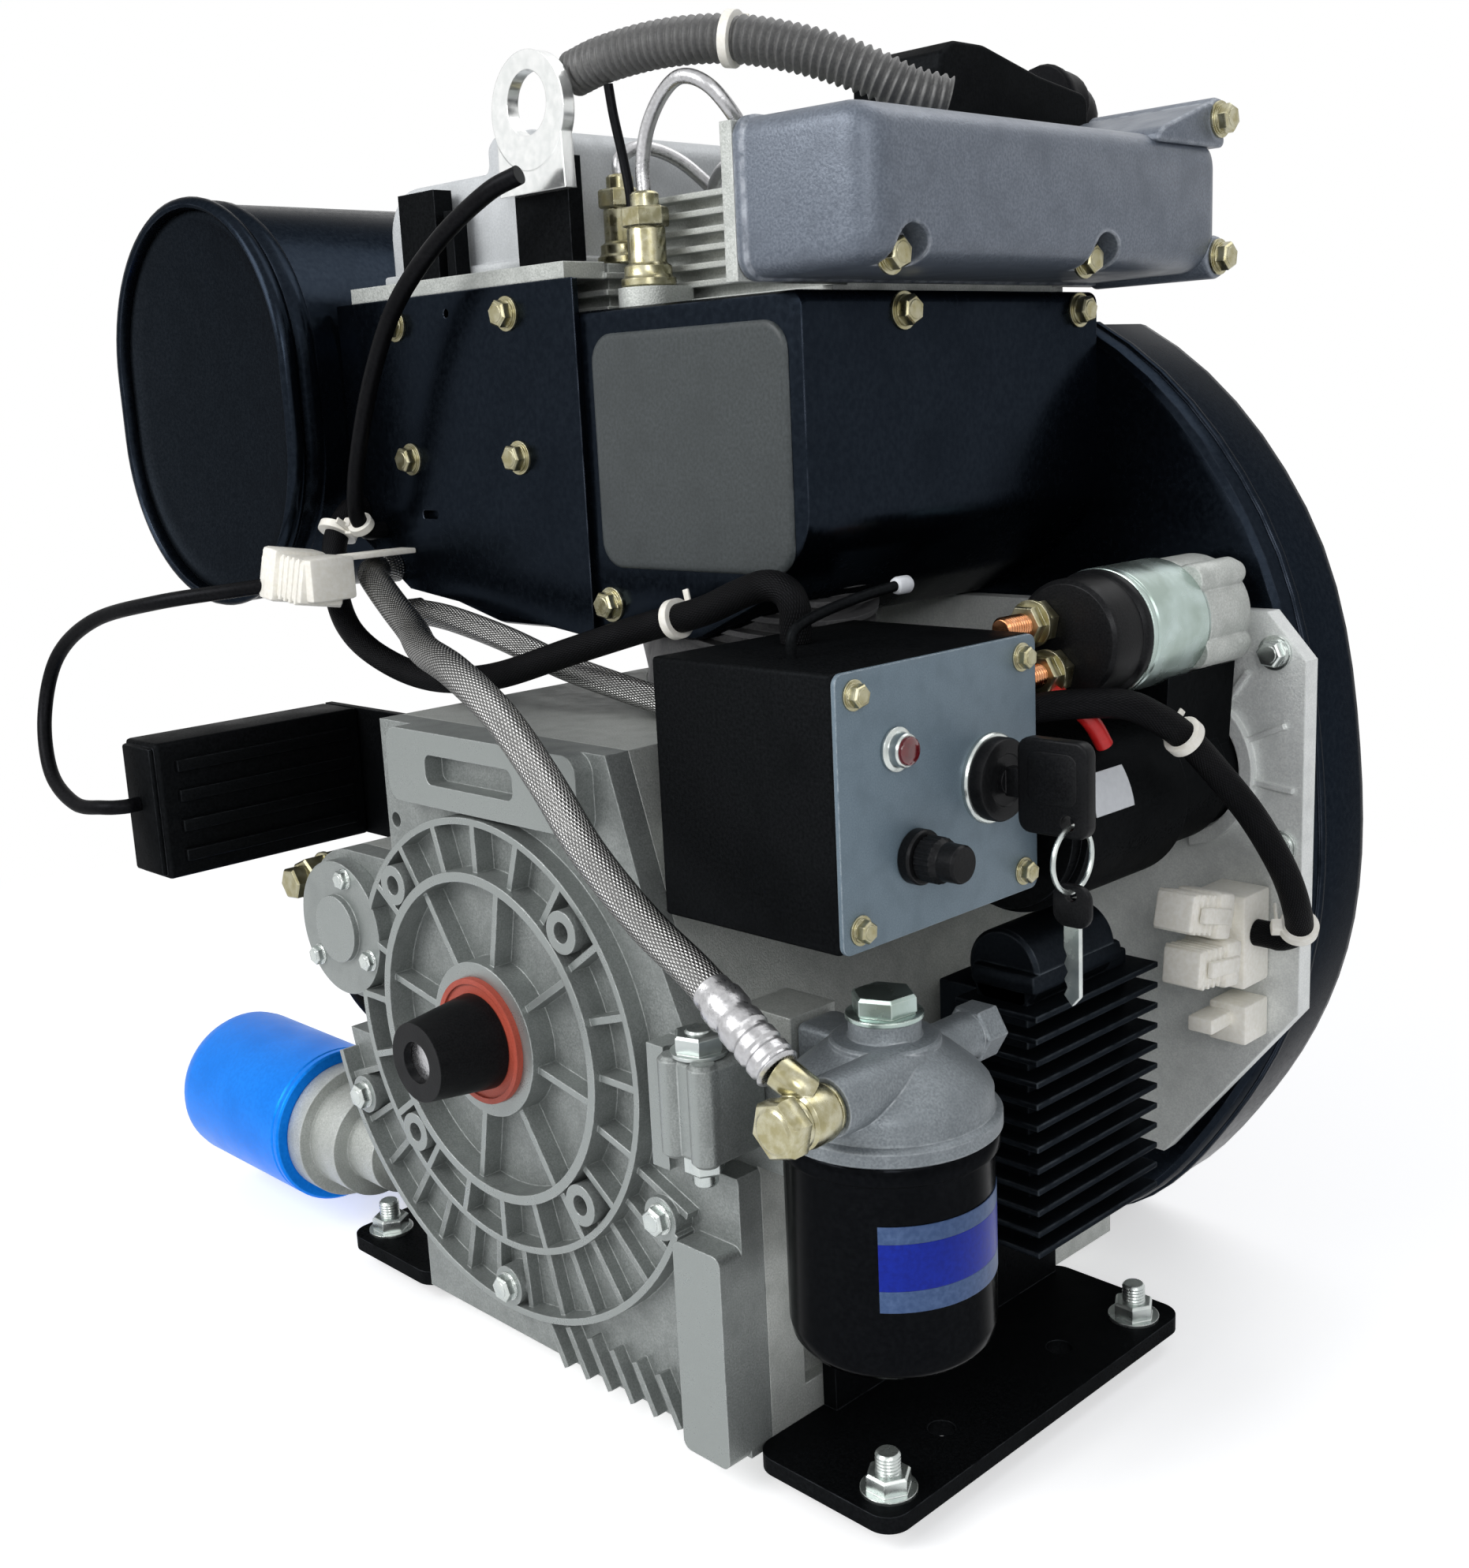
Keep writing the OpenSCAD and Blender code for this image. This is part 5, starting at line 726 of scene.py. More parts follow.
class Trees:
    """The geometry node trees that the engine's repeated forms come from."""

    def __init__(self) -> None:
        """Builds every tree."""
        self.hose = self.make_hose()
        self.screws = self.make_screws()
        self.fins = self.make_fins()

    def make_hose(self) -> Tree:
        """Returns a tree that sweeps a round hose along a line, with ribs where they are asked for."""
        t = Tree("swept_hose")
        radius, step = t.named("Radius"), t.named("Step")
        sides = t.named("Sides", "NodeSocketInt", 16)
        pitch, depth = t.named("Rib pitch", start=1.0), t.named("Rib depth")
        line = t.add("GeometryNodeMeshToCurve", {0: t.entry.outputs[0]}).outputs[0]
        line = t.add("GeometryNodeResampleCurve", {"Curve": line, "Length": step}, mode="LENGTH").outputs[0]
        along = t.add("GeometryNodeSplineParameter").outputs
        kept = t.add("GeometryNodeCaptureAttribute", {0: line})
        kept.capture_items.new("FLOAT", "along")
        t.feed(kept.inputs[1], along["Length"])
        ring = t.add("GeometryNodeCurvePrimitiveCircle", {"Resolution": sides, "Radius": radius}).outputs[0]
        held = t.add("GeometryNodeCaptureAttribute", {0: ring})
        held.capture_items.new("FLOAT", "around")
        t.feed(held.inputs[1], along["Factor"])
        wave = t.math("SINE", t.math("MULTIPLY", t.math("DIVIDE", kept.outputs[1], pitch), TAU))
        scale = t.math("SUBTRACT", 1.0, t.math("MULTIPLY", t.math("SUBTRACT", 1.0, wave), depth))
        skin = t.add("GeometryNodeCurveToMesh", {"Curve": kept.outputs[0], "Profile Curve": held.outputs[0],
                                                 "Scale": scale, "Fill Caps": True}).outputs[0]
        angle = t.math("MULTIPLY", held.outputs[1], TAU)
        weave = t.vector(t.math("COSINE", angle), t.math("SINE", angle), kept.outputs[1])
        t.finish(t.add("GeometryNodeStoreNamedAttribute", {0: skin, "Name": "weave", "Value": weave},
                       data_type="FLOAT_VECTOR", domain="POINT").outputs[0])
        return t

    def make_screws(self) -> Tree:
        """Returns a tree that sets a washer, a spring washer and a chamfered hexagon head on each point."""
        t = Tree("hex_screws")
        head, high = t.named("Head radius"), t.named("Head height")
        washer, thick = t.named("Washer radius"), t.named("Washer thickness")
        turn = t.named("Turn", "NodeSocketRotation")
        seed = t.named("Seed", "NodeSocketInt", 3)
        parts = t.add("GeometryNodeJoinGeometry")

        def drum(kind: str, sides: int, sizes: dict, low: Value, deep: Value) -> None:
            """Adds one turned part of the screw that starts at low and is deep high."""
            made = t.add(kind, {"Vertices": sides, "Depth": deep, **sizes}, fill_type="NGON").outputs[0]
            seat = low if kind.endswith("Cone") else t.math("ADD", low, t.math("DIVIDE", deep, 2))
            lift = t.vector(0.0, 0.0, seat)
            moved = t.add("GeometryNodeTransform", {"Geometry": made, "Translation": lift}).outputs[0]
            t.feed(parts.inputs[0], moved)

        base = t.math("ADD", thick, thick)
        drum("GeometryNodeMeshCylinder", 24, {"Radius": washer}, 0.0, thick)
        drum("GeometryNodeMeshCylinder", 20, {"Radius": t.math("MULTIPLY", head, 1.02)}, thick, thick)
        drum("GeometryNodeMeshCylinder", 6, {"Radius": head}, base, t.math("MULTIPLY", high, 0.78))
        drum("GeometryNodeMeshCone", 6, {"Radius Bottom": head, "Radius Top": t.math("MULTIPLY", head, 0.84)},
             t.math("ADD", base, t.math("MULTIPLY", high, 0.78)), t.math("MULTIPLY", high, 0.22))
        drum("GeometryNodeMeshCylinder", 16, {"Radius": t.math("MULTIPLY", head, 0.62)},
             t.math("ADD", base, high), t.math("MULTIPLY", high, 0.05))
        points = t.add("GeometryNodeMeshToPoints", {0: t.entry.outputs[0]}).outputs[0]
        many = t.add("GeometryNodeInstanceOnPoints",
                     {"Points": points, "Instance": parts.outputs[0], "Rotation": turn}).outputs[0]
        spin = t.add("FunctionNodeRandomValue", {2: 0.0, 3: 1.05, "Seed": seed}).outputs[1]
        spin = t.vector(0.0, 0.0, spin)
        many = t.add("GeometryNodeRotateInstances", {0: many, "Rotation": spin}).outputs[0]
        t.finish(many)
        return t

    def make_fins(self) -> Tree:
        """Returns a tree that repeats the mesh that goes in, a number of times along an offset."""
        t = Tree("repeated_fins")
        count, offset = t.named("Count", "NodeSocketInt", 4), t.named("Offset", "NodeSocketVector")
        line = t.add("GeometryNodeMeshLine", {"Count": count, "Offset": offset}).outputs[0]
        fin = t.entry.outputs[0]
        many = t.add("GeometryNodeInstanceOnPoints", {"Points": line, "Instance": fin}).outputs[0]
        t.finish(many)
        return t


class Bench:
    """Turns shapes into named pieces that ride on the CAD's bodies."""

    def __init__(self) -> None:
        """Opens the paintbox and builds the node trees."""
        self.paint = Paintbox()
        self.trees = Trees()

    def mount(self, mesh: Mesh, name: str, finish: Finish, stands_for: Iterable[str] = (),
              body: str = "engine") -> bpy.types.Object:
        """Makes a piece out of a mesh.

        Args:
            mesh: the finished mesh, in metres.
            name: the piece's name.
            finish: its finish.
            stands_for: the CAD nodes that it replaces.
            body: the CAD body that it rides on.

        Returns:
            The new object.
        """
        piece = put(name, mesh)
        mesh.materials.clear()
        mesh.materials.append(self.paint.get(finish))
        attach(piece, body)
        for node in stands_for:
            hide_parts(node)
        LOG.info("%s: %d faces", name, len(mesh.polygons))
        return piece

    def build(self, shape: Shape, name: str, finish: Finish, stands_for: Iterable[str] = (),
              body: str = "engine", angle: float = SHARP) -> bpy.types.Object:
        """Makes a piece out of a shape, as mount does, with edges past angle kept sharp."""
        return self.mount(shape.mesh(name, angle), name, finish, stands_for, body)

    def cast(self, node: str, finish: Finish, body: str = "engine", cutters: Sequence[Shape] = (),
             angle: float = CRISP) -> bpy.types.Object:
        """Makes a smooth-shaded piece with the exact form of a CAD node, and replaces the node by it.

        Args:
            node: the CAD node.
            finish: the piece's finish.
            body: the CAD body that it rides on.
            cutters: spaces that the piece loses.
            angle: edges that turn more than this stay sharp, in radians.

        Returns:
            The new object.
        """
        bm = bmesh.new()
        bm.from_mesh(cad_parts[node].data)
        bmesh.ops.remove_doubles(bm, verts=bm.verts, dist=2e-6)
        bmesh.ops.dissolve_degenerate(bm, edges=bm.edges, dist=1e-6)
        mesh = bpy.data.meshes.new(node + "_skin")
        bm.to_mesh(mesh)
        bm.free()
        for layer in ("custom_normal", "sharp_face"):
            if layer in mesh.attributes:
                mesh.attributes.remove(mesh.attributes[layer])
        return self.mount(cut(mesh, cutters, angle), node + "_skin", finish, [node], body)

    def hose(self, name: str, route: Sequence[Point], radius: float, finish: Finish,
             stands_for: Iterable[str] = (), rib: tuple[float, float] = (1.0, 0.0), sides: int = 20,
             step: float = 2.0) -> bpy.types.Object:
        """Makes a hose, cable or pipe along a route.

        Args:
            name: the piece's name.
            route: the points that it goes through.
            radius: its radius.
            finish: its finish.
            stands_for: the CAD nodes that it replaces.
            rib: pitch of its ribs, and their half depth as a share of the radius.
            sides: corners of its section.
            step: length of its pieces.

        Returns:
            The new object.
        """
        path = [p * MM for p in smooth_path(route)]
        line = bpy.data.meshes.new(name + "_line")
        line.from_pydata(path, [(i, i + 1) for i in range(len(path) - 1)], [])
        mesh = self.trees.hose.run(line, name, {"Radius": radius * MM, "Step": step * MM, "Sides": sides,
                                                "Rib pitch": rib[0] * MM, "Rib depth": rib[1]}, SOFT)
        return self.mount(mesh, name, finish, stands_for)

    def screws(self, name: str, points: Sequence[Point], turn: Point, finish: Finish,
               sizes: tuple[float, float, float, float] = (6.0, 4.4, 7.5, 1.1),
               stands_for: Iterable[str] = ()) -> bpy.types.Object:
        """Sets hexagon screws on points.

        Args:
            name: the piece's name.
            points: where they seat.
            turn: the rotation that takes +Z to the way they stick out, as three angles.
            finish: their finish.
            sizes: head radius, head height, washer radius and washer thickness.
            stands_for: the CAD nodes that they replace.

        Returns:
            The new object.
        """
        cloud = bpy.data.meshes.new(name + "_points")
        cloud.from_pydata([Vector(p) * MM for p in points], [], [])
        keys = ("Head radius", "Head height", "Washer radius", "Washer thickness")
        values = {key: value * MM for key, value in zip(keys, sizes)}
        mesh = self.trees.screws.run(cloud, name, {**values, "Turn": list(turn)}, CRISP)
        return self.mount(mesh, name, finish, stands_for)


def shrink(outline: Sequence[Point], inset: float) -> list[Point]:
    """Draws an outline in by an inset.

    Args:
        outline: the corners, in either direction round.
        inset: how far each side moves inwards.

    Returns:
        The new corners.
    """
    pts = [Vector(p) for p in outline]
    area = sum(a.x * b.y - b.x * a.y for a, b in zip(pts, pts[1:] + pts[:1]))
    way = 1 if area > 0 else -1
    out = []
    for i, p in enumerate(pts):
        back, ahead = (p - pts[i - 1]).normalized(), (pts[(i + 1) % len(pts)] - p).normalized()
        n0, n1 = Vector((-back.y, back.x)) * way, Vector((-ahead.y, ahead.x)) * way
        out.append(tuple(p + (n0 + n1) * (inset / (1 + n0.dot(n1)))))
    return out


def cut(mesh: Mesh, cutters: Sequence[Shape], angle: float = SHARP) -> Mesh:
    """Cuts shapes out of a mesh and shades what is left.

    Args:
        mesh: what is cut, in metres.
        cutters: the spaces that it loses, one after the other.
        angle: edges that turn more than this stay sharp, in radians.

    Returns:
        The cut mesh, with the first one's name.
    """
    name, out = mesh.name, mesh
    if cutters:
        meshes = [mesh] + [shape.mesh(f"{name}_cut_{i}") for i, shape in enumerate(cutters)]
        things = [put(m.name, m) for m in meshes]
        for cutter in things[1:]:
            boolean = things[0].modifiers.new("cut", "BOOLEAN")
            boolean.object = cutter
            boolean.solver = "EXACT"
        out = bpy.data.meshes.new_from_object(things[0].evaluated_get(bpy.context.evaluated_depsgraph_get()))
        for thing in things:
            bpy.data.objects.remove(thing)
        mesh.name = name + "_uncut"
        out.name = name
    out.shade_smooth()
    out.set_sharp_from_angle(angle=angle)
    return out


@dataclass
class Studio:
    """Camera, lamps, floor and backdrop."""

    place: Point = (0.58617, -0.41453, 0.26250)
    right: Point = (0.7047, 0.7079, -0.0474)
    up: Point = (-0.1203, 0.1850, 0.9753)
    lens: float = 40.38
    target: Point = (0.0, 0.12, 0.12)
    sky: Colour = (0.32, 0.33, 0.36)
    paper: tuple[Colour, Colour] = ((0.80, 0.80, 0.80), (0.84, 0.84, 0.84))
    floor_size: float = 8.0
    floor_gap: float = 0.0005
    floor_lift: float = 0.5
    floor_fade: tuple[float, float] = (0.35, 1.1)
    lamps: tuple = (((-0.5, -1.8, 1.4), 1.3, 36.0), ((1.9, -0.6, 1.3), 0.9, 5.0),
                    ((0.3, 1.2, 2.0), 1.4, 13.0), ((1.35, -1.15, 0.75), 0.45, 6.5))

    def build(self) -> None:
        """Makes the whole studio."""
        scene = bpy.context.scene
        camera = put("camera", bpy.data.cameras.new("camera"))
        right, up = Vector(self.right), Vector(self.up)
        turn = Matrix((right, up, right.cross(up))).transposed().to_4x4()
        camera.matrix_world = Matrix.Translation(self.place) @ turn
        camera.data.lens = self.lens
        scene.camera = camera
        scene.view_settings.view_transform = "Standard"
        for i, (place, size, power) in enumerate(self.lamps):
            lamp = put(f"lamp_{i}", bpy.data.lights.new(f"lamp_{i}", "AREA"))
            lamp.data.size, lamp.data.energy = size, power
            lamp.location = place
            aim = Vector(self.target) - Vector(place)
            lamp.rotation_euler = aim.to_track_quat("-Z", "Y").to_euler()
        self.backdrop()
        self.floor(cad_bounds[0].z)

    def backdrop(self) -> None:
        """Lights the room with a plain pale sky that the camera and reflections see as white."""
        world = bpy.data.worlds.new("studio")
        bpy.context.scene.world = world
        world.use_nodes = True
        nodes = Nodes(world.node_tree)
        colour = nodes.mix(nodes.seen(), self.sky, (1.0, 1.0, 1.0))
        sky = nodes.add("ShaderNodeBackground", {0: colour}).outputs[0]
        nodes.add("ShaderNodeOutputWorld", {0: sky})

    def floor(self, height: float) -> None:
        """Lays a pale floor just under the engine, at that height."""
        half, low = self.floor_size / 2, height - self.floor_gap
        mesh = bpy.data.meshes.new("floor")
        corners = [(-half, -half, low), (half, -half, low), (half, half, low), (-half, half, low)]
        mesh.from_pydata(corners, [], [(0, 1, 2, 3)])
        floor = put("floor", mesh)
        s = Shader("pale_floor")
        s.feed(s.bsdf.inputs["Base Color"], s.mix(s.noise(3.0), *self.paper))
        s.feed(s.bsdf.inputs["Roughness"], 0.8)
        s.feed(s.bsdf.inputs["Specular IOR Level"], 0.1)
        seen = s.seen()
        lift = s.add("ShaderNodeEmission", {1: s.math("MULTIPLY", seen, self.floor_lift)}).outputs[0]
        near = s.add("ShaderNodeAddShader", {0: s.bsdf.outputs[0], 1: lift}).outputs[0]
        reach = s.add("ShaderNodeVectorMath", {0: s.place}, operation="LENGTH").outputs["Value"]
        fade = s.math("MULTIPLY", seen, s.span(reach, *self.floor_fade))
        white = s.add("ShaderNodeEmission", {1: 1.0}).outputs[0]
        s.surface(s.add("ShaderNodeMixShader", {0: fade, 1: near, 2: white}).outputs[0])
        mesh.materials.append(s.material)


@dataclass
class Castings:
    """Crankcase, gear cover, heads, flywheel plate and everything that turns inside."""

    bench: Bench
    lug: tuple[Point, Point] = ((118.0, -6.0, -15.0), (146.0, 24.0, 24.0))
    ridges: tuple[float, float] = (124.0, 140.0)

    def build(self) -> None:
        """Dresses every cast and machined node with its own exact form."""
        F = Finishes
        self.bench.cast("pto_cover", F.GEAR_COVER,
                        cutters=[Shape().block((105, -12, -27), (158, -0.2, 25), 0),
                                 Shape().block((118.6, -12, -27), (158, 23.9, 25), 0)])
        self.engine_lug()
        engine = {"crankcase": F.CAST, "oil_seal": F.SEAL, "main_bearings": F.STEEL,
                  "pump_cover": F.GEAR_COVER, "cylinders": F.IRON, "head_right": F.CAST,
                  "head_left": F.CAST, "injection_pump": F.STEEL, "flywheel_housing": F.PAINTED_LIGHT_HOUSING,
                  "oil_filter_base": F.CAST, "front_plate": F.GLOSS, "inlet_guard": F.SATIN,
                  "starter_motor": F.SATIN, "regulator_bracket": F.SATIN, "foot_brackets": F.SATIN,
                  "lifting_eye": F.PAINTED_GLARE_EYE, "lifting_posts": F.SATIN}
        for node, finish in engine.items():
            self.bench.cast(node, finish)
        turning = {"crankshaft": F.STEEL, "flywheel": F.GEAR, "ring_gear": F.STEEL,
                   "cooling_fan": F.PLASTIC, "shaft_cap": F.PLASTIC}
        for node, finish in turning.items():
            self.bench.cast(node, finish, "crankshaft")
        self.bench.cast("camshaft", F.STEEL, "camshaft")
        self.bench.cast("starter_pinion", F.STEEL, "starter_pinion")
        self.bench.cast("dipstick", F.YELLOW_PLASTIC, "dipstick")

    def engine_lug(self) -> None:
        """Makes the right engine lug: a block with two round ridges down its face."""
        low, high = self.lug
        lug = Shape().block(low, high, 2.2, 3)
        for x in self.ridges:
            lug.lathe([(4.4, low[2] - 0.6), (6, low[2] + 1), (6, high[2] - 1), (4.4, high[2] + 0.6)],
                      Plane.Z, x, -3, 32)
        self.bench.build(lug, "engine_lug", Finishes.GEAR_COVER)


@dataclass
class ValveCovers:
    """The near grey cover on its side and the far pale one on top."""

    bench: Bench
    x0: float = 116.3
    x1: float = 178.3
    y0: float = 58.0
    y1: float = 292.0
    z0: float = 303.0
    z1: float = 361.0
    ear_y: float = 287.0
    ears: tuple[float, float] = (310.54, 366.22)
    ear_r: float = 9.0
    pockets: tuple[float, float] = (84.0, 204.0)
    pocket_r: float = 9.6

    def build(self) -> None:
        """Makes both covers."""
        self.near()
        self.far()

    def near(self) -> None:
        """Makes the near cover: a drafted pan with soft edges, two ears and two bolt pockets."""
        levels = ((0.0, 0.0), (0.0, 3.6), (0.9, 4.4), (1.5, 49.0), (2.2, 53.0), (3.6, 56.4), (5.8, 59.4),
                  (8.6, 61.2), (12.0, 62.0))
        pan = Shape().loft([[Plane.X.place(u, v, self.x0 + rise) for u, v in
                             rectangle(self.y0 + i, self.z0 + i, self.y1 - i, self.z1 - i, 9.0 - i * 0.3, 7)]
                            for i, rise in levels])
        cutter = Shape()
        for y in self.pockets:
            arch = [(y - self.pocket_r, self.z0 - 5), (y + self.pocket_r, self.z0 - 5),
                    (y + self.pocket_r, self.z0 + 15.6), (y - self.pocket_r, self.z0 + 15.6)]
            cutter.prism(fillet(arch, (0, 0, self.pocket_r, self.pocket_r), 8), Plane.X, self.x1 - 12,
                         self.x1 + 5)
        self.bench.mount(cut(pan.mesh("near_valve_cover"), [cutter]), "near_valve_cover", Finishes.COVER,
                         ["valve_cover_right"])
        trim = Shape()
        r = self.ear_r
        for z in self.ears:
            trim.lathe([(r - 0.8, self.x0), (r, self.x0 + 1), (r, self.x1 - 2.2), (r - 0.7, self.x1 - 0.7),
                        (r - 2, self.x1)], Plane.X, self.ear_y, z, 32)
        wedge = [(self.ear_y - 48, self.z1 - 6), (self.ear_y - 44, self.z1 - 0.5),
                 (self.ear_y - 3, self.ears[1] + r - 1), (self.ear_y + r - 3, self.z1 - 6)]
        trim.prism(fillet(wedge, (3, 12, 8, 3)), Plane.X, self.x0, self.x1, 2.0, 3)
        self.bench.build(trim, "near_cover_ears", Finishes.COVER)

    def far(self) -> None:
        """Makes the far cover: a stepped lid with a round shoulder over a flange."""
        base, step, top = 321.3, 365.3, 380.3
        outline = [(-158, base), (-40, base), (-40, top), (-78, top), (-78, step), (-158, step)]
        lid = Shape().prism(fillet(outline, (0, 0, 10, 10, 4, 22), 8), Plane.Y, 96, 264, 4.0, 3)
        lid.block((-161, 93, base), (-37, 267, base + 5), 1.5)
        self.bench.build(lid, "far_valve_cover", Finishes.COVER_LIGHT, ["valve_cover_left"])


@dataclass
class Cowling:
    """Black sheet cowl over the cylinders and the blower scroll behind it."""

    bench: Bench
    front: float = 80.0
    back: float = 272.0
    section: tuple = ((127, 300), (127, 206), (100, 182), (60, 164), (-72, 164), (-138, 180), (-172, 205),
                      (-172, 300))
    rounds: tuple = (5, 26, 34, 24, 20, 30, 20, 5)
    scroll_r: float = 311.0
    shares: tuple = (0.553, 0.514, 0.476, 0.455, 0.453, 0.547, 0.633, 0.672, 0.736, 0.807, 0.923, 1.0)
    corner: float = 0.928
    pinion: Point = (121.9, 63.7)

    def build(self) -> None:
        """Makes the cowl, its raised panel and the scroll."""
        cowl = Shape().loft([
            [Plane.Y.place(u, v, y) for u, v in fillet(shrink(self.section, i), self.rounds, 6)]
            for i, y in ((3.2, self.front), (1.1, self.front + 0.6), (0.0, self.front + 3),
                         (0.0, self.back))])
        self.bench.build(cowl, "cowl_shell", Finishes.GLOSS, ["cowl"])
        panel = Shape().loft([
            [Plane.Y.place(u, v, y) for u, v in rectangle(6 + i, 193 + i, 119 - i, 290 - i, 12 - i, 7)]
            for i, y in ((0, self.front + 0.4), (0, self.front - 0.3), (0.5, self.front - 1.0),
                         (1.4, self.front - 1.4), (3.0, self.front - 1.5))])
        # Its finish paints the panel's reflection and its edge highlight into the colour.
        self.bench.build(panel, "cowl_raised_panel", Finishes.SHEEN)
        self.scroll()

    def radius(self, degrees: float) -> float:
        """Returns the scroll's radius at an angle, smooth between its shares."""
        t = (degrees - 180) / 22.5
        i = min(int(t), len(self.shares) - 2)
        u, p = t - i, self.shares
        a, b, c, d = p[max(i - 1, 0)], p[i], p[i + 1], p[min(i + 2, len(p) - 1)]
        return self.scroll_r * (b + u * (c - a) / 2 + u * u * (a - 2.5 * b + 2 * c - d / 2)
                                + u ** 3 * (d - a + 3 * (b - c)) / 2)

    def scroll(self) -> None:
        """Makes the scroll: two pressings that meet in a hemmed seam, open at the back round the fan."""
        rings, left, corner = [], self.section[-1][0], self.scroll_r * self.corner
        for inset, y in ((9, 272), (5.2, 272.7), (2.6, 275), (1.5, 279), (1.3, 283.2), (0.3, 283.6),
                         (0, 284.6), (0, 286.8), (0.3, 287.8), (1.3, 288.2), (1.3, 321), (1.9, 325.5),
                         (4, 328.8), (7.5, 330)):
            ring = []
            for k in range(67):
                a = 180 + 3.75 * k
                ring.append(Plane.Y.place(*polar(self.radius(a) - inset, a), y))
            ring += [(left + 24 + inset * 0.4, y, corner - inset),
                     (left + 7 + inset * 0.7, y, corner - 7 - inset * 0.7),
                     (left + inset, y, corner - 24 - inset * 0.4)]
            rings.append(ring)
        inside = Shape().lathe([(134, 270), (134, 297), (121, 300), (121, 326), (112, 328), (112, 334)],
                               Plane.Y, 0, 0, 96)
        pinion_room = Shape().lathe([(19, 270), (19, 292)], Plane.Y, *self.pinion)
        scroll = cut(Shape().loft(rings).mesh("blower_scroll"), [inside, pinion_room], CRISP)
        self.bench.mount(scroll, "blower_scroll", Finishes.GLOSS, ["fan_scroll"])


@dataclass
class AirCleaner:
    """The oval drum, its dished end, the intake hose and the hood."""

    bench: Bench
    x: float = -265.0
    z: float = 270.0
    r: float = 84.0
    flat: float = 16.0

    def oval(self, inset: float, y: float) -> list[Vector]:
        """Returns the drum's outline at a y, drawn in by an inset."""
        r = self.r - inset
        half = [(r * math.cos(a), self.flat + r * math.sin(a)) for a in (math.pi * k / 36 for k in range(37))]
        return [Vector((self.x + side * u, y, self.z + side * v)) for side in (1, -1) for u, v in half]

    def build(self) -> None:
        """Makes every piece of the air cleaner."""
        body = ((2.6, 243), (0.7, 242.4), (0, 240.6), (0, 64), (-1.4, 62), (-1.6, 58), (-0.4, 55.5),
                (0, 53.2), (-1.5, 51), (-2.7, 49.4), (-3, 47), (-2.4, 44.9), (-0.9, 43.4), (0.8, 43),
                (2.4, 43.9), (3.2, 46), (3.4, 49.2), (3.4, 59))
        drum = Shape().loft([self.oval(i, y) for i, y in body])
        for y in (113, 203):
            drum.block((self.x + self.r * 0.8, y, self.z - 15), (-172.3, y + 18, self.z + 15), 2)
        self.bench.build(drum, "air_cleaner_drum", Finishes.GLOSS, ["air_cleaner_body"])
        dish = ((60, 57.4), (30, 55), (12, 52.2), (3.6, 51), (3.6, 49.2), (6.6, 48.4), (8.4, 48.9),
                (10.2, 50.1), (16, 51), (30, 53), (60, 55.4))
        self.bench.build(Shape().loft([self.oval(i, y) for i, y in dish]), "air_cleaner_end", Finishes.LID,
                         ["air_cleaner_lid"])
        hood = [(186, 345.3), (292.3, 345.3), (292.3, 386.3), (256, 391.3), (216, 400.3), (196, 400.3),
                (188, 395.3), (186, 389.3)]
        top = Shape().prism(fillet(hood, (2, 2, 6, 8, 20, 8, 4, 3), 6), Plane.X, 62, 109.7, 3.0, 3)
        self.bench.build(top, "intake_hood", Finishes.SATIN, ["intake_duct"])
        self.bench.hose("intake_hose", INTAKE, 19, Finishes.RUBBER, rib=(7.0, 0.03), sides=28, step=1.2)


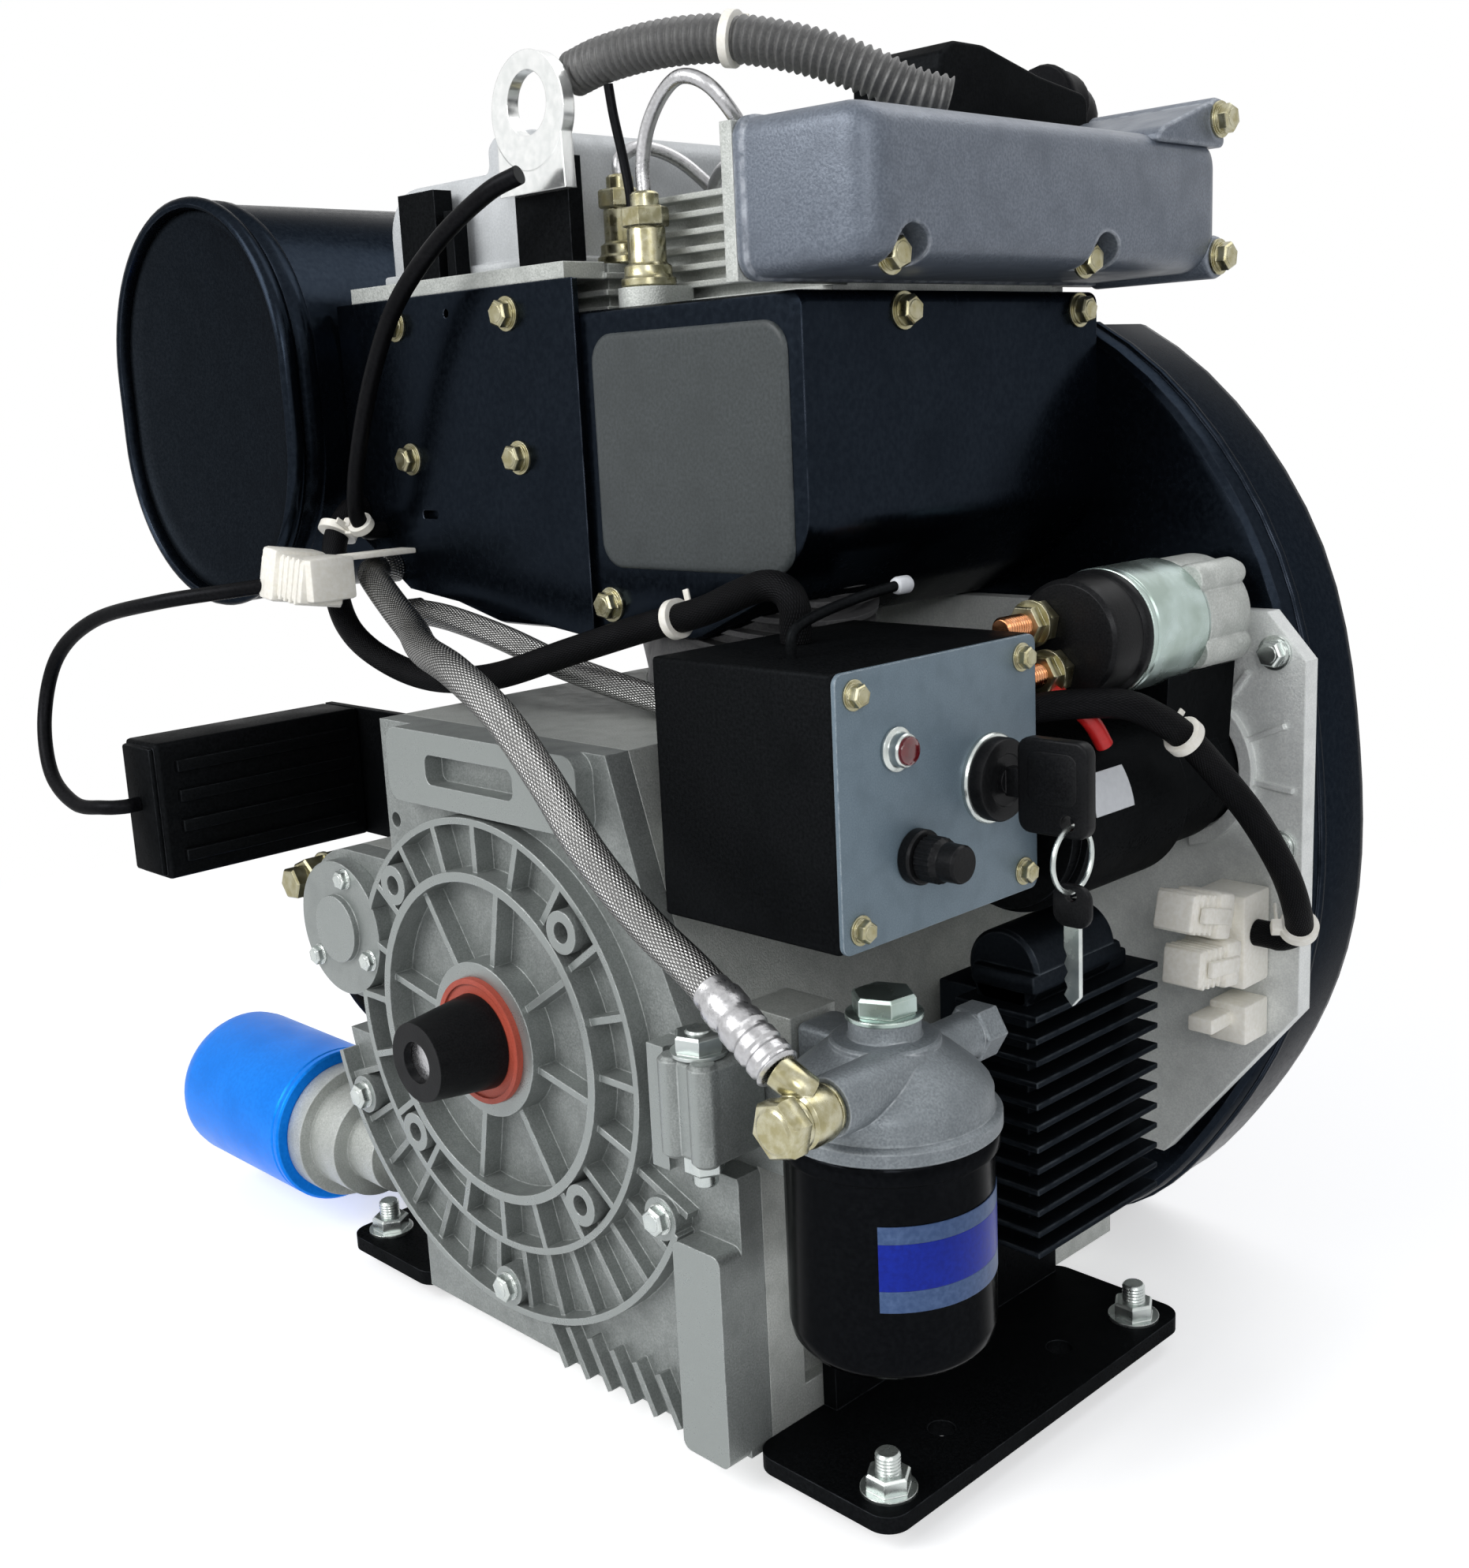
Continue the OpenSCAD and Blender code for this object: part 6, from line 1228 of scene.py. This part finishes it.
@dataclass
class ControlBox:
    """The box at the side with its panel, lamp, key switch, keys, fuse and stop lever."""

    bench: Bench
    face: float = 200.0
    key: Point = (93.0, 121.0)
    lamp: Point = (40.0, 141.0)
    fuse: Point = (49.0, 101.0)
    ring_z: float = 95.53
    hole_x: float = 236.0

    def build(self) -> None:
        """Makes every piece of the control box."""
        F, bench, x = Finishes, self.bench, self.face
        bench.build(Shape().block((110, 10, 73), (x - 2, 122, 171), 1.6, 3), "control_case", F.SATIN,
                    ["control_box"])
        bench.build(Shape().prism(rectangle(10, 73, 122, 171, 4), Plane.X, x - 2, x, 0.45), "panel_plate",
                    F.PANEL, ["control_panel"])
        bezel = Shape().lathe([(5, -12), (5, -2), (7.6, 0), (7.9, 0.4), (7.9, 1.3), (6.3, 1.9), (6.1, 2.4),
                               (6.1, 5.2), (5.6, 5.8), (4.8, 5.8)], Plane.X, *self.lamp, base=x)
        bench.build(bezel, "lamp_bezel", F.ZINC)
        lens = Shape().lathe([(5.2, 5), (5.3, 5.9), (5.0, 7.0), (4.0, 7.8), (2.2, 8)], Plane.X, *self.lamp,
                             16, base=x)
        bench.build(lens, "lamp_lens", F.LAMP, ["warning_lamp"])
        self.switch()
        self.keys()
        self.fuse_set()
        self.lever()

    def switch(self) -> None:
        """Makes the key switch: a bright ring round a black barrel with a slot."""
        x = self.face
        ring = Shape().lathe([(15.4, 0), (17, 0), (17, 1.4), (16.4, 2.2), (15.4, 2.4)], Plane.X, *self.key,
                             56, base=x)
        self.bench.build(ring, "switch_ring", Finishes.ZINC)
        barrel = Shape().lathe([(13, -40), (13, -2), (15.6, 0.4), (15.6, 6.4), (15, 7.4), (13.6, 7.9),
                                (10, 8), (9.4, 7.2), (6, 7.0)], Plane.X, *self.key, 56, base=x)
        self.bench.build(barrel, "switch_barrel", Finishes.PLASTIC, ["key_switch"])

    def keys(self) -> None:
        """Makes the key in the switch, the split ring and the second key that hangs from it."""
        F, bench, (y, z), x = Finishes, self.bench, self.key, self.face
        bow = Shape().prism(rectangle(x + 14.3, z - 17.6, x + 44.3, z + 17.6, 5), Plane.Y, y - 3, y + 3,
                            1.1, 3)
        hole = Shape().lathe([(3, y - 9), (3, y + 9)], Plane.Y, self.hole_x, 109, 24)
        bench.mount(cut(bow.mesh("key_bow"), [hole]), "key_bow", F.PLASTIC, ["ignition_key"], "ignition_key")
        neck = Shape().block((x + 8.3, y - 2.5, z - 5.5), (x + 15, y + 2.5, z + 5.5), 0.8)
        neck.lathe([(4.9, x - 8), (4.9, x + 9)], Plane.X, y, z, 24)
        for side in (-1, 1):
            neck.prism(rectangle(x + 19, z - 6, x + 40, z + 13, 4), Plane.Y, y + side * 2.9 - 0.4,
                       y + side * 2.9 + 0.4, 0.3)
        bench.build(neck, "key_neck", F.PLASTIC, body="ignition_key")
        loop = []
        for k in range(72):
            a = TAU * k / 72
            out = Vector((0, math.cos(a), math.sin(a)))
            centre = Vector((self.hole_x, y, self.ring_z)) + out * 12
            loop.append([centre + (out * math.cos(b) + Vector((math.sin(b), 0, 0))) for b in
                         (TAU * j / 12 for j in range(12))])
        bench.build(Shape().loft(loop, closed=True), "split_ring", F.ZINC, ["key_ring"], "key_ring")
        top = self.ring_z - 13.25
        head = Shape().prism(rectangle(self.hole_x - 8, top - 12, self.hole_x + 8, top + 4, 5.5), Plane.Y,
                             y - 1.2, y + 1.2, 0.5, 2)
        hole = Shape().lathe([(2.4, y - 6), (2.4, y + 6)], Plane.Y, self.hole_x, top, 20)
        bench.mount(cut(head.mesh("spare_key_head"), [hole]), "spare_key_head", F.PLASTIC, ["spare_key"],
                    "key_ring")
        hx = self.hole_x
        blade = [(hx - 3.5, top - 11), (hx + 3.5, top - 11), (hx + 3.5, top - 38), (hx, top - 42),
                 (hx - 3.5, top - 38), (hx - 2, top - 35), (hx - 3.4, top - 32), (hx - 1.8, top - 29),
                 (hx - 3.4, top - 26), (hx - 2.2, top - 23), (hx - 3.5, top - 20)]
        bench.build(Shape().prism(blade, Plane.Y, y - 1, y + 1, 0.25, 1), "spare_key_blade", F.ZINC,
                    body="key_ring")

    def fuse_set(self) -> None:
        """Makes the fuse holder's collar and its fluted cap."""
        collar = Shape().lathe([(6, -30), (6, -2), (9.6, 0), (10, 0.5), (10, 4.2), (9.4, 5), (7, 5)],
                               Plane.X, *self.fuse, base=self.face)
        self.bench.build(collar, "fuse_collar", Finishes.PLASTIC, ["fuse_holder"])
        rings = []
        for r, h in ((3.9, -10), (3.9, 5.3), (7.8, 5.4), (8.4, 6), (8.4, 12.4), (7.4, 14), (7.0, 14.6),
                     (6.9, 21), (6.3, 22)):
            flute = 0.45 if 7.8 <= r and h > 5.5 else 0.0
            rings.append([Plane.X.place(*polar(r - flute * (k % 2), 7.5 * k, *self.fuse), self.face + h)
                          for k in range(48)])
        self.bench.build(Shape().loft(rings), "fuse_grip", Finishes.PLASTIC, ["fuse_cap"], "fuse_cap", 0.4)

    def lever(self) -> None:
        """Makes the bent stop lever with its pale tip."""
        route = [(160, 32, 159.5), (160, 32, 168), (160, 32, 176), (160.2, 34, 180.6), (160, 40, 183),
                 (161, 52, 186), (163, 68, 189), (165, 84, 191)]
        self.bench.build(Shape().tube(smooth_path(route), 2.0, 12), "stop_wire", Finishes.SATIN,
                         ["stop_lever"], "stop_lever", SOFT)
        tip = Shape().lathe([(2.2, 83.4), (3, 84), (3.4, 85.2), (3.4, 90.4), (2.6, 91.6), (1.2, 92)],
                            Plane.Y, 165, 191, 20)
        self.bench.build(tip, "stop_tip", Finishes.LABEL, body="stop_lever")


@dataclass
class FuelFilter:
    """The cast head, the black canister with its bands, and the banjo joints."""

    bench: Bench
    x: float = 200.0
    y: float = 30.0
    can_r: float = 38.0
    banjo: Point = (212.0, 30.0)
    left_banjo: Point = (-161.5, 40.0)

    def build(self) -> None:
        """Makes every piece of the fuel filter."""
        F, bench = Finishes, self.bench
        head = Shape().lathe([(40, 7), (41, 7.8), (41, 12.4), (40.2, 13.4), (38.4, 14), (38, 15),
                              (38, 20.6), (37, 23), (34, 26.6), (27, 32.6), (24, 35), (21, 36.4),
                              (20, 37.6), (20, 39.2), (19, 40), (13.4, 40.4), (13, 41), (13, 46.6),
                              (12.4, 47)], Plane.Z, self.x, self.y, 64)
        head.lathe([(9, 28), (11, 27), (11, -12.6), (10.4, -14)], Plane.Y, *self.banjo, 40)
        head.stack(Plane.Y, self.x, 26, ((32, 0, (7, 32), (9, 34), (9, 82), (8, 83)),
                                         (6, 0, (10.2, 76), (11, 77), (11, 87), (10.2, 88))))
        head.block((140.3, 46, 9), (190, 68, 26), 3, 3)
        bench.build(head, "filter_head_casting", F.HEAD, ["fuel_filter_head"])
        r = self.can_r
        can = Shape().lathe([(24, -77), (30, -76.5), (34.4, -74.4), (37, -71), (r, -66), (r, -1.4),
                             (r + 0.4, -0.6), (39.6, 0), (40, 0.8), (40, 5.8), (39.4, 6.7)], Plane.Z,
                            self.x, self.y, 64)
        can.lathe([(9, -77), (9, -82.4), (8.2, -83)], Plane.Z, self.x, self.y, 6)
        bench.build(can, "filter_canister", F.CAN, ["fuel_filter_can"])
        for name, finish, low, high in (("blue", F.BAND, -39, -21.5), ("low", F.STRIPE, -47, -39),
                                        ("high", F.STRIPE, -21.5, -15)):
            self.band("filter_band_" + name, finish, low, high)
        self.joints()

    def band(self, name: str, finish: Finish, low: float, high: float) -> None:
        """Makes one printed band of the canister's bare label, between two heights."""
        back, face = self.can_r - 0.1, self.can_r + 0.18
        section = ((back, low), (face, low), (face, high), (back, high))
        self.bench.build(Shape().bent(section, Plane.Z, self.x, self.y, -56, 120, 40), name, finish)

    def joints(self) -> None:
        """Makes the banjo joints, the vent plug and the side plug."""
        parts = Shape().stack(Plane.Y, *self.banjo, (
            (32, 0, (8.4, -14.1), (9, -14.4), (9, -15.7), (8.4, -16)),
            (36, 0, (8.4, -16.1), (10, -17.4), (10.4, -20), (10.4, -26), (10, -28.6), (8.4, -29.9)),
            (32, 0, (8.6, -30), (9.4, -30.3), (9.4, -31.7), (9, -32)),
            (6, 0.3, (10.6, -32), (11, -32.8), (11, -38.6), (10, -40)),
            (24, 0, (7, -40.7), (8, -40), (8, -39))))
        parts.tube(smooth_path([(212, -23, 38), (210, -25, 40.4), (207.5, -26, 42.4), (203, -27, 45)], 4),
                   6.2, 16)
        parts.lathe([(7.4, 140), (8, 140.6), (8, 147), (7.2, 148)], Plane.X, 74, -26, 6)
        parts.stack(Plane.Y, *self.left_banjo, (
            (36, 0, (9.8, 30), (11, 31.4), (11, 45.6), (9.8, 47)),
            (36, 0, (11.4, 27.9), (11.8, 28.2), (11.8, 29.6), (11.4, 29.9)),
            (6, 0.4, (10, 16), (11, 17), (11, 26.8), (10.4, 27.8)),
            (6, 0.1, (7.4, 8), (8.2, 9), (8.2, 15.2), (7.6, 15.9))))
        self.bench.build(parts, "banjo_joints", Finishes.YELLOW, ["banjo_fittings"])
        plug = Shape().stack(Plane.Z, self.x, self.y, (
            (36, 0, (13.6, 46.9), (14, 47.2), (14, 48.6), (13.4, 49)),
            (6, 0.4, (11.4, 49.1), (12, 49.6), (12, 54.8), (11, 56))))
        self.bench.build(plug, "filter_top_plug", Finishes.GREEN_ZINC)


@dataclass
class StarterSet:
    """The solenoid, its terminals and the starter's bare label."""

    bench: Bench
    motor: Point = (178.0, 93.0)
    coil: Point = (190.0, 163.0)
    terminals: tuple = ((180.0, 170.0), (187.0, 151.0))

    def build(self) -> None:
        """Makes the pieces that the starter's plain casting lacks."""
        F, bench = Finishes, self.bench
        cap = Shape().lathe([(18, 155), (22, 155.3), (23.6, 156.6), (24, 158.4), (24, 174), (25.2, 175),
                             (25.6, 176), (25.6, 178.4)], Plane.Y, *self.coil, 56)
        bench.build(cap, "solenoid_cap", F.PLASTIC)
        can = Shape().lathe([(25, 178.2), (26, 178.8), (26, 181), (25.3, 181.6), (25.3, 182.6), (26, 183.4),
                             (26, 219), (25.3, 219.8), (25, 222)], Plane.Y, *self.coil, 64)
        bench.build(can, "solenoid_can", F.GREEN_ZINC, ["starter_solenoid"])
        nose = Shape().lathe([(23, 221), (25, 223), (25, 250), (23, 257), (18, 258), (18, 261.6)], Plane.Y,
                             *self.coil, 48)
        for u, v in ((16, 17), (19, -12), (-17, 15)):
            nose.lathe([(6.4, 219), (7, 220.4), (7, 250), (5, 256)], Plane.Y, self.coil[0] + u,
                       self.coil[1] + v, 24)
        bench.build(nose, "solenoid_nose", F.CAST)
        studs, nuts = Shape(), Shape()
        for u, v in self.terminals:
            ridges = [(4.9 if k % 2 else 4.4, 142.8 - 0.75 * k) for k in range(20)]
            studs.lathe([(4.9, 150)] + ridges + [(3.9, 127.2)], Plane.Y, u, v, 24)
            nuts.stack(Plane.Y, u, v, (
                (6, 0.3, (8.2, 154.9), (8.8, 154), (8.8, 149), (8, 147.9)),
                (32, 0, (9.4, 147.9), (9.4, 146.4)),
                (6, 0, (7.6, 146.4), (8.2, 145.6), (8.2, 142.4), (7.6, 141.6))))
        bench.build(studs, "terminal_studs", F.COPPER, ["starter_terminals"])
        bench.build(nuts, "terminal_nuts", F.YELLOW)
        self.label()
        bench.hose("red_cable", [(187, 147, 145), (192, 147, 143), (198, 150, 139), (203, 155, 131),
                                 (205, 160, 122)], 3.6, F.RED)

    def label(self) -> None:
        """Makes the starter's label, left bare, as a thin bent plate."""
        section = ((36.9, 140), (37.25, 140), (37.25, 166), (36.9, 166))
        plate = Shape().bent(section, Plane.Y, *self.motor, 8, 26, 12)
        self.bench.build(plate, "starter_label", Finishes.LABEL)


@dataclass
class Electrics:
    """Rectifier with its fins, voltage regulator, nylon connectors and cable ties."""

    bench: Bench
    plugs: tuple = (((210.0, 221.0, 40.0), (-0.26, 0.0, 0.0), 1.0),
                    ((211.0, 226.0, 17.0), (-0.12, 0.0, 0.0), 1.0),
                    ((-155.0, 27.0, 188.0), (0.1, 0.16, 1.5), 1.25))

    def build(self) -> None:
        """Makes every piece."""
        F, bench = Finishes, self.bench
        core = Shape().block((140.3, 134, -62), (171, 172, 20), 1)
        core.block((170.3, 120, -78), (196, 190, 30), 1.5).block((170.3, 116, 29), (202, 178, 38), 3)
        core.lathe([(15.5, 120), (17, 121.4), (17, 172.6), (15.5, 174)], Plane.Y, 184, 36, 40)
        bench.build(core, "rectifier_core", F.LID, ["rectifier"])
        fin = Shape().block((166.3, 112, -78), (206, 198, -75.5), 0.5).mesh("fin")
        fins = bench.trees.fins.run(fin, "rectifier_fins", {"Count": 12, "Offset": [0, 0, 9 * MM]})
        bench.mount(fins, "rectifier_fins", F.LID)
        box = Shape().block((-240, -30, 43), (-208, 85, 111), 2.2, 3)
        box.block((-238.2, -33, 45), (-209.8, -29, 109), 1.6)
        bench.build(box, "regulator_box", F.SATIN, ["voltage_regulator"])
        rib = Shape().block((-209, -21, 51), (-205, 77, 57), 0.8).mesh("rib")
        ribs = bench.trees.fins.run(rib, "regulator_ribs", {"Count": 4, "Offset": [0, 0, 15 * MM]})
        bench.mount(ribs, "regulator_ribs", F.SATIN)
        self.connectors()
        self.ties()

    def connectors(self) -> None:
        """Makes the white connectors with their latches and the strap that holds the left one."""
        plugs = Shape().block((-150, 16, 178), (-127, 40, 198), 1.6)
        plugs.block((-142, 39, 195.5), (-130, 76.8, 198), 0.6)
        for k in range(3):
            plugs.block((-150.2, 18 + 7 * k, 181), (-149, 22 + 7 * k, 195), 0.4)
        plugs.block((198, 240, 2), (222, 261.7, 44), 1.6).block((204, 242, -24), (222, 261.7, -6), 1.4)
        plugs.block((203, 226, -16), (215, 243, -9), 1.2)
        for place, tilt, size in self.plugs:
            turn = Matrix.Translation(place) @ Euler(tilt).to_matrix().to_4x4() @ Matrix.Scale(size, 4)
            plugs.join(self.plug().move(turn))
        self.bench.build(plugs, "nylon_connectors", Finishes.WHITE, ["ties_and_plugs"])

    def plug(self) -> Shape:
        """Returns one connector at the origin: a shell, a wider collar, a latch and its grips."""
        one = Shape().block((-9, -19, -8), (9, 2, 8), 1.4).block((-11, 0, -10), (11, 12, 10), 1.8)
        one.block((-7, 11, -6), (7, 20, 6), 1.2).block((9.6, -14, -3.4), (12.2, 9, 3.4), 0.7)
        for k in range(4):
            one.block((-9.6, -16.5 + 4.2 * k, -8.6), (9.6, -14.7 + 4.2 * k, 8.6), 0.5)
        return one

    def ties(self) -> None:
        """Makes the cable ties, each across its route at a share of the way."""
        places = ((BUNDLE, 0.16, 8.5), (BUNDLE, 0.62, 7.0), (CONDUIT, 0.42, 9.7), (HARNESS, 0.40, 7.0),
                  (HARNESS, 0.72, 7.0), (EYE_CABLE, 0.66, 5.0))
        for i, (route, share, radius) in enumerate(places):
            path = smooth_path(route)
            k = round(share * (len(path) - 1))
            turn = (path[k + 1] - path[k - 1]).to_track_quat("Z", "Y").to_matrix().to_4x4()
            tie = Shape().lathe([(radius, -2.1), (radius + 1.2, -1.9), (radius + 1.2, 1.9), (radius, 2.1)],
                                Plane.Z, 0, 0, 32)
            tie.block((radius - 0.4, -2.8, -2.8), (radius + 4.4, 2.8, 2.8), 0.8)
            tie.block((radius + 1.2, 1.8, -1.5), (radius + 2.4, 11.2, 1.5), 0.4)
            self.bench.build(tie.move(Matrix.Translation(path[k]) @ turn), f"cable_tie_{i + 1}",
                             Finishes.WHITE)


# The routes of the hoses, cables and pipes, in millimetres, point for point those of the CAD.
FUEL = [(203, -27, 45), (188, -26, 54), (160, -21, 67), (128, -17, 80), (96, -14, 100), (72, -13, 124),
        (46, -12, 146), (10, -6, 160), (-30, 8, 164), (-64, 26, 168), (-94, 38, 175), (-118, 47, 182),
        (-138, 56, 187), (-148, 66, 188), (-148, 71, 188), (-148, 76.8, 188)]
RETURN = [(-130, 76.8, 168), (-130, 73, 168), (-130, 70, 168), (-116, 66, 169), (-90, 66, 167),
          (-52, 67, 160), (-14, 69, 150), (20, 72, 143), (44, 73, 139), (62, 74, 136.1), (72, 75, 135.9)]
BUNDLE = [(-172, 76.8, 216), (-172, 73, 216), (-172, 69, 216), (-171, 58, 202), (-163, 51, 178),
          (-150, 49, 160), (-122, 48, 148), (-84, 48, 142), (-40, 50, 146), (10, 54, 160), (52, 60, 172),
          (84, 62, 180), (106, 62, 188), (122, 60, 192), (132, 60, 190), (136, 60, 184), (136, 60, 178),
          (136, 60, 171.2)]
EYE_CABLE = [(-17, 66, 356), (-34, 61, 350), (-66, 58, 334), (-100, 57, 310), (-124, 57, 280),
             (-142, 57, 244), (-152, 59, 218), (-156, 66, 207), (-156, 70, 206), (-156, 73, 206),
             (-156, 76.8, 206)]
LOOP = [(-150.2, 30, 186), (-154, 30, 186), (-158, 30, 186), (-180, 6, 183), (-215, -18, 178),
        (-262, -28, 168), (-296, -34, 148), (-302, -42, 118), (-284, -50, 92), (-256, -52, 80),
        (-234, -48, 80), (-226, -41, 80), (-226, -36, 80), (-226, -33.2, 80)]
HARNESS = [(192, 122.2, 140), (192, 126, 140), (192, 130, 140), (203, 142, 141), (216, 156, 140),
           (222, 168, 134), (227, 182, 124), (232, 200, 106), (240, 214, 86), (246, 228, 62),
           (246, 240, 42), (242, 248, 31), (234, 250, 26), (230, 250, 26), (226, 250, 26), (222.2, 250, 26)]
OIL = [(-160, 38, 30.8), (-160, 38, 26), (-160, 38, 21), (-162, 37, 8), (-164, 37, -6), (-159, 42, -26),
       (-146, 53, -44), (-122, 68, -54), (-98, 75, -56), (-84, 75, -56), (-75.2, 75, -56)]
CONDUIT = [(-12, 95, 397), (8, 96, 400), (36, 103, 402), (64, 113, 400), (90, 125, 393), (110, 137, 384),
           (124, 149, 375), (134, 160, 370.5)]
BRANCH = [(8, 96, 390), (9, 97, 378), (12, 98, 362), (15, 98, 348), (15.6, 98, 340.2)]
PIPE_RIGHT = [(24, 98, 346.2), (24, 98, 356), (28, 98, 370), (38, 98, 382), (50, 98, 387), (62, 101, 382),
              (67, 110, 370), (60, 124, 361), (40, 138, 359), (18, 150, 358), (4, 158, 352), (0, 160, 340),
              (0, 160, 326), (0, 160, 318.2)]
PIPE_LEFT = [(-20, 124, 359.2), (-20, 125, 366), (-18, 136, 371), (-12, 152, 366), (-5, 168, 352),
             (-1, 180, 338), (0, 186, 332), (0, 186, 325), (0, 186, 318.2)]
INTAKE = [(-240, 243.2, 330), (-240, 250, 330), (-240, 262, 330), (-236, 284, 334), (-214, 302, 342),
          (-170, 310, 346), (-100, 312, 350), (-20, 314, 356), (40, 314, 366), (76, 312, 378),
          (82, 302, 384), (82, 292, 385)]


@dataclass
class Plumbing:
    """Hoses, cables, pipes and the injectors. Every route is the one that the CAD states."""

    bench: Bench
    hose_r: float = 7.0
    injectors: tuple = ((24.0, 98.0, 308.0), (-20.0, 124.0, 321.0))

    def build(self) -> None:
        """Makes every hose, cable and pipe."""
        F, b = Finishes, self.bench
        b.hose("fuel_hose", FUEL, self.hose_r, F.BRAID, ["braided_hoses"], sides=28, step=1.6)
        b.hose("return_hose", RETURN, self.hose_r * 0.85, F.BRAID, sides=28, step=1.6)
        b.hose("main_bundle", BUNDLE, 6, F.SLEEVE, ["wiring_loom"], sides=24)
        b.hose("eye_cable", EYE_CABLE, 4, F.RUBBER)
        b.hose("regulator_cable", LOOP, 3.6, F.RUBBER)
        b.hose("starter_harness", HARNESS, 5.85, F.SLEEVE, sides=24)
        b.hose("branch_wire", BRANCH, 2, F.RUBBER)
        b.hose("oil_line", OIL, self.hose_r * 0.8, F.SLEEVE, ["oil_hose"])
        b.hose("grey_conduit", CONDUIT, 9.4, F.CONDUIT, ["loom_conduit"], rib=(3.6, 0.085), sides=28,
               step=0.6)
        b.hose("right_pipe", PIPE_RIGHT, 3, F.STEEL, ["injection_pipes"], sides=16)
        b.hose("left_pipe", PIPE_LEFT, 3, F.STEEL, sides=16)
        self.ferrule()
        self.holders()

    def ferrule(self) -> None:
        """Makes the crimped sleeve where the fuel hose meets its banjo."""
        path = smooth_path(FUEL, 16)[:29]
        radii = [8.4 - (0.9 if k % 6 in (2, 3) else 0.0) for k in range(len(path))]
        radii[0], radii[-1] = 7.2, 7.4
        self.bench.build(Shape().tube(path, radii, 24), "hose_ferrule", Finishes.STEEL, angle=CRISP)

    def holders(self) -> None:
        """Makes the two injector holders with their unions."""
        parts = Shape()
        for x, y, z in self.injectors:
            parts.stack(Plane.Z, x, y, (
                (32, 0, (10.6, 0), (11.5, 0.8), (11.5, 3.4), (10.4, 4.2), (10, 5), (10, 8.4), (8.4, 9.4),
                 (8, 10), (8, 23), (7.4, 24)),
                (6, 0, (9.2, 24), (10, 24.8), (10, 31.2), (9.2, 32)),
                (24, 0, (6, 32), (6, 37), (5, 38))), z)
        self.bench.build(parts, "injector_holders", Finishes.YELLOW, ["injectors"])


@dataclass
class Hardware:
    """Screws, studs and nuts, and the blue oil filter."""

    bench: Bench
    cover_screws: tuple = (-90, -26, -153)
    cover_circle: float = 116.0
    pump_screws: tuple = (73, 220, 334)
    pump: Point = (-112.0, 28.0)
    foot_y: tuple = (28.0, 194.0)
    foot_x: tuple = (196.8, -131.8)
    lug_bolt: Point = (131.0, 4.0)
    housing_screws: tuple = ((222.0, 262.0, 146.0), (226.0, 262.0, 62.0))

    def build(self) -> None:
        """Makes every fastener and the oil filter."""
        F, b = Finishes, self.bench
        front = [(-131, 77, 302), (-46, 77, 302), (-127, 77, 240), (-44, 77, 240), (9, 80, 177)]
        side = [(127, 138, 292), (127, 258, 292), (166.3, 84, 309), (166.3, 204, 309), (178.3, 287, 310.54),
                (178.3, 287, 366.22)]
        b.screws("front_screws", front, TO_FRONT, F.YELLOW, stands_for=["zinc_bolts"])
        b.screws("side_screws", side, TO_RIGHT, F.YELLOW)
        panel = [(200, y, z) for y in (19, 113) for z in (81, 163)]
        b.screws("panel_screws", panel, TO_RIGHT, F.YELLOW, (4.2, 3.4, 5.4, 0.7))
        ring = [Plane.Y.place(*polar(self.cover_circle, a), 3) for a in self.cover_screws]
        b.screws("cover_screws", ring, TO_FRONT, F.ZINC, (6, 4, 6.4, 0.5), ["case_bolts"])
        pump = [Plane.Y.place(*polar(26, a, *self.pump), 4) for a in self.pump_screws]
        b.screws("pump_screws", pump, TO_FRONT, F.ZINC, (4.5, 3, 5, 0.5))
        b.screws("housing_screws", self.housing_screws, TO_FRONT, F.ZINC)
        self.studs()
        can = Shape().lathe([(18, -292), (27, -291.6), (33, -290), (37.2, -286.6), (39.4, -282), (40, -277),
                             (40, -190), (39.5, -189.4), (39.5, -188.4), (40, -187.8), (40, -185.4),
                             (39, -184.3)], Plane.X, 38, -102, 64)
        b.build(can, "oil_canister", F.BLUE, ["oil_filter"])

    def studs(self) -> None:
        """Makes the lug bolt and the foot studs with their nuts."""
        parts = Shape().stack(Plane.Z, *self.lug_bolt, (
            (24, 0, (4.4, -28), (5, -27), (5, 33), (4.4, 34)),
            (32, 0, (11, 24.6), (11, 26)),
            (6, 0.3, (9.4, 26), (10, 26.8), (10, 32), (9, 33)),
            (6, 0, (7, -23), (8, -22), (8, -16.2), (7.4, -15.6))))
        thread = [(5.0 if k % 2 else 4.6, -132.6 + 0.7 * k) for k in range(11)]
        for x in self.foot_x:
            for y in self.foot_y:
                parts.stack(Plane.Z, x, y, (
                    (24, 0, (5, -148), (5, -133), *thread, (4, -125)),
                    (6, 0, (8.4, -141), (9, -140.4), (9, -134), (8, -133)),
                    (32, 0, (11, -141), (11, -139.6))))
        self.bench.build(parts, "studs_and_nuts", Finishes.ZINC)


def main() -> None:
    """Builds the studio and every sub-assembly."""
    logging.basicConfig(level=logging.INFO, format="%(name)s %(message)s")
    Studio().build()
    bench = Bench()
    for part in (Plumbing, Castings, ValveCovers, Cowling, AirCleaner, ControlBox, FuelFilter, StarterSet,
                 Electrics, Hardware):
        part(bench).build()
        LOG.info("%s is done", part.__name__)


if __name__ == "__main__":
    main()
